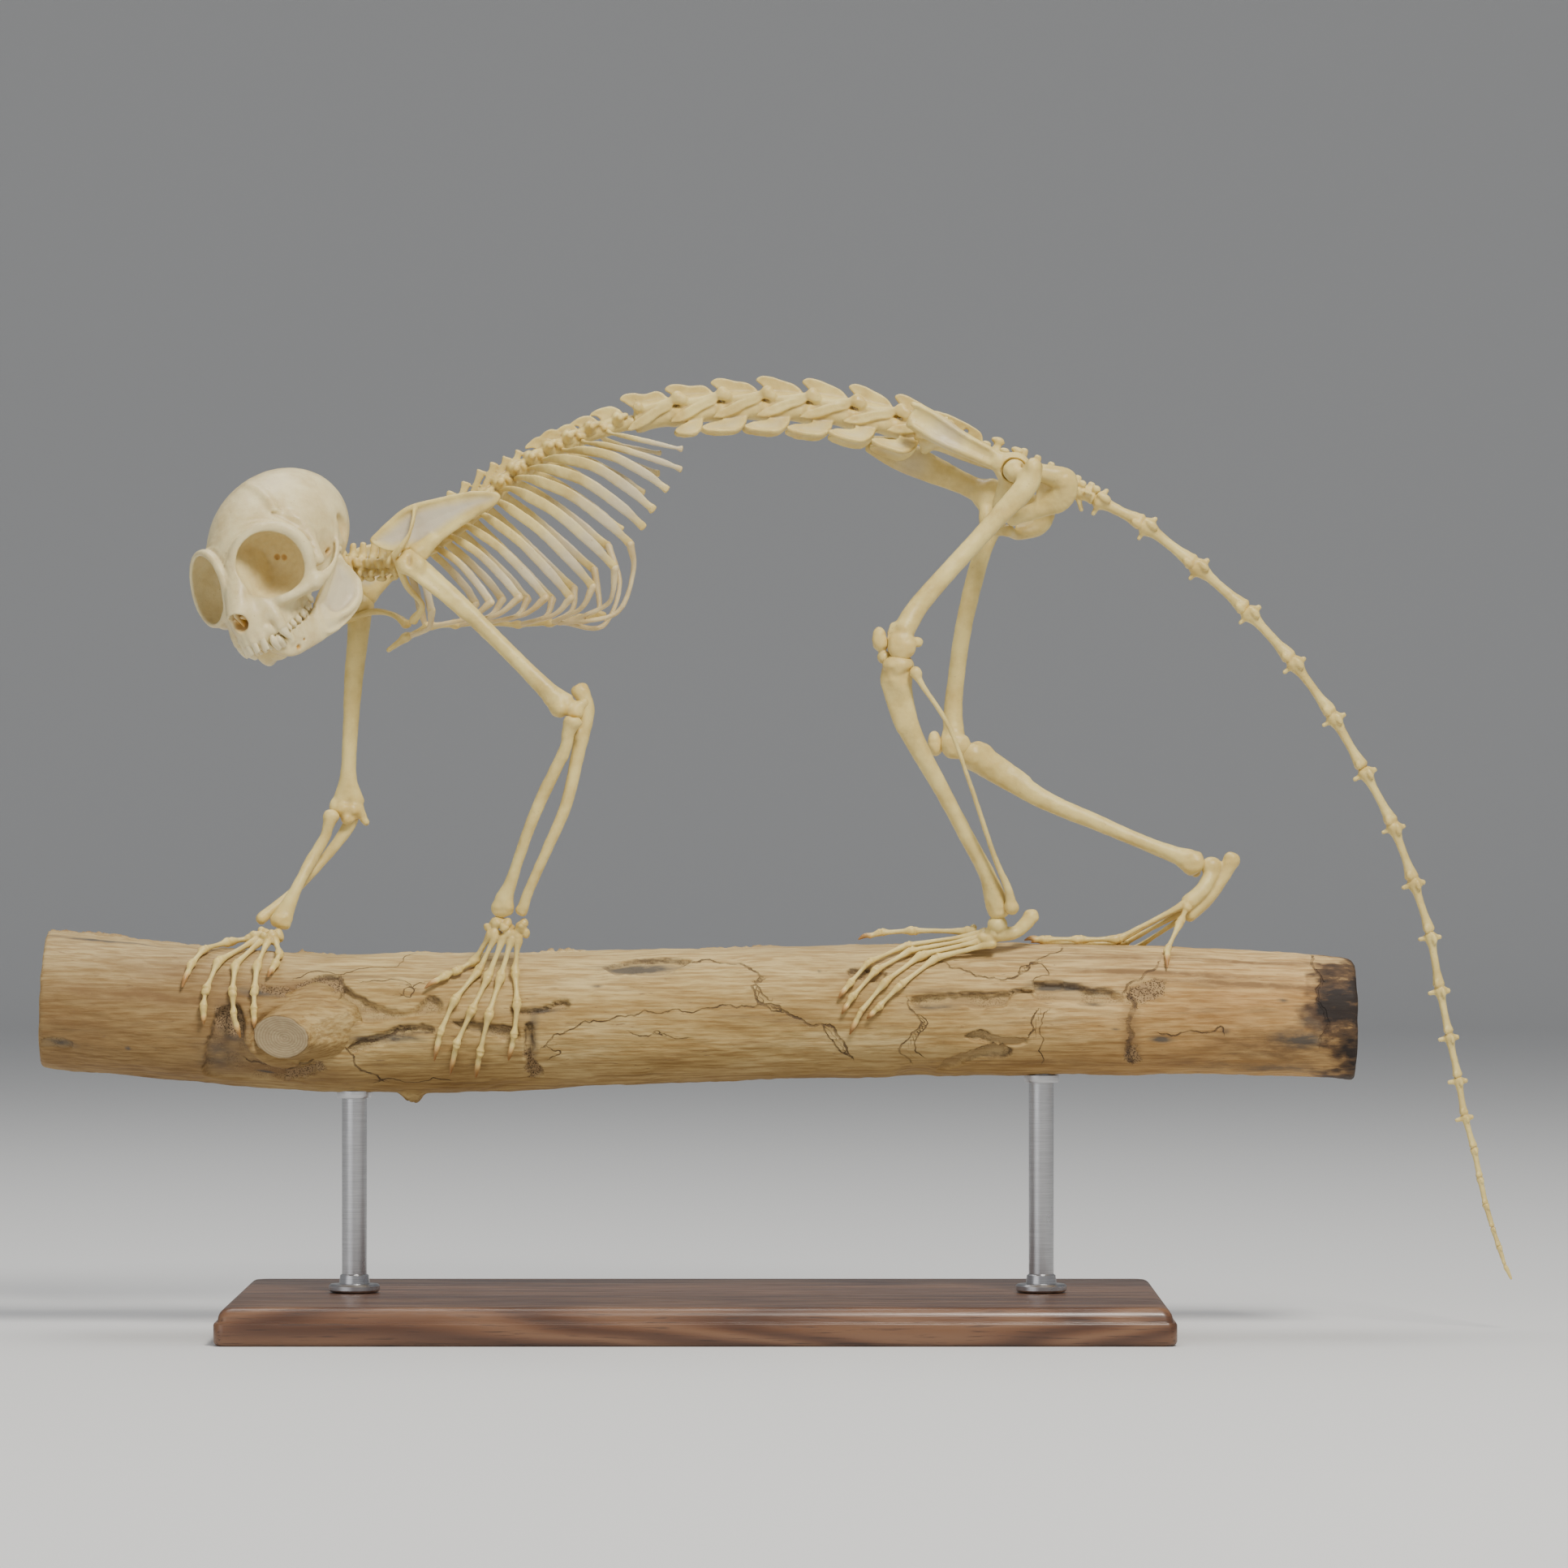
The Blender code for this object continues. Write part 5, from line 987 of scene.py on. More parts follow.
def cadName(name):
    # Name of the solid that a piece stands in for
    return name.replace("Left", "_left").replace("Right", "_right")


def longBone(name, rows, side=(0, 1, 0), lumps=(), ridges=(), cuts=(), joints=(), cell=0.40,
        margin=8):
    # A shaft with its end lumps, ridges and hollows
    points = [r[:3] for r in rows] + [place for place, _ in lumps]
    points += [p[:3] for ridge, _, _ in ridges for p in ridge]
    field = makeField(np.min(points, axis=0) - margin, np.max(points, axis=0) + margin, cell)
    rod(field, rows, side=side, blend=0.5, cap=0.8)
    for place, radii in lumps:
        blob(field, place, radii, blend=1.2)
    for ridge, wide, blend in ridges:
        rod(field, ridge, side=wide, blend=blend)
    for place, radii in cuts:
        blob(field, place, radii, blend=0.7, carving=True)
    for joint in joints:
        tint(field, *joint)
    return bonePiece(name, field, (cadName(name),))


def makeArms():
    # Arm bones and collar bones from their rows of places and half widths
    for name, form in arms.items():
        longBone(name, **form)
    for name, rows in collarBones.items():
        longBone(name, rows, cell=0.32, margin=4, joints=((rows[0][:3], 2.4, 0.6), (rows[-1][:3],
            2.4, 0.6)))


# Log middle line and radius, and places beside it and over it
logRings = np.array(((-210, 106, 21.6), (-169, 102, 22), (-145, 100, 21.8), (-119, 98.5, 22),
    (-95, 98.5, 22.2), (-71, 98.5, 22), (-10, 100.5, 21.5), (52, 102.3, 21.2), (119, 102.5, 21),
    (168, 102, 20), (210, 99.8, 19.6)), float)


def logAt(x):
    # Height of the log's middle line and its radius at x
    return np.interp(x, logRings[:, 0], logRings[:, 1]), np.interp(x, logRings[:, 0],
        logRings[:, 2])


def onLog(x, z, lift, top=-3.0):
    # Place on the front of the log at x and z, so far off it: the y of a circle
    height, radius = logAt(x)
    reach = (radius + lift) ** 2 - (z - height) ** 2
    return (x, -math.sqrt(reach) if reach > top ** 2 else top, z)


def overLog(x, y, lift):
    # Place over the log at x and y, so far off it: the z of the same circle
    height, radius = logAt(x)
    return (x, y, height + math.sqrt((radius + lift) ** 2 - y ** 2))


digits = {"cell": 0.31, "fingerKnob": 1.5, "toeKnob": 1.4}


def digit(field, joints, knob):
    # Each finger bone is a waisted rod with a broad base and a rounded head; the last one
    # carries a curved flat claw
    joints = [np.array(j, float) for j in joints]
    last = len(joints) - 2
    for i, (a, b) in enumerate(zip(joints[:-1], joints[1:])):
        size = knob * (1 - 0.05 * i)
        way = unit(b - a)
        length = np.linalg.norm(b - a)
        if i < last:
            rod(field, ((*(a + way * 0.35), size * 1.05), (*(a + way * 1.0), size * 1.02),
                (*(a + way * length * 0.3), size * 0.62), (*(a + way * length * 0.64),
                size * 0.54), (*(b - way * 2.0), size * 0.7), (*(b - way * 0.85), size * 1.02)),
                blend=0.25, spacing=1.1, cap=0.7)
            tint(field, a, 2.2, 0.65)
            tint(field, b, 2.0, 0.65)
        else:
            out = np.array((0, a[1], a[2] - logAt(a[0])[0]))
            out = unit(out - (out @ way) * way)
            stem = a + way * min(2.6, length * 0.4)
            rod(field, ((*(a + way * 0.3), size * 0.95), (*(a + way * 0.9), size * 0.8),
                (*stem, size * 0.62), (*(stem + way * 0.8), size * 0.72)), blend=0.25,
                spacing=0.9)
            mid = (stem + b) / 2 + out * 0.55
            rod(field, ((*stem, 0.85, 0.75), (*mid, 0.8, 0.75), (*b, 0.32, 0.25)),
                side=np.cross(way, out), blend=0.3, spacing=0.9)
            tint(field, mid * 0.35 + b * 0.65, length * 0.42, 1.0, "horn")
            tint(field, a, 1.8, 0.6)


def pebbles(field, places, size, seed):
    # Small wrist or ankle bones, each an uneven lump with its own turn
    rng = np.random.default_rng(seed)
    for place in places:
        for part, spread in ((0.82, 0.25), (0.55, 0.75), (0.5, 0.85)):
            axes, _ = np.linalg.qr(rng.normal(size=(3, 3)))
            at = place + size * spread * rng.uniform(-1, 1, 3)
            blob(field, at, size * part * rng.uniform(0.7, 1.2, 3), axes, blend=0.7)
        tint(field, place, 2.6, 0.45)


hands = {
    "leftWrist": ((-63.8, -16.6, 130.6), (-60, -16.8, 131), (-56.6, -17, 129.8),
        (-64, -17, 127.2), (-60.4, -17.2, 127), (-57, -17, 126.2)),
    "left": (((-65.5, -17, 127.5), ((-71, 118.5), (-76.5, 115.5), (-80.5, 114), (-86.5, 110))),
        ((-64, -17, 127), ((-69.5, 115.5), (-77, 106.5), (-81.5, 96), (-83.5, 87))),
        ((-61.5, -17.2, 126.5), ((-66.5, 113.5), (-71.5, 103), (-76.5, 92), (-78.5, 82.5))),
        ((-59, -17.2, 126), ((-62.5, 113.5), (-66, 102), (-69, 89.5), (-70.5, 81.5))),
        ((-57, -17, 125.5), ((-58, 115), (-57, 105.5), (-58, 95), (-60, 87)))),
    "rightWrist": ((-135.2, 2.6, 126.4), (-139, 2.2, 127), (-136, -0.6, 125.8), (-140, -0.8, 126),
        (-142.4, 1, 125.8)),
    "right": (((-142.5, 0.5, 125.5), ((-157.5, 122.3), (-161, 117.5), (-163.5, 110.5))),
        ((-141, -0.5, 125.2), ((-152.5, 118.5), (-156, 109.5), (-156.7, 104), (-156.5, 98.5))),
        ((-139.5, -1, 125), ((-147, 117.5), (-147.6, 109), (-147, 101.5), (-145, 94.5))),
        ((-137.6, -1, 124.8), ((-140, 117.5), (-140.7, 109.5), (-140.6, 103), (-140.5, 97.5))),
        ((-135.5, 0, 124.8), ((-133.2, 120.8), (-134.5, 117.5), (-136.5, 113.5)))),
    "arched": (-150, -2, 2.2), "lift": 1.85,
}


def makeHands():
    # Wrists are pebbles, and each digit is a chain of bones through places on the log
    field = makeField((-92, -30, 76), (-50, -10, 137), digits["cell"])
    pebbles(field, hands["leftWrist"], 2.3, 3)
    pebbles(field, ((-66.4, -16.4, 129), (-54.6, -17, 127.6), (-61.6, -18.6, 129)), 1.6, 4)
    for root, joints in hands["left"]:
        digit(field, [root] + [onLog(x, z, hands["lift"]) for x, z in joints],
            digits["fingerKnob"])
    bonePiece("handLeft", field, ("hand_left",))
    field = makeField((-168, -30, 90), (-126, 8, 134), digits["cell"])
    pebbles(field, hands["rightWrist"], 2.3, 5)
    for i, (root, joints) in enumerate(hands["right"]):
        first = [root, overLog(*hands["arched"])] if i == 0 else [root]
        digit(field, first + [onLog(x, z, hands["lift"]) for x, z in joints], digits["fingerKnob"])
    bonePiece("handRight", field, ("hand_right",))


lumbar = {"x": (-13.3, 70.7), "ends": (-20.2, 77.4), "cell": 0.38}


def makeLumbar():
    # Spools with leaf spines, facets, side sheets and wings, all thin plates and ovals
    field = makeField((-29, -16, 276), (80, 20, 309), lumbar["cell"])
    xs = np.linspace(*lumbar["x"], 7)
    edges = np.linspace(*lumbar["ends"], 8)
    for i, x in enumerate(xs):
        at, axes = spineFrame(x)
        aside, back = axes[1:]
        a, b = spineAt(edges[i]) - back * 0.4, spineAt(edges[i + 1]) - back * 0.4
        spool(field, a, b, 4.0, 3.4, aside, 0.80, 0.3)
        top = 10.1 - 0.5 * max(3 - i, 0)
        fin = ((5.2, 3.6), (4.2, 6.4), (1.6, 8.4), (-2.4, top - 0.5), (-6.0, top + 0.4),
            (-9.0, top + 0.4), (-10.7, top - 0.9), (-9.2, top - 2.2), (-7.4, top - 3.9),
            (-5.6, 4.6), (-4.0, 3.4))
        blade(field, [at(p, 0, r) for p, r in fin], 1.0, aside, blend=0.9, rim=0.25)
        rod(field, [(*at(p, 0, 4.0), 2.6, 1.5) for p in (-5.2, 0, 5.2)], side=aside, blend=1.2)
        rod(field, [(*at(p, 0, 1.9), 2.9, 1.7) for p in (-5.0, 0, 4.4)], side=aside, blend=0.9)
        for s in (-1, 1):
            facet = at(7.6, s * 3.3, 5.2)
            blob(field, facet, (2.1, 1.6, 2.3), axes)
            rod(field, ((*at(-5, s * 2.8, 3.4), 1.0, 1.2), (*at(0, s * 3.0, 3.8), 0.8, 0.9),
                (*at(7.6, s * 3, 5.2), 1.2, 1.2)), side=aside)
            blob(field, at(-5.4, s * 3.8, 4.4), (1.6, 1.0, 1.6), axes, blend=0.6)
            tint(field, facet, 2.4, 0.6)
            # side sheet that points headward under the facets, and the golden joint below it
            sheet = ((-10.2, -2.6), (-7.6, -0.2), (-3.6, 1.9), (1.0, 3.4), (5.4, 3.8), (5.0, 2.2),
                (1.0, 0.6), (-3.4, -1.6), (-7.2, -2.7))
            blade(field, [at(p, s * (3.5 - 0.12 * min(p, 0)), r) for p, r in sheet], 0.8, aside,
                blend=0.9, rim=0.2)
            blob(field, at(6.8, s * 2.6, 0.2), (1.9, 1.7, 1.9), axes)
            tint(field, at(6.8, s * 4, 0.6), 2.4, 0.7)
            if not i:
                continue
            reach, long = 7 + 0.5 * i, 0.64 if i == 1 else 1
            wing = ((0.8, 1.6), (0.4, reach * 0.6), (-2.4, reach + 0.2), (-7.4, reach + 0.8),
                (-12.4, reach + 0.1), (-13.8, reach - 1.3), (-11.0, reach - 3.2),
                (-6.4, reach - 4.6), (-4.8, 1.6))
            blade(field, [at(p * long, s * q, -1.2 - 0.72 * q) for p, q in wing], 1.0,
                back + aside * s * 0.72, blend=1.0, rim=0.25, thin=0.3)
            tint(field, at(-11, s * reach, -7), 2.4, 0.4)
        if i:
            # painted shade in the gap to the bone before
            tint(field, a - back * 0.6, 1.8, 0.25, "hollow")
    return bonePiece("lumbarSpine", field, ("lumbar_spine",))


pelvis = {
    "ilium": {
        "left": ((69, -9, 292.6, 1.3, 4.4), (75, -9, 289, 1.4, 4.7), (84, -9.5, 283.7, 1.7, 3.8),
            (93, -11, 279.2, 2.2, 3.2), (101, -11.5, 275, 3.0, 4.0)),
        "right": ((55, 16, 284.5, 1.0, 2.6), (64, 16, 281.5, 1.2, 5.0), (74, 16, 277, 1.5, 4.6),
            (84, 15.5, 272.5, 2.2, 3.6), (94, 14.5, 267.5, 3.0, 4.0))},
    "socket": {"left": (101, -10.6, 275), "right": (94.2, 13.6, 267.5)},
    "lower": {
        "left": (((101, -10, 275, 3.2), (110, -9.5, 274.2, 2.8), (117, -8, 271.6, 3.0, 4.0),
            (115.8, -7, 266, 2.2, 4.0), (109, -4.8, 262.8, 1.9, 2.8), (101, -3.4, 260, 2.0, 2.4)),
            ((101, -3.4, 260, 2.0, 2.4), (96.5, -5.5, 263, 2.0, 2.3), (98.5, -9, 271, 2.4))),
        "right": (((94, 13, 267.5, 3.2), (103, 13.5, 266.5, 2.4), (111, 13, 263.5, 2.4, 3.4),
            (110, 12, 257.5, 1.8, 2.4), (103, 9.5, 255, 1.6), (99.5, 4.2, 256.2, 1.7)),
            ((99.5, 4.2, 256.2, 1.7), (93, 8.5, 257, 1.8), (92.5, 12, 264, 2.2)))},
    "body": ((70.5, 3.8, 287.6, 4.6, 3.6), (79, 3.9, 284.6, 4.4, 3.4), (89, 4.2, 280.4, 3.6, 3.0),
        (100, 4.4, 276.8, 3.0, 2.7)),
    "wings": ((79.5, -7.6, 287.4, 3.2, 4.4), (75, 3, 286, 3.0, 4.4),
        (73.4, 12.4, 283.6, 2.0, 2.8)),
    "crest": ((94.5, 7.0), (101, 6.4)),
    "plate": ((72.6, 288), (72.3, 292.6), (74.4, 294.6), (78.6, 294.0), (84, 291.8),
        (89.4, 288.8), (91.2, 286.6), (90.6, 283), (84, 284), (77, 287)),
    "plateHole": (86.0, 288.0),
    "sheet": {
        "left": ((109, -8.5, 276), (116, -8, 274.5), (118.8, -7.6, 269.5), (117.4, -6.6, 264),
            (109, -4.8, 261), (108, -5.8, 265), (108.4, -7.2, 270)),
        "right": ((103, 13.5, 268), (109, 13.2, 266.5), (112.4, 12.8, 262.5), (111, 11.5, 257),
            (103, 9.5, 254.4), (102, 10.5, 258), (102.2, 12.4, 262.5))},
    "ball": 3.7, "cell": 0.40,
}


def makeSacrum():
    # A body and two wings as rods, a plate under them and a row of short spines on top
    field = makeField((64, -15, 270), (106, 22, 298), pelvis["cell"])
    rod(field, pelvis["body"], blend=0.5, cap=0.3)
    rod(field, pelvis["wings"], side=(0.9, 0, -0.4), blend=1.2, cap=0.4)
    blade(field, [(x, 3.9, z) for x, z in pelvis["plate"]], 1.2, (0, 1, 0), blend=1.2, rim=0.4)
    for x, high in pelvis["crest"]:
        at, axes = spineFrame(x)
        rod(field, ((*at(0, 0, 1.5), 1.6, 2.4), (*at(0, 0, high - 2.0), 0.8, 1.1)), side=axes[1],
            blend=1.2)
        blob(field, at(-0.4, 0, high - 0.9), (2.3, 1.1, 1.1), axes, blend=0.9)
        tint(field, at(0, 0, high), 2, 0.5)
    for x in (77, 84, 91, 97):
        at, axes = spineFrame(x)
        for s in (-1, 1):
            blob(field, at(0, s * 3.0, 3.4), (1.7, 1.2, 1.1), axes, blend=1.0)
            blob(field, at(3.2, s * 2.6, 3.8), (1.0, 1.3, 1.6), axes, blend=0.5, carving=True)
    x, z = pelvis["plateHole"]
    blob(field, (x, 3.9, z), (0.8, 3, 0.8), blend=0.4, carving=True)
    return bonePiece("sacrum", field, ("sacrum",))


def makeHip(name, s):
    # Rods round a thin sheet, with raised rims, a long trough and the socket cut out
    hollow = np.array(pelvis["socket"][name])
    rows = pelvis["ilium"][name]
    points = np.array([r[:3] for r in rows] + [r[:3] for part in pelvis["lower"][name]
        for r in part])
    field = makeField(points.min(axis=0) - 9, points.max(axis=0) + 9, pelvis["cell"])
    rod(field, rows, side=(0.2, 1, 0), blend=0.6, cap=0.9)
    blob(field, hollow, (5.8, 3.6, 5.8), blend=1.5)
    for part in pelvis["lower"][name]:
        rod(field, part, blend=1.2)
    blade(field, pelvis["sheet"][name], 1.3, unit((0, 1, s * 0.25)), blend=1.4, rim=0.3)
    # raised rims of the wing and the long trough between them
    for up in (-1, 1):
        edge = [(x, y + s * 0.5, z + up * (deep - 1.0), wide * 0.5 + 0.5, 1.0) for x, y, z, wide,
            deep in rows[:4]]
        rod(field, edge, blend=0.7)
    rod(field, [(x, y + s * (wide + 0.8), z + 0.4, 1.8, deep * 0.58) for x, y, z, wide,
        deep in rows[:4]], cap=0.8, carving=True)
    blob(field, hollow + (0, s * 3.4, -0.3), pelvis["ball"] + 0.5, blend=0.5, carving=True)
    blob(field, np.array(pelvis["lower"][name][0][2][:3]) + (0.5, 0, 0), (3.0, 2.6, 3.6),
        blend=1.6)
    tint(field, hollow + (0, s * 3, 0), 5, 0.6)
    tint(field, pelvis["lower"][name][0][2][:3], 4.2, 0.6)
    tint(field, np.array(rows[1][:3]) * 0.5 + np.array(rows[2][:3]) * 0.5, 6, 0.4, "thin")
    return bonePiece("hip" + name.title(), field, ("hip_" + name,))


# Legs, written as the arms are
thighs = {
    "femurLeft": {
        "rows": ((107.3, -18, 276.2, 2.2, 2.6), (104.5, -19.2, 269.5, 3.6), (97, -21, 261.3, 3.1),
            (88, -23, 251.3, 2.9), (79, -26, 241.5, 2.9), (70, -28.3, 231, 3.2),
            (65.5, -30, 223.5, 4.6, 3.6)),
        "lumps": (((101, -14, 274.7), 3.7), ((106.8, -19.6, 275.2), (2.6, 2.8, 3.4)),
            ((64.8, -33, 218.6), (4.4, 2.7, 4.8)), ((64.8, -26.6, 218.6), (4.4, 2.7, 4.8)),
            ((62.6, -30, 221.6), (3.4, 2.6, 4.4)), ((69.8, -31, 219.8), 1.7)),
        "ridges": ((((101.5, -14.5, 274.2, 2.4), (105.5, -18.5, 271.5, 3.2)), (0, 0, 1), 1.4),
            (((107.2, -19.6, 273, 1.2), (104, -20.8, 266, 1.0), (98, -22.8, 259.6, 0.6)),
            (0, 1, 0), 2)),
        "cuts": (((60.2, -30, 221.6), (1.6, 1.5, 5)), ((67.6, -29.8, 215.6), (3, 1.3, 3.2)),
            ((104.4, -16.4, 275.8), (1.4, 1.6, 1.8))),
        "joints": (((101, -13.5, 274.8), 3.6, 0.6), ((64.6, -31, 218), 6, 0.85),
            ((107, -19.6, 276), 3, 0.5))},
    "femurRight": {
        "rows": ((99.6, 21, 266.6, 2.2, 2.6), (96.2, 21.8, 260.5, 3.4), (92, 20.5, 251, 2.9),
            (88, 19, 236.5, 2.8), (85, 17.8, 222.5, 2.7), (83, 17, 208, 2.7), (82, 16, 197, 3.1),
            (82.4, 16, 191, 4.2, 3.6)),
        "lumps": (((94.2, 17, 267.2), 3.7), ((99.4, 21.6, 265.6), (2.6, 2.8, 3.2)),
            ((83, 12.8, 187.2), (4.8, 2.7, 4.4)), ((83, 19.2, 187.2), (4.8, 2.7, 4.4)),
            ((80.4, 16, 189.2), (3.2, 2.6, 4.2))),
        "ridges": ((((94.4, 17.5, 266.8, 2.4), (96.8, 21.5, 262.5, 3.2)), (0, 0, 1), 1.4),),
        "cuts": (((85.6, 16, 184.4), (3.2, 1.3, 3)), ((78, 16, 190), (1.4, 1.5, 5))),
        "joints": (((94, 16.5, 267), 3.6, 0.5), ((83, 16, 187), 6, 0.6))},
}
shins = {
    "tibiaLeft": {
        "rows": ((63.8, -29.8, 212.8, 5.2, 4.8), (63.5, -29.8, 208, 4.4, 4.6),
            (64.5, -29.5, 201, 2.6, 4.2), (67, -29, 193, 2.5, 3.6), (71.5, -27, 184, 2.5, 3.0),
            (78.5, -24, 171.5, 2.5), (85.5, -20, 158.5, 2.4), (92, -16.8, 146.5, 2.6),
            (95, -14.6, 138, 3.6), (96, -14, 134.6, 3.4)),
        "lumps": (((63.6, -32.6, 212.6), (4.8, 2.8, 2.6)), ((63.6, -27, 212.6), (4.8, 2.8, 2.6)),
            ((60.4, -30, 208.4), (2.2, 2.2, 3.6)), ((95.6, -11.8, 135), (2.4, 1.8, 3.2))),
        "ridges": ((((60.2, -30, 207, 1.2, 1.4), (61.8, -30.4, 200, 0.8, 1.2),
            (64.6, -29.8, 192, 0.6, 1.0)), (0, 1, 0), 1.6),),
        "joints": (((63.6, -31, 211), 5.6, 0.8), ((95.6, -14, 135.4), 4.4, 0.7))},
    "tibiaRight": {
        "rows": ((88.3, 16, 184.2, 5.2, 4.4), (92.5, 15.8, 181.6, 4.6, 4.4),
            (99.5, 15, 177, 2.8, 3.9), (112.5, 14, 169.2, 2.5, 3.0), (128, 12, 162.6, 2.4, 2.6),
            (141, 10.2, 157, 2.3), (151.5, 9, 153, 2.4), (159.4, 8.2, 149.4, 3.4, 4.2)),
        "lumps": (((88.6, 13, 184.2), (4.2, 2.8, 3.6)), ((88.6, 18.8, 184.2), (4.2, 2.8, 3.6)),
            ((92, 15.4, 186), (2.4, 1.8, 1.8)), ((160, 6.2, 149.2), (2.6, 1.8, 2.8))),
        "ridges": ((((90.6, 15.6, 187, 1.3), (98, 15, 182, 1.0), (106, 14.6, 176.6, 0.7)),
            (0, 1, 0), 1.8),),
        "joints": (((88.6, 16, 184), 5.6, 0.6), ((159.4, 8, 149.4), 4.2, 0.7))},
}
splints = {
    "fibulaLeft": ((69.2, -34.0, 210.2, 1.6), (71.4, -34.2, 206, 0.9), (79.5, -32.5, 193.5, 0.72),
        (86, -29.4, 176.5, 0.72), (94, -22.8, 153, 0.85), (98.8, -19.2, 141.5, 1.3),
        (100, -17.8, 135.8, 1.9)),
    "fibulaRight": ((93.5, 21.4, 180.5, 1.6), (99, 20.5, 176.6, 1.1), (113, 18.5, 168, 0.9),
        (140, 14.4, 156, 0.9), (153, 13.4, 150.6, 1.2), (160, 13.4, 147.4, 1.8)),
}
knees = {"patellaLeft": (57.9, -30, 220.6), "patellaRight": (76.2, 16, 188), "cell": 0.42}


def makeLegs():
    # Thighs, kneecaps of two or three ovals, shins and the splint bones beside them
    for name, form in thighs.items():
        longBone(name, **form, cell=knees["cell"])
    for name in ("patellaLeft", "patellaRight"):
        place = np.array(knees[name])
        field = makeField(place - (7, 7, 10), place + 7, 0.3)
        blob(field, place, (2.3, 2.8, 4.0), (unit((1, 0, 0.12)), (0, 1, 0), unit((-0.12, 0, 1))),
            blend=0.5)
        blob(field, place + (0.8, 0, -1.2), (1.9, 2.3, 2.5), blend=1)
        if name == "patellaLeft":
            blob(field, place + (1.4, -0.4, -5.6), 2.2, blend=0.6)
        tint(field, place, 4, 0.6)
        bonePiece(name, field, (cadName(name),))
    for name, form in shins.items():
        longBone(name, **form, cell=knees["cell"])
    for name, rows in splints.items():
        longBone(name, rows, cell=0.34, margin=5, lumps=((rows[-1][:3], (1.9, 1.6, 2.2)),
            (rows[0][:3], (1.8, 1.7, 2.0))), joints=((rows[0][:3], 2.6, 0.6), (rows[-1][:3], 2.8,
            0.7)))


feet = {
    "leftHeel": ((94.5, -12, 127.4, 2.8), (98, -12, 127.2, 2.4), (101.5, -11.2, 127.6, 2.0),
        (105.2, -10.4, 131, 2.3), (106.4, -10.3, 132.6, 2.4)),
    "leftAnkle": ((93.4, -9.8, 127.4), (93.6, -13.4, 125.8), (90.4, -8.6, 127.2),
        (90.6, -11.6, 125.8), (87.2, -6.4, 127.8)),
    "leftGreat": ((86.5, -6, 127.8), (69, -3.5, 128), (58.5, -2.5, 127.3), (51.5, -2.5, 125.2)),
    "left": (((90, -8.5, 126.8), ((67, 123.4), (54.5, 118.2), (48.5, 111.5), (45, 107))),
        ((91, -10.5, 126), ((68, 121.8), (57, 115.8), (49, 107), (46, 102))), ((92.5, -12, 125.2),
        ((71.5, 120.6), (60, 112.3), (51.8, 102.4), (48.5, 95.5))), ((94.5, -13.5, 124.2),
        ((76, 119.6), (64.5, 111), (57.5, 104), (54, 100.5)))),
    "rightHeel": ((171.5, 8.4, 150.6, 2.4, 2.8), (168.6, 7.8, 144.5, 1.9), (163.6, 6.4, 138, 2.2),
        (158, 5.4, 132.8, 2.2)),
    "rightAnkle": ((165, 7.6, 146, 2.6), (162, 4.8, 141, 2.4), (157.5, 3.6, 137, 2.5)),
    "rightGreat": (((157, 1.4, 136), (154.5, 0, 130.5)), ((150, 122.2), (149.5, 116.5))),
    "right": (((157, 2.6, 136.8), ((134.5, 0, 2.2), (122, -1.5, 1.8), (111, -2.5, 1.8),
        (104.5, -3, 1.6))), ((157, 4.2, 136.6), ((135.5, 4, 2.2), (123, 3, 1.8), (112, 2.2, 1.8),
        (105, 2, 1.6))), ((157.4, 5.8, 134.8), ((137, 8, 2.2), (125, 8, 1.8), (114, 7.4, 1.8),
        (107, 7, 1.6))), ((157.6, 7, 133.2), ((140.5, 12, 2.2), (130, 12.5, 1.8),
        (120.5, 12.4, 1.8), (114, 12, 1.6)))),
    "lift": 1.75,
}


def makeFeet():
    # Heel as a rod and an oval, ankle of pebbles or a rod, and digits as in the hands
    field = makeField((39, -26, 91), (112, 2, 139), digits["cell"])
    rod(field, feet["leftHeel"], blend=0.6)
    blob(field, (95.6, -13.6, 130.2), (3.2, 3, 2.8))
    tint(field, (106.4, -10.3, 132.6), 3.2, 0.6)
    pebbles(field, feet["leftAnkle"], 2.3, 7)
    digit(field, feet["leftGreat"], digits["toeKnob"])
    for root, joints in feet["left"]:
        digit(field, [root] + [onLog(x, z, feet["lift"]) for x, z in joints], digits["toeKnob"])
    bonePiece("footLeft", field, ("foot_left",))
    field = makeField((98, -24, 110), (178, 18, 157), digits["cell"])
    rod(field, feet["rightHeel"], blend=0.6)
    blob(field, (165, 8, 148.4), (3.4, 3, 3.1))
    tint(field, (171.5, 8.4, 150.6), 3.4, 0.6)
    rod(field, [(*p[:3], p[3]) for p in feet["rightAnkle"]])
    roots, joints = feet["rightGreat"]
    digit(field, [*roots] + [onLog(x, z, feet["lift"]) for x, z in joints], digits["toeKnob"])
    for root, joints in feet["right"]:
        digit(field, [root] + [overLog(*joint) for joint in joints], digits["toeKnob"])
    bonePiece("footRight", field, ("foot_right",))


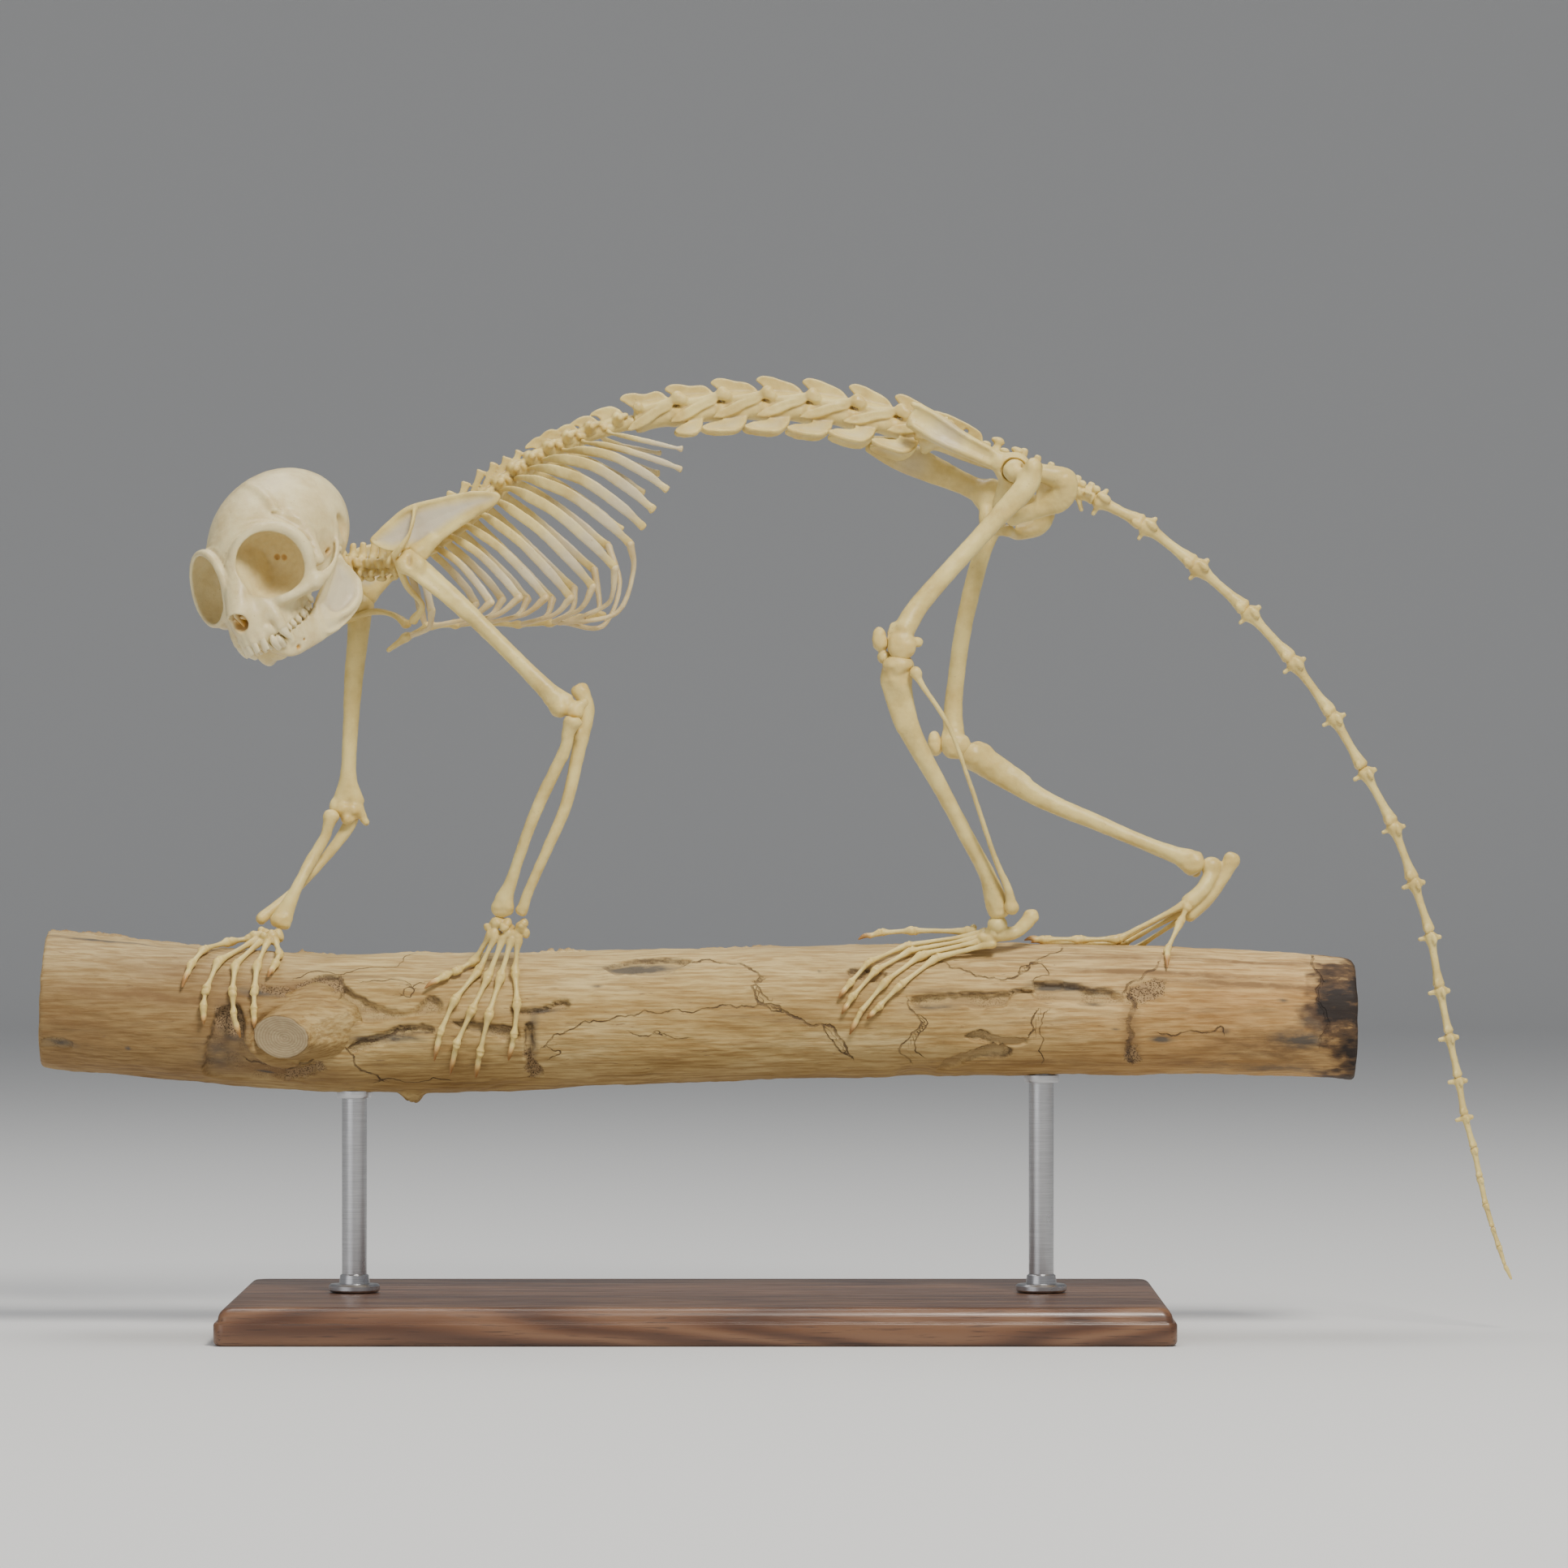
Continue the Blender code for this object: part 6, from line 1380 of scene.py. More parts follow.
tail = {
    "baseX": (100.4, 127.2), "cell": 0.36,
    "joints": ((127.5, 3, 266.5), (142.5, 2, 258.5), (159, 1, 245.5), (175.5, 0, 231),
        (190, 0, 215), (203, 0, 197.5), (213, 0, 180), (222.5, 0, 162.5), (229, 0, 144.5),
        (234.5, 0, 127.5), (237.5, 0, 110), (240.5, 0, 95), (243.5, 0, 81), (245.5, 0, 69),
        (248.5, 0, 58.5), (250.5, 0, 49), (252.3, 0, 40.5), (254.5, 0, 33), (256.5, 0, 27),
        (258.5, 0, 21), (260.5, 0, 16.5)),
    "lengths": ((0, 3), (3, 6), (6, 9), (9, 12), (12, 16), (16, 20)),
    "cells": (0.36, 0.34, 0.32, 0.28, 0.24, 0.18), "lastSpine": 14,
    # half widths of the ends and of the shafts at some of the joints
    "at": (0, 4, 9, 14, 20), "flare": (3.3, 2.8, 2.2, 1.3, 0.75),
    "shaft": (1.75, 1.45, 1.2, 0.9, 0.6),
}


def makeTail():
    # Six short bones with prongs at the root, then long spools that thin out to the tip
    field = makeField((97, -13, 256), (132, 17, 289), tail["cell"])
    edges = np.linspace(*tail["baseX"], 7)
    for i in range(6):
        at, axes = spineFrame(edges[i] + 2.2)
        aside, back = axes[1:]
        spool(field, spineAt(edges[i]), spineAt(edges[i + 1]), 2.6, 2.4, aside, 0.85, 0.2)
        rod(field, ((*at(0, 0, 1), 0.9, 1.7), (*at(0, 0, 6.4 - 0.5 * i), 0.7, 1.2)), side=aside,
            blend=0.9)
        for s in (-1, 1):
            rod(field, ((*at(0, 0, 0), 0.8, 1.6), (*at(0, s * (6.4 - 0.3 * i), 0), 0.6, 1.3)),
                side=back, blend=0.9)
            blob(field, at(2, s * 2.2, 2.6), (1.4, 0.9, 1.2), axes, blend=0.5)
        tint(field, spineAt(edges[i]), 2.4, 0.5)
    at, _ = spineFrame(122)
    rod(field, ((*at(0, 0, -1), 1.0), (*at(3, 0, -5), 0.7)), blend=0.6)
    bonePiece("tail1", field, ("tail_1",))
    joints = np.array(tail["joints"], float)
    for n, (first, last) in enumerate(tail["lengths"]):
        part = joints[first:last + 1]
        field = makeField(part.min(axis=0) - 8, part.max(axis=0) + 8, tail["cells"][n])
        for i in range(first, last):
            a, b = joints[i], joints[i + 1]
            length, along = np.linalg.norm(b - a), unit(b - a)
            back = np.array((-along[2], 0, along[0]))
            flare, shaft = (np.interp(i, tail["at"], tail[key]) for key in ("flare", "shaft"))
            if i == len(joints) - 2:
                rod(field, ((*(a + along * 0.2), flare * 0.8), (*(a + along * 0.2 * length),
                    flare * 0.9), (*(a + along * 0.5 * length), shaft), (*b, 0.4)), blend=0.2,
                    spacing=0.8)
                continue
            rod(field, ((*(a + along * 0.25), flare * 0.78), *((*(a + along * t * length),
                size) for t, size in ((0.06, flare * 0.97), (0.13, flare * 0.92),
                (0.30, shaft * 1.08), (0.65, shaft), (0.86, flare * 0.74), (0.95, flare * 0.86))),
                (*(b - along * 0.25), flare * 0.74)), blend=0.2, cap=0.3, spacing=1.0)
            near = a + along * 0.1 * length
            axes = (along, (0, 1, 0), back)
            for s in (-1, 1):
                blob(field, near + along * 0.6 + back * flare * 0.4 + (0, s * flare * 0.85, 0),
                    (flare * 0.75, flare * 0.36, flare * 0.4), axes, blend=0.4)
                blob(field, b - along * (0.3 + flare * 0.4) - back * flare * 0.3
                    + (0, s * flare * 0.7, 0), (flare * 0.6, flare * 0.34, flare * 0.4), axes,
                    blend=0.4)
            if i < tail["lastSpine"]:
                rod(field, ((*near, flare * 0.5, 1.2), (*(near + back * (flare + 0.7) + along
                    * 0.3), 0.6, 0.8)), blend=0.7)
                rod(field, ((*near, flare * 0.5, 1.0), (*(near - back * (flare + 1.3)), 0.7,
                    0.7)), blend=0.5)
            tint(field, a, flare * 1.2, 0.6)
            tint(field, b, flare * 1.1, 0.6)
        bonePiece(f"tail{n + 2}", field, (f"tail_{n + 2}",))


makeNeck()
makeThoracicSpine()
makeRibs("ribsLeft", -1)
makeRibs("ribsRight", 1)
makeSternum()
makeCartilages()
makeScapula("scapulaLeft", -1)
makeScapula("scapulaRight", 1)
makeArms()
makeHands()
makeLumbar()
makeSacrum()
makeHip("left", -1)
makeHip("right", 1)
makeLegs()
makeFeet()
makeTail()
print("bones ready")


# Log: a skin in length and turn round the middle line, dented and raised by what is listed
# here. Places are x and height as seen from the front, laid round the log before use.
logLine = smoothPath([(x, z, r, 1, 1) for x, z, r in logRings], 3)[:, :3]
turnNear = np.linspace(-0.25, math.pi + 0.2, int(118 / coarse))
turnFar = np.linspace(math.pi + 0.2, 2 * math.pi - 0.25, int(32 / coarse) + 2)[1:-1]
logForm = {
    "ends": (-209.8, 209.9), "step": 0.72, "seed": 5,
    # half width in mm and the corners of each crack
    "cracks": (
        (0.22, ((-119.5, 106.7), (-115.5, 103.8), (-117.3, 99.8), (-120.7, 95.9),
            (-119.5, 91.9))),
        (0.16, ((-118.4, 107), (-116.6, 102.4), (-118.8, 98), (-118, 95))),
        (0.13, ((-127.5, 113), (-118.4, 114.7), (-110.4, 114.7), (-102.4, 116.4), (-95.6, 117),
            (-87.6, 121))),
        (0.12, ((-106.4, 111.8), (-94.4, 112.4), (-89.8, 109.5), (-91, 107.2), (-93.9, 107.8),
            (-93.3, 109.5), (-87.6, 111.8))),
        (0.26, ((-143.5, 86.2), (-136.6, 84.4), (-129.8, 85), (-121.8, 88.4))),
        (0.42, ((-110.4, 90.7), (-104.7, 93), (-97.8, 94.7), (-92.1, 97), (-85.3, 97))),
        (0.2, ((-111.5, 90.7), (-108.1, 85), (-102.4, 82.7), (-100.1, 80.4))),
        (0.14, ((-103, 80), (-97, 81.2), (-91, 80), (-84, 81.5), (-79, 80.6))),
        (0.16, ((-48.8, 91.3), (-45.4, 95.3), (-38.5, 97.6), (-32.8, 99.8), (-22.6, 101),
            (-11.1, 102.1), (2, 103.6), (10.3, 104.8), (20.8, 104.8), (27, 102.4))),
        (0.30, ((20.8, 104.8), (30.1, 101.3), (39.5, 98.4), (43, 97.8), (46.5, 93.2),
            (49.4, 87.9))),
        (0.18, ((40.1, 97.8), (41.8, 94.3), (45.3, 90.2), (47.1, 89.1))),
        (0.14, ((-48.2, 91.3), (-43.1, 89.6), (-46.5, 87.9))),
        (0.14, ((-20.9, 95.8), (-13.5, 95.3), (-7.7, 94.1), (-3.2, 94.1))),
        (0.10, ((-14.6, 95.3), (-12.3, 96.4), (-11, 94.8))),
        (0.26, ((20.8, 104.8), (17.3, 110.1), (20.2, 113.6), (16.1, 116.5), (9.1, 117.7),
            (2.1, 118.9), (-4.9, 117.7))),
        (0.2, ((22.5, 106.6), (20.2, 108.9), (18, 111.5), (21, 112.6))),
        (0.22, ((75.7, 118.9), (80.3, 116.5), (88.5, 113.6), (100.2, 113), (103.7, 114.8),
            (110.7, 120), (116.5, 122.4))),
        (0.12, ((101.9, 114.2), (103.1, 117.1), (110.1, 117.7), (111.9, 114.2), (107.2, 113))),
        (0.2, ((66.9, 106), (69.8, 101.3), (71.6, 99), (67.5, 94.3), (64, 90.8), (66.3, 88.5),
            (68.1, 86.2))),
        (0.14, ((71, 101.3), (73.3, 99), (69.8, 94.3), (69.2, 90.2), (71.6, 88.5))),
        (0.18, ((107.8, 102.5), (106, 99), (107.2, 96.7), (105.4, 94.9))),
        (0.12, ((110.7, 102.5), (108.9, 97.8), (110.1, 93.2), (108.4, 89.7), (110.1, 86.2))),
        (0.62, ((137, 107.8), (139.3, 104.3), (137.5, 100.2), (138.1, 95.5), (137, 90.8),
            (138.4, 86.5))),
        (0.22, ((135.8, 108.9), (137, 111.3), (142.2, 114.2), (146.9, 117.7))),
        (0.2, ((147, 95.6), (156, 96.2), (166.8, 97.8), (167.3, 96.1))),
        (0.3, ((196.5, 120), (199, 112), (197, 106), (201, 99), (198, 92))),
    ),
    # depth, how soft the lower side is, and the corners of each worm-eaten hollow
    "hollows": (
        (1.5, 3.0, ((-112.7, 110.7), (-104.7, 106.7), (-96.7, 103.8), (-90.5, 103.5),
            (-86.5, 107.2), (-83.1, 108), (-80.8, 105.5), (-80.8, 102.1), (-85.3, 101),
            (-94.4, 99.3), (-104.7, 97.6), (-110.4, 101), (-113.8, 104))),
        (1.0, 0.8, ((-137.8, 110.7), (-128.7, 109.5), (-119.5, 113.5), (-113.3, 113),
            (-112.1, 109), (-116.1, 108.7), (-123, 109), (-129.8, 107.2), (-137.8, 109))),
        (1.6, 1.2, ((-152, 103.8), (-145.8, 104.4), (-143.5, 99), (-143.5, 93), (-138, 87),
            (-130, 84.6), (-122, 86.6), (-121, 83), (-131, 80.4), (-146, 80), (-157, 82),
            (-156, 92))),
        (1.0, 1.2, ((-110.4, 92.5), (-104, 95), (-97.8, 96.5), (-96, 97.8), (-91, 98.6),
            (-84, 98), (-84, 95.6), (-92, 95), (-99, 92), (-106, 89.5), (-110.5, 88.4))),
        (1.2, 0.7, ((-78.5, 99.3), (-73.9, 99.8), (-64.8, 98.7), (-57.4, 97.6), (-57, 93.6),
            (-61, 93), (-66, 95), (-74, 97))),
        (1.3, 0.9, ((-60.2, 104.4), (-51.1, 103.8), (-43.1, 106.1), (-40.6, 105.6), (-41, 103.2),
            (-45.4, 102.7), (-52.3, 101), (-57, 101))),
        (1.4, 0.3, ((-54.6, 98.7), (-52.4, 98.6), (-51.6, 93), (-52.4, 87.5), (-49.4, 84),
            (-49.3, 81.4), (-53.2, 81.6), (-54.4, 86), (-54.8, 92))),
        (0.9, 0.9, ((-209.6, 93.4), (-204.6, 94.2), (-199, 92.6), (-199.4, 90.4), (-204.6, 90.4),
            (-209.6, 90.8))),
        (0.8, 0.8, ((-30.6, 116.4), (-24.9, 118.1), (-15.8, 119.2), (-2.1, 118.7), (-6.6, 115.8),
            (-12.3, 113.5), (-20.3, 114.1), (-27.1, 114.1))),
        (1.0, 1.0, ((46.5, 115.4), (52.3, 116.5), (59.3, 115.4), (60.5, 113), (55.8, 111.6),
            (50, 113.2))),
        (1.5, 1.8, ((66.9, 106), (69.8, 107.8), (76.8, 108.3), (86.2, 108.9), (95.5, 108.6),
            (104.9, 110.1), (107.2, 108.9), (100.2, 107.8), (99, 104.3), (96.7, 103.7),
            (88.5, 102.5), (83.8, 103.7), (76.8, 102.5), (69.8, 103.1))),
        (1.5, 3.0, ((106.5, 112.6), (112, 112.4), (118.9, 111.9), (124.7, 110.1), (130.6, 110.1),
            (136, 107), (136, 104.4), (129, 103.4), (120, 104.6), (112, 105.4), (107, 106))),
        (1.3, 0.8, ((85, 94.3), (87.3, 96.1), (92, 96.3), (94.4, 94.9), (100.2, 94.3),
            (104.9, 93.7), (104.3, 92), (97.9, 91.4), (88.5, 93.2))),
        (1.4, 2.0, ((75.7, 83.8), (79.2, 87.3), (87.3, 90.2), (94.4, 92), (100.2, 90.2),
            (97.9, 87.9), (88.5, 87.3), (81.5, 83.8), (76.8, 82.7))),
    ),
    # corners of the rough, speckled patches
    "rough": (
        ((-137.8, 110.7), (-128.7, 109.5), (-119.5, 113.5), (-113.3, 113), (-112.1, 109),
            (-123, 108.6), (-129.8, 107), (-137.8, 108.6)),
        ((-152.6, 104), (-145.8, 104.6), (-143.6, 99), (-144, 94.6), (-148, 95), (-153, 97)),
        ((135.8, 108.9), (139.9, 110.7), (145.7, 112.4), (148.7, 111.3), (148.1, 107.8),
            (142.2, 106), (137.5, 105.4)),
        ((-131, 83), (-124, 86), (-120, 87.4), (-118, 85), (-124, 82), (-131, 80.6)),
        ((136.4, 92), (139, 92), (141.2, 87.6), (139, 86.2), (136.4, 87.4)),
        ((-55.2, 90), (-52.6, 90), (-49.4, 83.6), (-50, 81), (-53.6, 81.4)),
    ),
    # x, height, half sizes and strength of soft brown stains, then of grey ones
    "brown": ((-175, 107.5, 36, 3, 0.5), (-165, 115, 24, 4, 0.35), (-197, 100, 20, 12, 0.25),
        (-150, 92, 10, 14, 0.5), (-135, 83, 26, 5, 0.6), (-126, 110, 14, 4, 0.45),
        (-60, 102, 16, 3, 0.3), (138, 96, 2.6, 11, 0.55), (150, 114.6, 34, 1.1, 0.75),
        (176, 111.2, 30, 1.0, 0.8), (168, 118.6, 36, 1.2, 0.6), (130, 119.5, 22, 0.8, 0.5),
        (118, 86, 24, 3.0, 0.35), (96, 105, 22, 3, 0.25), (184, 91, 22, 9, 0.55),
        (165, 86, 26, 4, 0.4), (62, 90, 14, 8, 0.1), (142, 109, 6, 4, 0.5), (53, 114, 8, 2, 0.4),
    ),
    "grey": ((-141, 108.6, 7, 1.6, 0.6), (-148, 97, 5, 8, 0.4), (-152, 88, 7, 8, 0.4),
        (-17, 116.6, 11, 1.9, 1.0), (-28, 116, 3, 1.2, 0.3), (-100, 94, 12, 1.3, 0.7),
        (-52, 94, 1.6, 10, 0.5), (-65, 96.5, 8, 1.4, 0.4), (-48, 103, 8, 0.9, 0.5),
        (115, 111, 10, 1.2, 0.8), (129, 109, 6, 1.0, 0.55), (75, 104, 6, 1.2, 0.6),
        (125, 105, 4, 0.6, 0.7), (148, 93.7, 3.2, 1.0, 0.8), (186, 106, 1.6, 0.6, 0.7),
        (200, 100, 7, 4.5, 0.9), (192, 94, 9, 3, 0.7), (203, 112, 5, 8, 0.55),
        (-204, 92, 6, 1.4, 0.5), (-138, 81.6, 2.4, 0.7, 1.0), (-181, 90.8, 0.7, 0.5, 1.0),
        (38.9, 115.3, 0.7, 0.5, 0.8), (-190, 124.6, 18, 1.0, 0.7), (186, 84, 18, 3, 0.4),
        (-32, 110.6, 2, 0.5, 0.6), (133, 97, 1.6, 0.4, 0.6), (168, 96.6, 1.6, 1, 0.5),
    ),
}


def turnAt(x, z):
    # How far round the front, from the top, a place seen at height z lies, in mm of bark
    x = np.asarray(x, float)
    height = np.interp(x, logLine[:, 0], logLine[:, 1])
    radius = np.interp(x, logLine[:, 0], logLine[:, 2])
    return np.stack((x, radius * np.arccos(np.clip((z - height) / radius, -0.999, 0.999))),
        axis=-1)


def latticeNoise(u, v, seed):
    # Random numbers on a lattice, blended smoothly between its points, from -1 to 1
    lattice = np.random.default_rng(seed).uniform(-1, 1, (97, 61))
    i, j = np.floor(u).astype(int), np.floor(v).astype(int)
    fu, fv = u - i, v - j
    fu, fv = fu * fu * (3 - 2 * fu), fv * fv * (3 - 2 * fv)

    def at(a, b):
        return lattice[(i + a) % 97, (j + b) % 61]
    return ((at(0, 0) * (1 - fu) + at(1, 0) * fu) * (1 - fv) + (at(0, 1) * (1 - fu) + at(1, 1)
        * fu) * fv)


def jagged(line, rng, rough=0.16):
    # Every stretch is halved twice and its middle pushed aside by a random share of its length
    line = np.asarray(line, float)
    for _ in range(3):
        a, b = line[:-1], line[1:]
        aside = (b - a)[:, ::-1] * (1, -1)
        middle = (a + b) / 2 + aside * rng.uniform(-rough, rough, (len(a), 1))
        out = np.empty((2 * len(line) - 1, 2))
        out[::2], out[1::2] = line, middle
        line = out
    return line


def lineDistance(u, v, line):
    # Distance to a broken line, positive on its one side and negative on the other
    best, sign = np.full(u.shape, 1e6), np.ones(u.shape)
    for (ax, ay), (bx, by) in zip(line[:-1], line[1:]):
        ex, ey = bx - ax, by - ay
        t = np.clip(((u - ax) * ex + (v - ay) * ey) / (ex * ex + ey * ey + 1e-9), 0, 1)
        d = (u - ax - t * ex) ** 2 + (v - ay - t * ey) ** 2
        near = d < best
        best[near] = d[near]
        sign[near] = np.sign(ex * (v - ay) - ey * (u - ax))[near]
    return np.sqrt(best) * sign


def woodMaterial():
    # Weathered stripped wood: fibres stretched along x, tan tones that change along the log, a
    # right end lightened partly as painted light, a painted highlight across the top, thin cracks
    # where the crack distance is small, brown hollows darkened by painted shade with painted shadow
    # under their upper edges, and a charred end
    m = Finish("logWood")
    broad = m.noise(1, 5, 0.55, (16, 60, 60))
    m.colour = m.ramp(broad, (0.28, (0.33, 0.205, 0.072)), (0.5, (0.50, 0.35, 0.137)), (0.74,
        (0.68, 0.525, 0.25)))
    # along x a warmer, lighter right end, partly the wood's own tone and partly painted light, and
    # a darker left end; along z a painted highlight, lighter across the top of the log
    for axis, ends, share, tone in (("X", (0.06, 0.17), 0.5, (0.60, 0.33, 0.12)), ("X",
            (-0.105, -0.16), 0.75, (0.27, 0.165, 0.066)), ("Z", (0.108, 0.121), 0.42,
            (0.70, 0.56, 0.29))):
        along = m.node("SeparateXYZ", {"Vector": m.where}, axis)
        m.paint(m.shift(along, *ends, 0, share), tone)
    fibres = m.noise(1, 6, 0.62, (70, 1000, 1000))
    m.paint(m.shift(fibres, 0.40, 0.62, 0.0, 0.6), (0.42, 0.29, 0.14), "MULTIPLY")
    m.paint(m.shift(m.noise(1, 4, 0.6, (24, 420, 420)), 0.58, 0.70, 0, 0.6), (0.23, 0.15, 0.07))
    m.paint(m.shift(m.noise(1, 3, 0.6, (160, 900, 900)), 0.67, 0.72, 0, 0.6), (0.17, 0.10, 0.055))
    uneven = m.shift(m.noise(1, 5, 0.65, (110, 330, 330)), 0.3, 0.7, 0.35, 1.35)
    # painted shade: the floors of the hollows darker
    m.paint(m.shift(m.named("hollowed"), 0.25, 0.9, 0, 0.42), (0.36, 0.26, 0.13))
    # brown and grey are stains; the lip tone is painted shadow under the upper edges of the
    # hollows, and the dark rim round the stub's sawn face
    for name, ends, tone in (("brown", (0.12, 0.75, 0, 0.9), (0.21, 0.12, 0.05)), ("grey",
            (0.12, 0.75, 0, 0.9), (0.085, 0.075, 0.062)), ("lip", (0.3, 0.9, 0, 0.85),
            (0.10, 0.065, 0.035))):
        m.paint(m.shift(m.times(m.named(name), uneven), *ends), tone)
    rough = m.named("rough")
    pits = m.times(m.shift(m.dots(2000), 0.2, 0.45, 1, 0), rough)
    m.paint(m.shift(rough, 0.2, 0.8, 0, 0.6), (0.34, 0.225, 0.115))
    m.paint(m.times(pits, 0.85), (0.09, 0.055, 0.03))
    wobble = m.shift(m.noise(900, 3), 0.3, 0.7, -0.9, 0.9)
    away = m.work("ABSOLUTE", m.work("ADD", m.named("crack"), wobble))
    fade = m.shift(m.noise(240, 2), 0.35, 0.6, 0.35, 1)
    line = m.times(m.times(m.shift(away, 0.7, 1.6, 1, 0), fade), m.named("crackNear"))
    m.paint(m.times(line, 0.9), (0.085, 0.05, 0.028))
    rings = m.work("SINE", m.times(m.named("ring"), 6.5))
    rings = m.mixed(m.shift(rings, -1, 1), (0.36, 0.27, 0.145), (0.47, 0.365, 0.205))
    rings = m.mixed(m.shift(fibres, 0.4, 0.65, 0, 0.35), rings, (0.3, 0.2, 0.11))
    m.paint(m.named("endGrain"), rings)
    burnt = m.times(m.named("char"), uneven)
    m.paint(m.shift(burnt, 0.08, 0.45, 0, 0.9), (0.10, 0.055, 0.028))
    m.paint(m.shift(burnt, 0.35, 0.85, 0, 0.95), (0.022, 0.017, 0.015))
    m.bump(fibres, 0.35, 0.0005)
    m.bump(m.noise(1, 4, 0.6, (60, 260, 260)), 0.4, 0.0012)
    m.bump(m.times(pits, -1.0), 0.8, 0.0008)
    m.bump(m.times(line, -1.0), 0.9, 0.0007)
    return m.done(m.shift(broad, 0.3, 0.7, 0.66, 0.86), {"Specular IOR Level": 0.28})


wood = woodMaterial()


def loftFaces(rings, sides):
    # Quads of a tube that closes round, with a fan to a first and a last point
    i, j = np.meshgrid(np.arange(rings - 1), np.arange(sides), indexing="ij")
    k = (j + 1) % sides
    quads = np.stack((i * sides + j, i * sides + k, (i + 1) * sides + k, (i + 1) * sides + j),
        axis=-1).reshape(-1, 4)
    j = np.arange(sides)
    first, last = rings * sides, rings * sides + 1
    fans = np.vstack((np.stack((np.full(sides, first), (j + 1) % sides, j), axis=1),
        np.stack((np.full(sides, last), (rings - 1) * sides + j,
        (rings - 1) * sides + (j + 1) % sides), axis=1)))
    return [quads, fans]


def loftPiece(name, rings, ends, values, material, nodes):
    # A tube through the rings, closed at its two ends; a value is written for every point
    rows, sides = rings.shape[:2]
    piece = meshPiece(name, np.vstack((rings.reshape(-1, 3), ends)), loftFaces(rows, sides))
    for key, array in values.items():
        array = np.broadcast_to(array, (rows, sides)).ravel()
        values[key] = np.append(array, (array[0], array[-1]))
    return dress(piece, values, material, nodes, 2 * rows * sides)


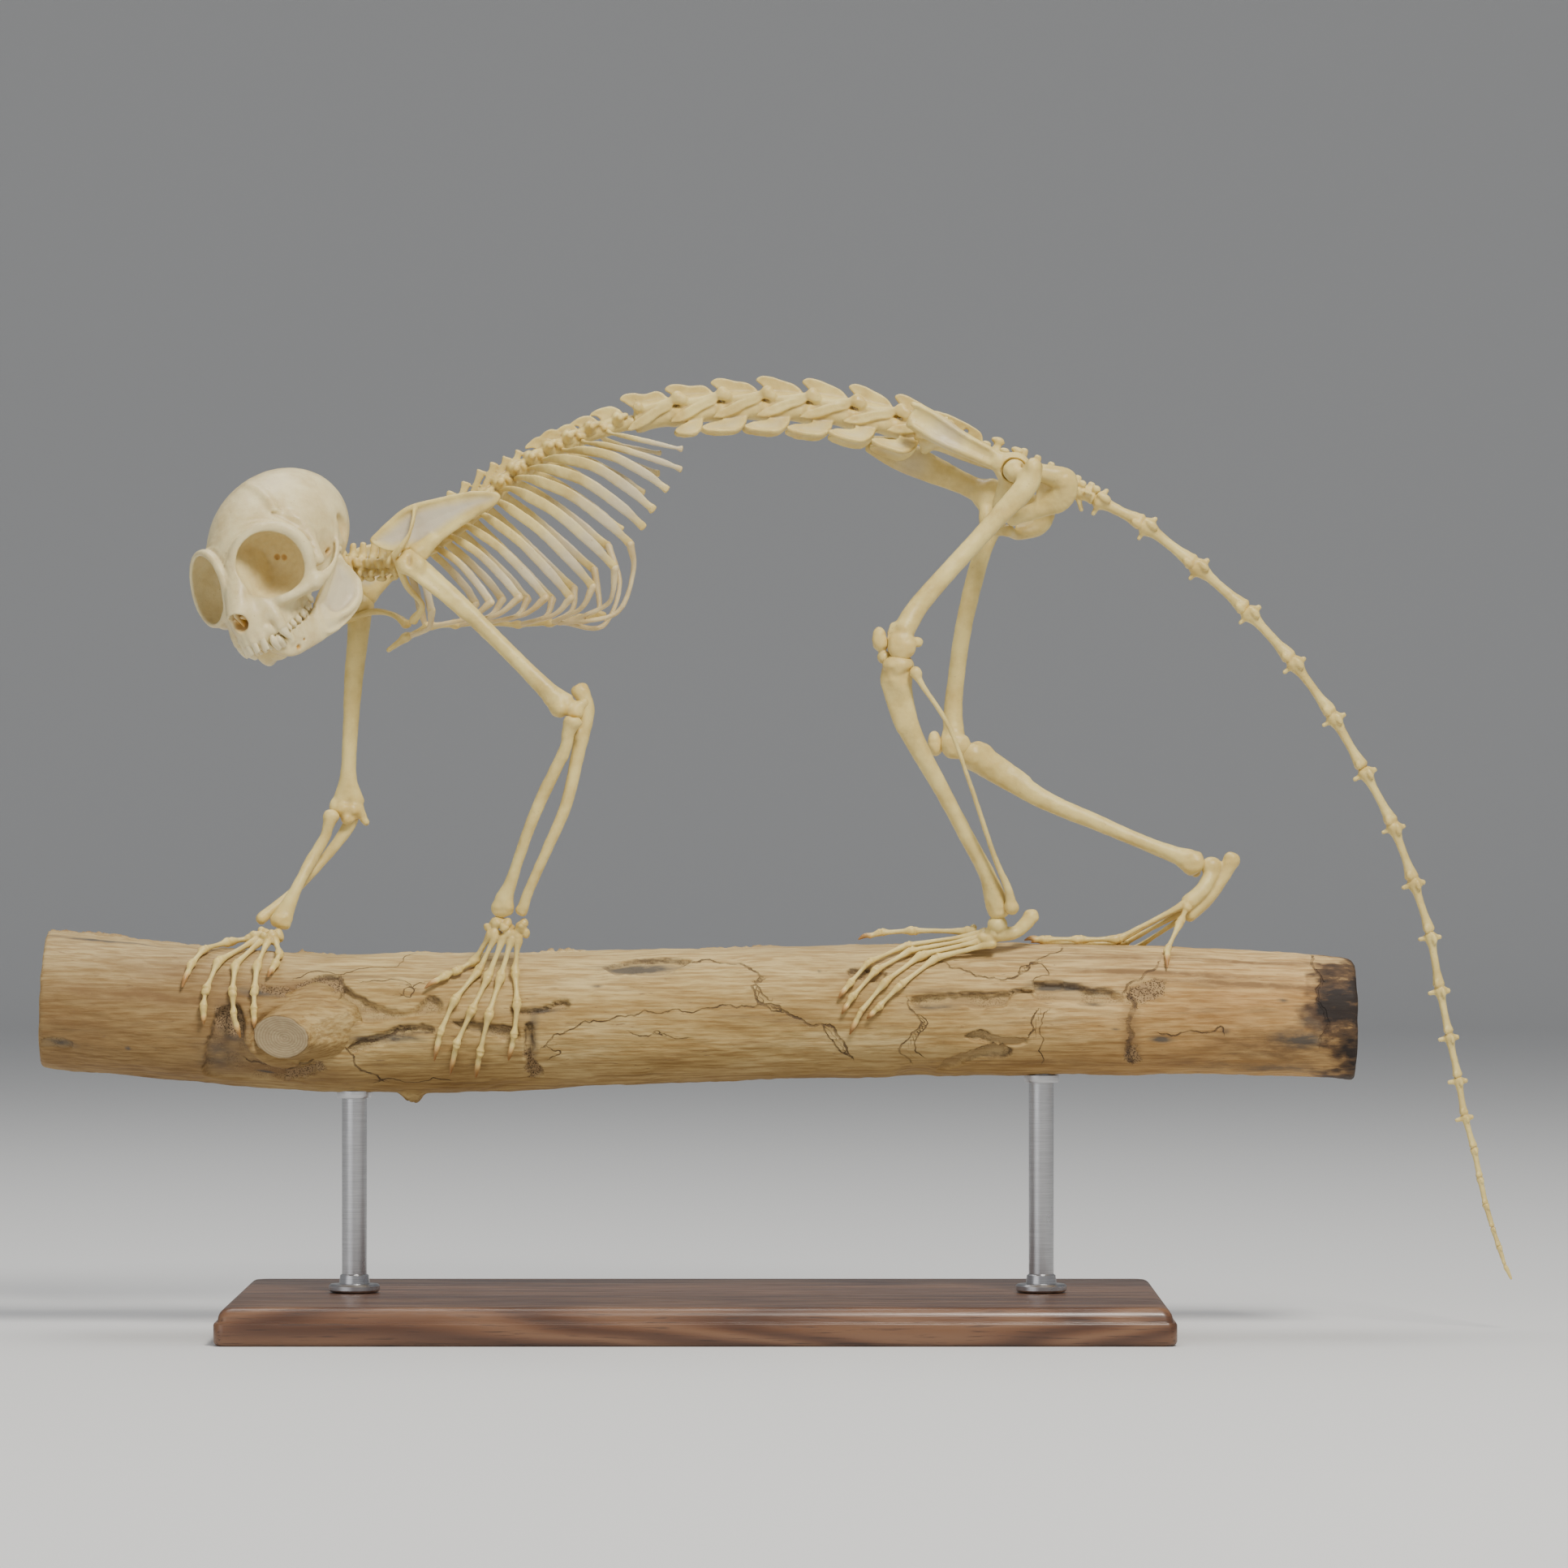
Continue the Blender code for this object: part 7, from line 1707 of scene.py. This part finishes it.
def makeLog():
    # Radius over length and turn: the plain round plus dents, waves, bark and swellings
    rng = np.random.default_rng(logForm["seed"])
    left, right = logForm["ends"]
    xs = np.linspace(left, right, int((right - left) / (logForm["step"] * coarse)))
    turn = np.concatenate((turnNear, turnFar))
    height, radius = (np.interp(xs, logLine[:, 0], logLine[:, k])[:, None] for k in (1, 2))
    u = np.broadcast_to(xs[:, None], (len(xs), len(turn)))
    v = radius * turn
    zero = np.zeros(u.shape)

    def rowsNear(line):
        # Rows of the skin within 3 mm of a line or an outline
        return (xs > line[:, 0].min() - 3) & (xs < line[:, 0].max() + 3)

    def noise(stepU, stepV, seed, across=v, shift=0):
        return latticeNoise(u * stepU, across * stepV + shift, seed)

    crack, closest, near = zero + 9.0, zero + 9.0, zero + 0
    for width, corners in logForm["cracks"]:
        line = jagged(turnAt(*np.transpose(corners)), rng)
        rows = rowsNear(line)
        d = lineDistance(u[rows], v[rows], line)
        better = np.abs(d) < closest[rows]
        closest[rows] = np.where(better, np.abs(d), closest[rows])
        crack[rows] = np.where(better, np.clip(d / width, -9, 9), crack[rows])
        near[rows] = np.where(better, np.exp(-(d / 1.3) ** 2), near[rows])
    hollowed, lip, dent, rough, bark = (zero + 0 for _ in range(5))
    for depth, soft, corners in logForm["hollows"]:
        loop = turnAt(*np.transpose(corners))
        loop = smoothPath([(*p, 0, 0, 0) for p in np.vstack((loop, loop[:1]))], 1.0)[:-1, :2]
        rows = rowsNear(loop)
        edge = outlineDistance(u[rows], v[rows], loop)
        edge = edge + 0.35 * latticeNoise(u[rows] * 0.7, v[rows] * 0.7, 9)
        lower = np.clip((v[rows] - loop[:, 1].min()) / np.ptp(loop[:, 1]), 0, 1)
        width = 0.35 + soft * lower
        share = np.clip(-edge / width, 0, 1)
        share = share * share * (3 - 2 * share)
        hollowed[rows] = np.maximum(hollowed[rows], share)
        dent[rows] = np.minimum(dent[rows], -1.75 * depth * share * (1 - 0.45 * lower))
        # painted shadow: a dark line along the upper edge of each hollow and shade just inside
        # under it, fading towards the softer lower side
        lip[rows] = np.maximum(lip[rows], np.exp(-((edge + 0.35) / 0.7) ** 2) * (1.1 - lower))
        lip[rows] = np.maximum(lip[rows], 0.7 * share * np.exp(edge / 1.6) * (1 - lower))
    for corners in logForm["rough"]:
        loop = turnAt(*np.transpose(corners))
        rows = rowsNear(loop)
        edge = outlineDistance(u[rows], v[rows], loop) + 0.8 * latticeNoise(u[rows] * 0.6,
            v[rows] * 0.6, 4)
        rough[rows] = np.maximum(rough[rows], np.clip(0.5 - edge / 1.2, 0, 1))
    rough = np.maximum(rough, 0.3 * hollowed * np.clip(0.6 + noise(0.25, 0.25, 17), 0, 1))
    dent -= 0.45 * rough * (0.6 + 0.4 * noise(1.3, 1.3, 6))

    def spot(x, z, sizeX, sizeZ):
        # Squared distance from a place on the front over the half sizes
        return ((u - x) / sizeX) ** 2 + ((v - turnAt(x, z)[1]) / sizeZ) ** 2

    patchy = 0.8 * (1 + 0.35 * latticeNoise(u * 0.12 + 3, v * 0.5, 8))

    def stain(key):
        return np.max([strength * np.exp(-spot(*place) * patchy)
            for *place, strength in logForm[key]], axis=0)

    front = np.clip((np.sin(turn) + 0.15) * 4, 0, 1)
    # long waves, fine ripples, ragged bark on the top edge and the swelling by the stub
    wave = 0.45 * noise(0.035, 2.2, 1, turn, 5) + 0.28 * noise(0.1, 5, 2, turn)
    wave += 0.14 * noise(0.35, 14, 3, turn)
    for x, sizeX, at, sizeV, high in ((-196, 16, -1.5, 3.2, 0.9), (-165, 16, -2, 3, 0.5),
            (-44, 9, -1.5, 2.0, 1.1), (-126, 2.4, -1, 1.5, 1.2), (-118, 8, -2, 1.6, 0.6),
            (-90, 6, -3, 2, 0.5), (9, 10, -1, 2, 0.5), (22, 6, -1.5, 2, 0.6),
            (60, 14, -4, 3, 0.4)):
        bark += high * np.exp(-((u - x) / sizeX) ** 4 - ((v - at) / sizeV) ** 4)
    bark *= np.clip(0.55 + 0.9 * noise(0.9, 0.9, 11), 0, 1.3)
    rise = 2.4 * np.exp(-spot(-117.5, 101.5, 8.5, 7.5)) + 2.2 * np.exp(-spot(-124.5, 97, 5.5, 6.0))
    around = np.sqrt(spot(-131.2, 94.6, 11.5, 9.6))
    rise += 1.7 * np.exp(-((around - 1) / 0.17) ** 2) * (1 + 0.3 * noise(0.3, 0.3, 18))
    notch = -1.4 * np.exp(-((u - 69.5) / 5.5) ** 4 - ((turn - math.pi + 0.28) / 0.24) ** 2)
    knob = np.exp(-((u + 91.5) / 3.6) ** 4 - ((turn - math.pi + 0.06) / 0.16) ** 4)
    knob *= 3.1 * (0.8 + 0.35 * noise(1.1, 22, 12, turn))
    full = radius + dent * front + wave + bark + rise + notch + knob
    corner = np.minimum(u - left, right - u)
    full -= 0.5 * np.exp(-corner / 0.35) + 1.6 * np.exp(-(right - u)
        / 2.2) * np.exp(-(turn / 0.9) ** 2)
    slant = 1.9 * (0.5 + 0.5 * np.cos(turn)) * np.exp(-(u - left) / 12)
    skinRings = np.stack((u + slant, -full * np.sin(turn), height + full * np.cos(turn)), axis=-1)
    charred = np.clip((u - 196.5 + 6.0 * noise(0.13, 0.15, 14) + 3.0 * noise(0.5, 0.55, 15) + 5.5
        * np.exp(-((v - turnAt(200, 104)[1]) / 6) ** 2)) / 13, 0, 1)
    values = {"crack": crack, "crackNear": near * front, "hollowed": hollowed, "lip": lip * front,
        "rough": rough, "brown": np.clip(1.35 * stain("brown") + 0.7 * np.clip(bark, 0, 1), 0, 1),
        "grey": np.clip(1.3 * stain("grey"), 0, 1), "char": charred, "ring": zero, "endGrain": zero}
    # sawn ends: shrinking rings that carry the distance from the heart
    shares = np.array((0.97, 0.86, 0.74, 0.62, 0.5, 0.38, 0.26, 0.14, 0.05))
    ends = []
    for row, push in ((0, -0.25), (-1, 0.25)):
        edge = skinRings[row]
        middle = edge.mean(axis=0) + (0, -2.0, 1.5)
        flat = middle + (edge - middle) * shares[:, None, None]
        flat[..., 0] += push * (0.4 + latticeNoise(flat[..., 1] * 0.3, flat[..., 2] * 0.3, 16))
        away = np.linalg.norm(flat - middle, axis=-1)
        ends.append((flat, middle + (push, 0, 0), away))
    (flatA, poleA, awayA), (flatB, poleB, awayB) = ends
    rings = np.concatenate((flatA[::-1], skinRings, flatB))
    blank = np.zeros((len(shares), len(turn)))
    faceValues = {"ring": (awayA[::-1], awayB), "endGrain": (blank + 1, blank + 1),
        "char": (blank + charred[0], blank + 0.85), "grey": (blank + values["grey"][0],
        blank + values["grey"][-1])}
    for key, array in values.items():
        before, after = faceValues.get(key, (blank, blank))
        values[key] = np.concatenate((before, array, after))
    loftPiece("log", rings, (poleA, poleB), values, wood, ("log",))


def makeStub():
    # Broken side branch: oval rings from inside the log out to a sawn face with growth rings
    foot, face = np.array((-124.0, -12, 98.5)), np.array((-131.9, -27.2, 94.6))
    way = unit(face - foot)
    wide = unit((0.93, -0.30, 0.06) - np.array((0.93, -0.30, 0.06)) @ way * way)
    high = np.cross(wide, way)
    sides = int(96 / coarse)
    angle = 2 * math.pi * np.arange(sides) / sides
    cosine, sine = np.cos(angle), np.sin(angle)
    rows = []
    for t, a, b in ((0.0, 20, 14), (0.25, 17.5, 12.5), (0.45, 14.8, 10.8), (0.62, 12.6, 9.2),
            (0.76, 11.2, 8.1), (0.87, 10.5, 7.5), (0.95, 10.3, 7.2), (0.99, 10.1, 6.9),
            (1.0, 9.7, 6.65), (1.0, 9.2, 6.2), (0.995, 8.0, 5.3), (0.99, 6.6, 4.4),
            (0.985, 5.2, 3.5), (0.985, 3.9, 2.6), (0.985, 2.6, 1.75), (0.98, 1.3, 0.9),
            (0.975, 0.4, 0.3)):
        rough = 1 + 0.05 * latticeNoise(4 + 1.5 * cosine, 5 + 1.5 * sine + t * 2, 21)
        rough += 0.03 * latticeNoise(9 + 5 * cosine, 9 + 5 * sine, 22)
        place = foot + (face - foot) * t
        rows.append(place + (wide * (a * rough * cosine)[:, None]
                             + high * (b * rough * sine)[:, None]))
    rings = np.array(rows)
    count = len(rows)
    heart = face + wide * 1.2 + high * 0.3
    away = np.linalg.norm((rings - heart) @ np.stack((wide / 1.45, high), axis=1), axis=-1)
    sawn = np.zeros((count, sides))
    sawn[8:] = 1
    # a dark band round the rim of the sawn face
    lip = np.zeros((count, sides))
    lip[7:10] = 0.75
    values = {"ring": away * 1.35, "endGrain": sawn, "lip": lip, "crack": 9.0,
        "grey": np.where(sawn > 0, 0.0, 0.12), "brown": 0.3 * np.exp(-away ** 2), "crackNear": 0,
        "hollowed": 0, "rough": 0, "char": 0}
    loftPiece("stub", rings, (foot, face - way * 0.5), values, wood, ())


makeLog()
makeStub()


# Stand: a dark board with a moulded edge and two brushed rods with collars
stand = {"size": (300, 150, 12), "rods": (-110, 110), "rod": 4.0}


def boardMaterial():
    # Dark oiled wood: growth bands bent by noise, fine pores along the grain
    m = Finish("baseWood")
    bands = m.work("SINE", m.times(m.noise(1, 3, 0.5, (3.0, 26, 26)), 70))
    m.colour = m.ramp(m.shift(bands, -1, 1), (0.0, (0.085, 0.036, 0.018)), (0.6,
        (0.145, 0.066, 0.032)), (1.0, (0.19, 0.095, 0.048)))
    pores = m.noise(1, 4, 0.6, (60, 1400, 1400))
    m.paint(m.shift(pores, 0.56, 0.66, 0, 0.7), (0.035, 0.015, 0.008))
    m.bump(m.times(pores, -1.0), 0.3, 0.0003)
    return m.done(m.shift(pores, 0.4, 0.65, 0.30, 0.48),
        {"Coat Weight": 0.25, "Coat Roughness": 0.25})


def steelMaterial():
    # Brushed steel: fine rings round the rod in the bump and in the roughness
    m = Finish("steel")
    brushed = m.noise(1, 4, 0.7, (90, 90, 5200))
    m.colour = m.ramp(brushed, (0.3, (0.42, 0.42, 0.43)), (0.7, (0.62, 0.62, 0.63)))
    m.bump(brushed, 0.25, 0.00012)
    return m.done(m.shift(m.noise(45, 3), 0.3, 0.7, 0.24, 0.40), {"Metallic": 1.0})


def standPiece(name, rings, ends, material, cad):
    # A loft whose edges are sharp past 35 degrees
    piece = loftPiece(name, rings, ends, {}, material, (cad,))
    piece.data.set_sharp_from_angle(angle=math.radians(35))


def makeStand():
    # Rings of the board are rounded rectangles up its moulding, rings of the rods circles
    long, wide, high = stand["size"]
    arc = np.linspace(0, math.pi / 2, 7)
    rings = []
    for z, inset, corner in ([(0, 1.2, 3.0), (0.6, 0.4, 3.2), (1.4, 0.0, 3.4), (6.6, 0.0, 3.4),
            (7.2, 0.3, 3.3), (7.4, 1.1, 3.0), (7.9, 1.3, 3.0)] + [(7.9 + 4.1 * math.sin(a),
            1.3 + 3.6 * (1 - math.cos(a)), 3.0) for a in arc[1:]] + [(12.0, 7.5, 2.0),
            (12.0, 25, 1.0), (12.0, 60, 0.5)]):
        ring = []
        for sx, sy, start in ((1, 1, 0), (-1, 1, 1), (-1, -1, 2), (1, -1, 3)):
            centre = (sx * (long / 2 - inset - corner), sy * (wide / 2 - inset - corner))
            ring += [(centre[0] + corner * math.cos(a + start * math.pi / 2),
                centre[1] + corner * math.sin(a + start * math.pi / 2),
                min(z, high)) for a in arc]
        rings.append(ring)
    standPiece("standBase", np.array(rings, float), ((0, 0, 0), (0, 0, high)), boardMaterial(),
        "stand_base")
    steel = steelMaterial()
    angle = 2 * math.pi * np.arange(48) / 48
    for name, cad, x in zip(("rodFront", "rodRear"), ("stand_rod_front", "stand_rod_rear"),
                            stand["rods"]):
        middle, radius = logAt(x)
        under = middle - radius
        r = stand["rod"]
        profile = ((12.3, 2.0), (12.3, 7.6), (12.9, 8.2), (14.2, 8.2), (14.8, 7.6), (15.0, 4.9),
            (17.6, 4.6), (18.0, r), (40, r), (60, r), (under - 2.2, r), (under - 2.0, 5.4),
            (under - 1.0, 5.6), (under + 0.2, 5.6), (under + 0.4, r), (under + 11.2, r),
            (under + 11.7, r - 0.4))
        rings = np.array([[(x + q * math.cos(a), q * math.sin(a), z) for a in angle] for z,
            q in profile])
        standPiece(name, rings, ((x, 0, profile[0][0]), (x, 0, profile[-1][0])), steel, cad)


makeStand()
print("log and stand ready")


# Camera, floor and light: the camera looks straight along +y at the animal's middle plane
view = {"place": (0.0276, -2.5, 0.1749), "frame": 0.5023, "sensor": 36}
camera = bpy.data.objects.new("camera", bpy.data.cameras.new("camera"))
camera.data.sensor_width = view["sensor"]
camera.data.lens = view["sensor"] * -view["place"][1] / view["frame"]
camera.location = view["place"]
camera.rotation_euler = (math.radians(90), 0, 0)
camera.data.clip_end = 20
bpy.context.scene.collection.objects.link(camera)
bpy.context.scene.camera = camera


stage = {"front": -7.0, "flat": 3.1, "bend": 1.3, "top": 4.5, "side": 7.0,     # metres
         "tone": (0.68, 0.68, 0.67, 1), "air": (0.9, 0.93, 1.0, 1), "airShare": 0.28}
lights = {             # place, what it looks at, size, power and tone
    "key": ((0.5, -1.1, 1.5), (0, 0, 0.16), 0.5, 36, (1.0, 0.965, 0.90)),
    "fill": ((-1.3, -1.5, 0.5), (0, 0, 0.15), 1.4, 8, (0.97, 0.98, 1.0)),
    "top": ((-0.25, 0.5, 1.7), (0, 0, 0.1), 0.9, 14, (1, 1, 1)),
}


def makeStage():
    # Floor that sweeps up into a backdrop: a flat stretch, a quarter circle and a wall
    t = np.linspace(0, math.pi / 2, 24)
    bend, flat = stage["bend"], stage["flat"]
    curve = np.stack((flat + bend * np.sin(t), bend - bend * np.cos(t)), axis=1)
    profile = np.vstack((((stage["front"], 0.0), (flat, 0.0)), curve, ((flat + bend,
        stage["top"]),)))
    xs = np.linspace(-stage["side"], stage["side"], 3)
    grid = np.array([[(x, y, z) for y, z in profile] for x in xs])
    rows, cols = grid.shape[:2]
    i, j = np.meshgrid(np.arange(rows - 1), np.arange(cols - 1), indexing="ij")
    corner = (i * cols + j).ravel()
    faces = np.stack((corner, corner + cols, corner + cols + 1, corner + 1), axis=1)
    floor = meshPiece("backdrop", grid.reshape(-1, 3) / mm, faces)
    floor.data.materials.append(Finish("backdrop").done(0.9, {"Base Color": stage["tone"]}))


def makeLight(name, place, target, size, power, tone):
    # A soft square lamp at its place, turned to its target
    lamp = bpy.data.objects.new(name, bpy.data.lights.new(name, "AREA"))
    lamp.data.size, lamp.data.energy, lamp.data.color = size, power, tone
    lamp.location = place
    lamp.rotation_euler = (Vector(target) - Vector(place)).to_track_quat("-Z", "Y").to_euler()
    bpy.context.scene.collection.objects.link(lamp)


makeStage()
for name, form in lights.items():
    makeLight(name, *form)
world = bpy.data.worlds.new("studio")
world.use_nodes = True
air = world.node_tree.nodes["Background"].inputs
air["Color"].default_value, air["Strength"].default_value = stage["air"], stage["airShare"]
bpy.context.scene.world = world

print("triangles in all", report["triangles"])
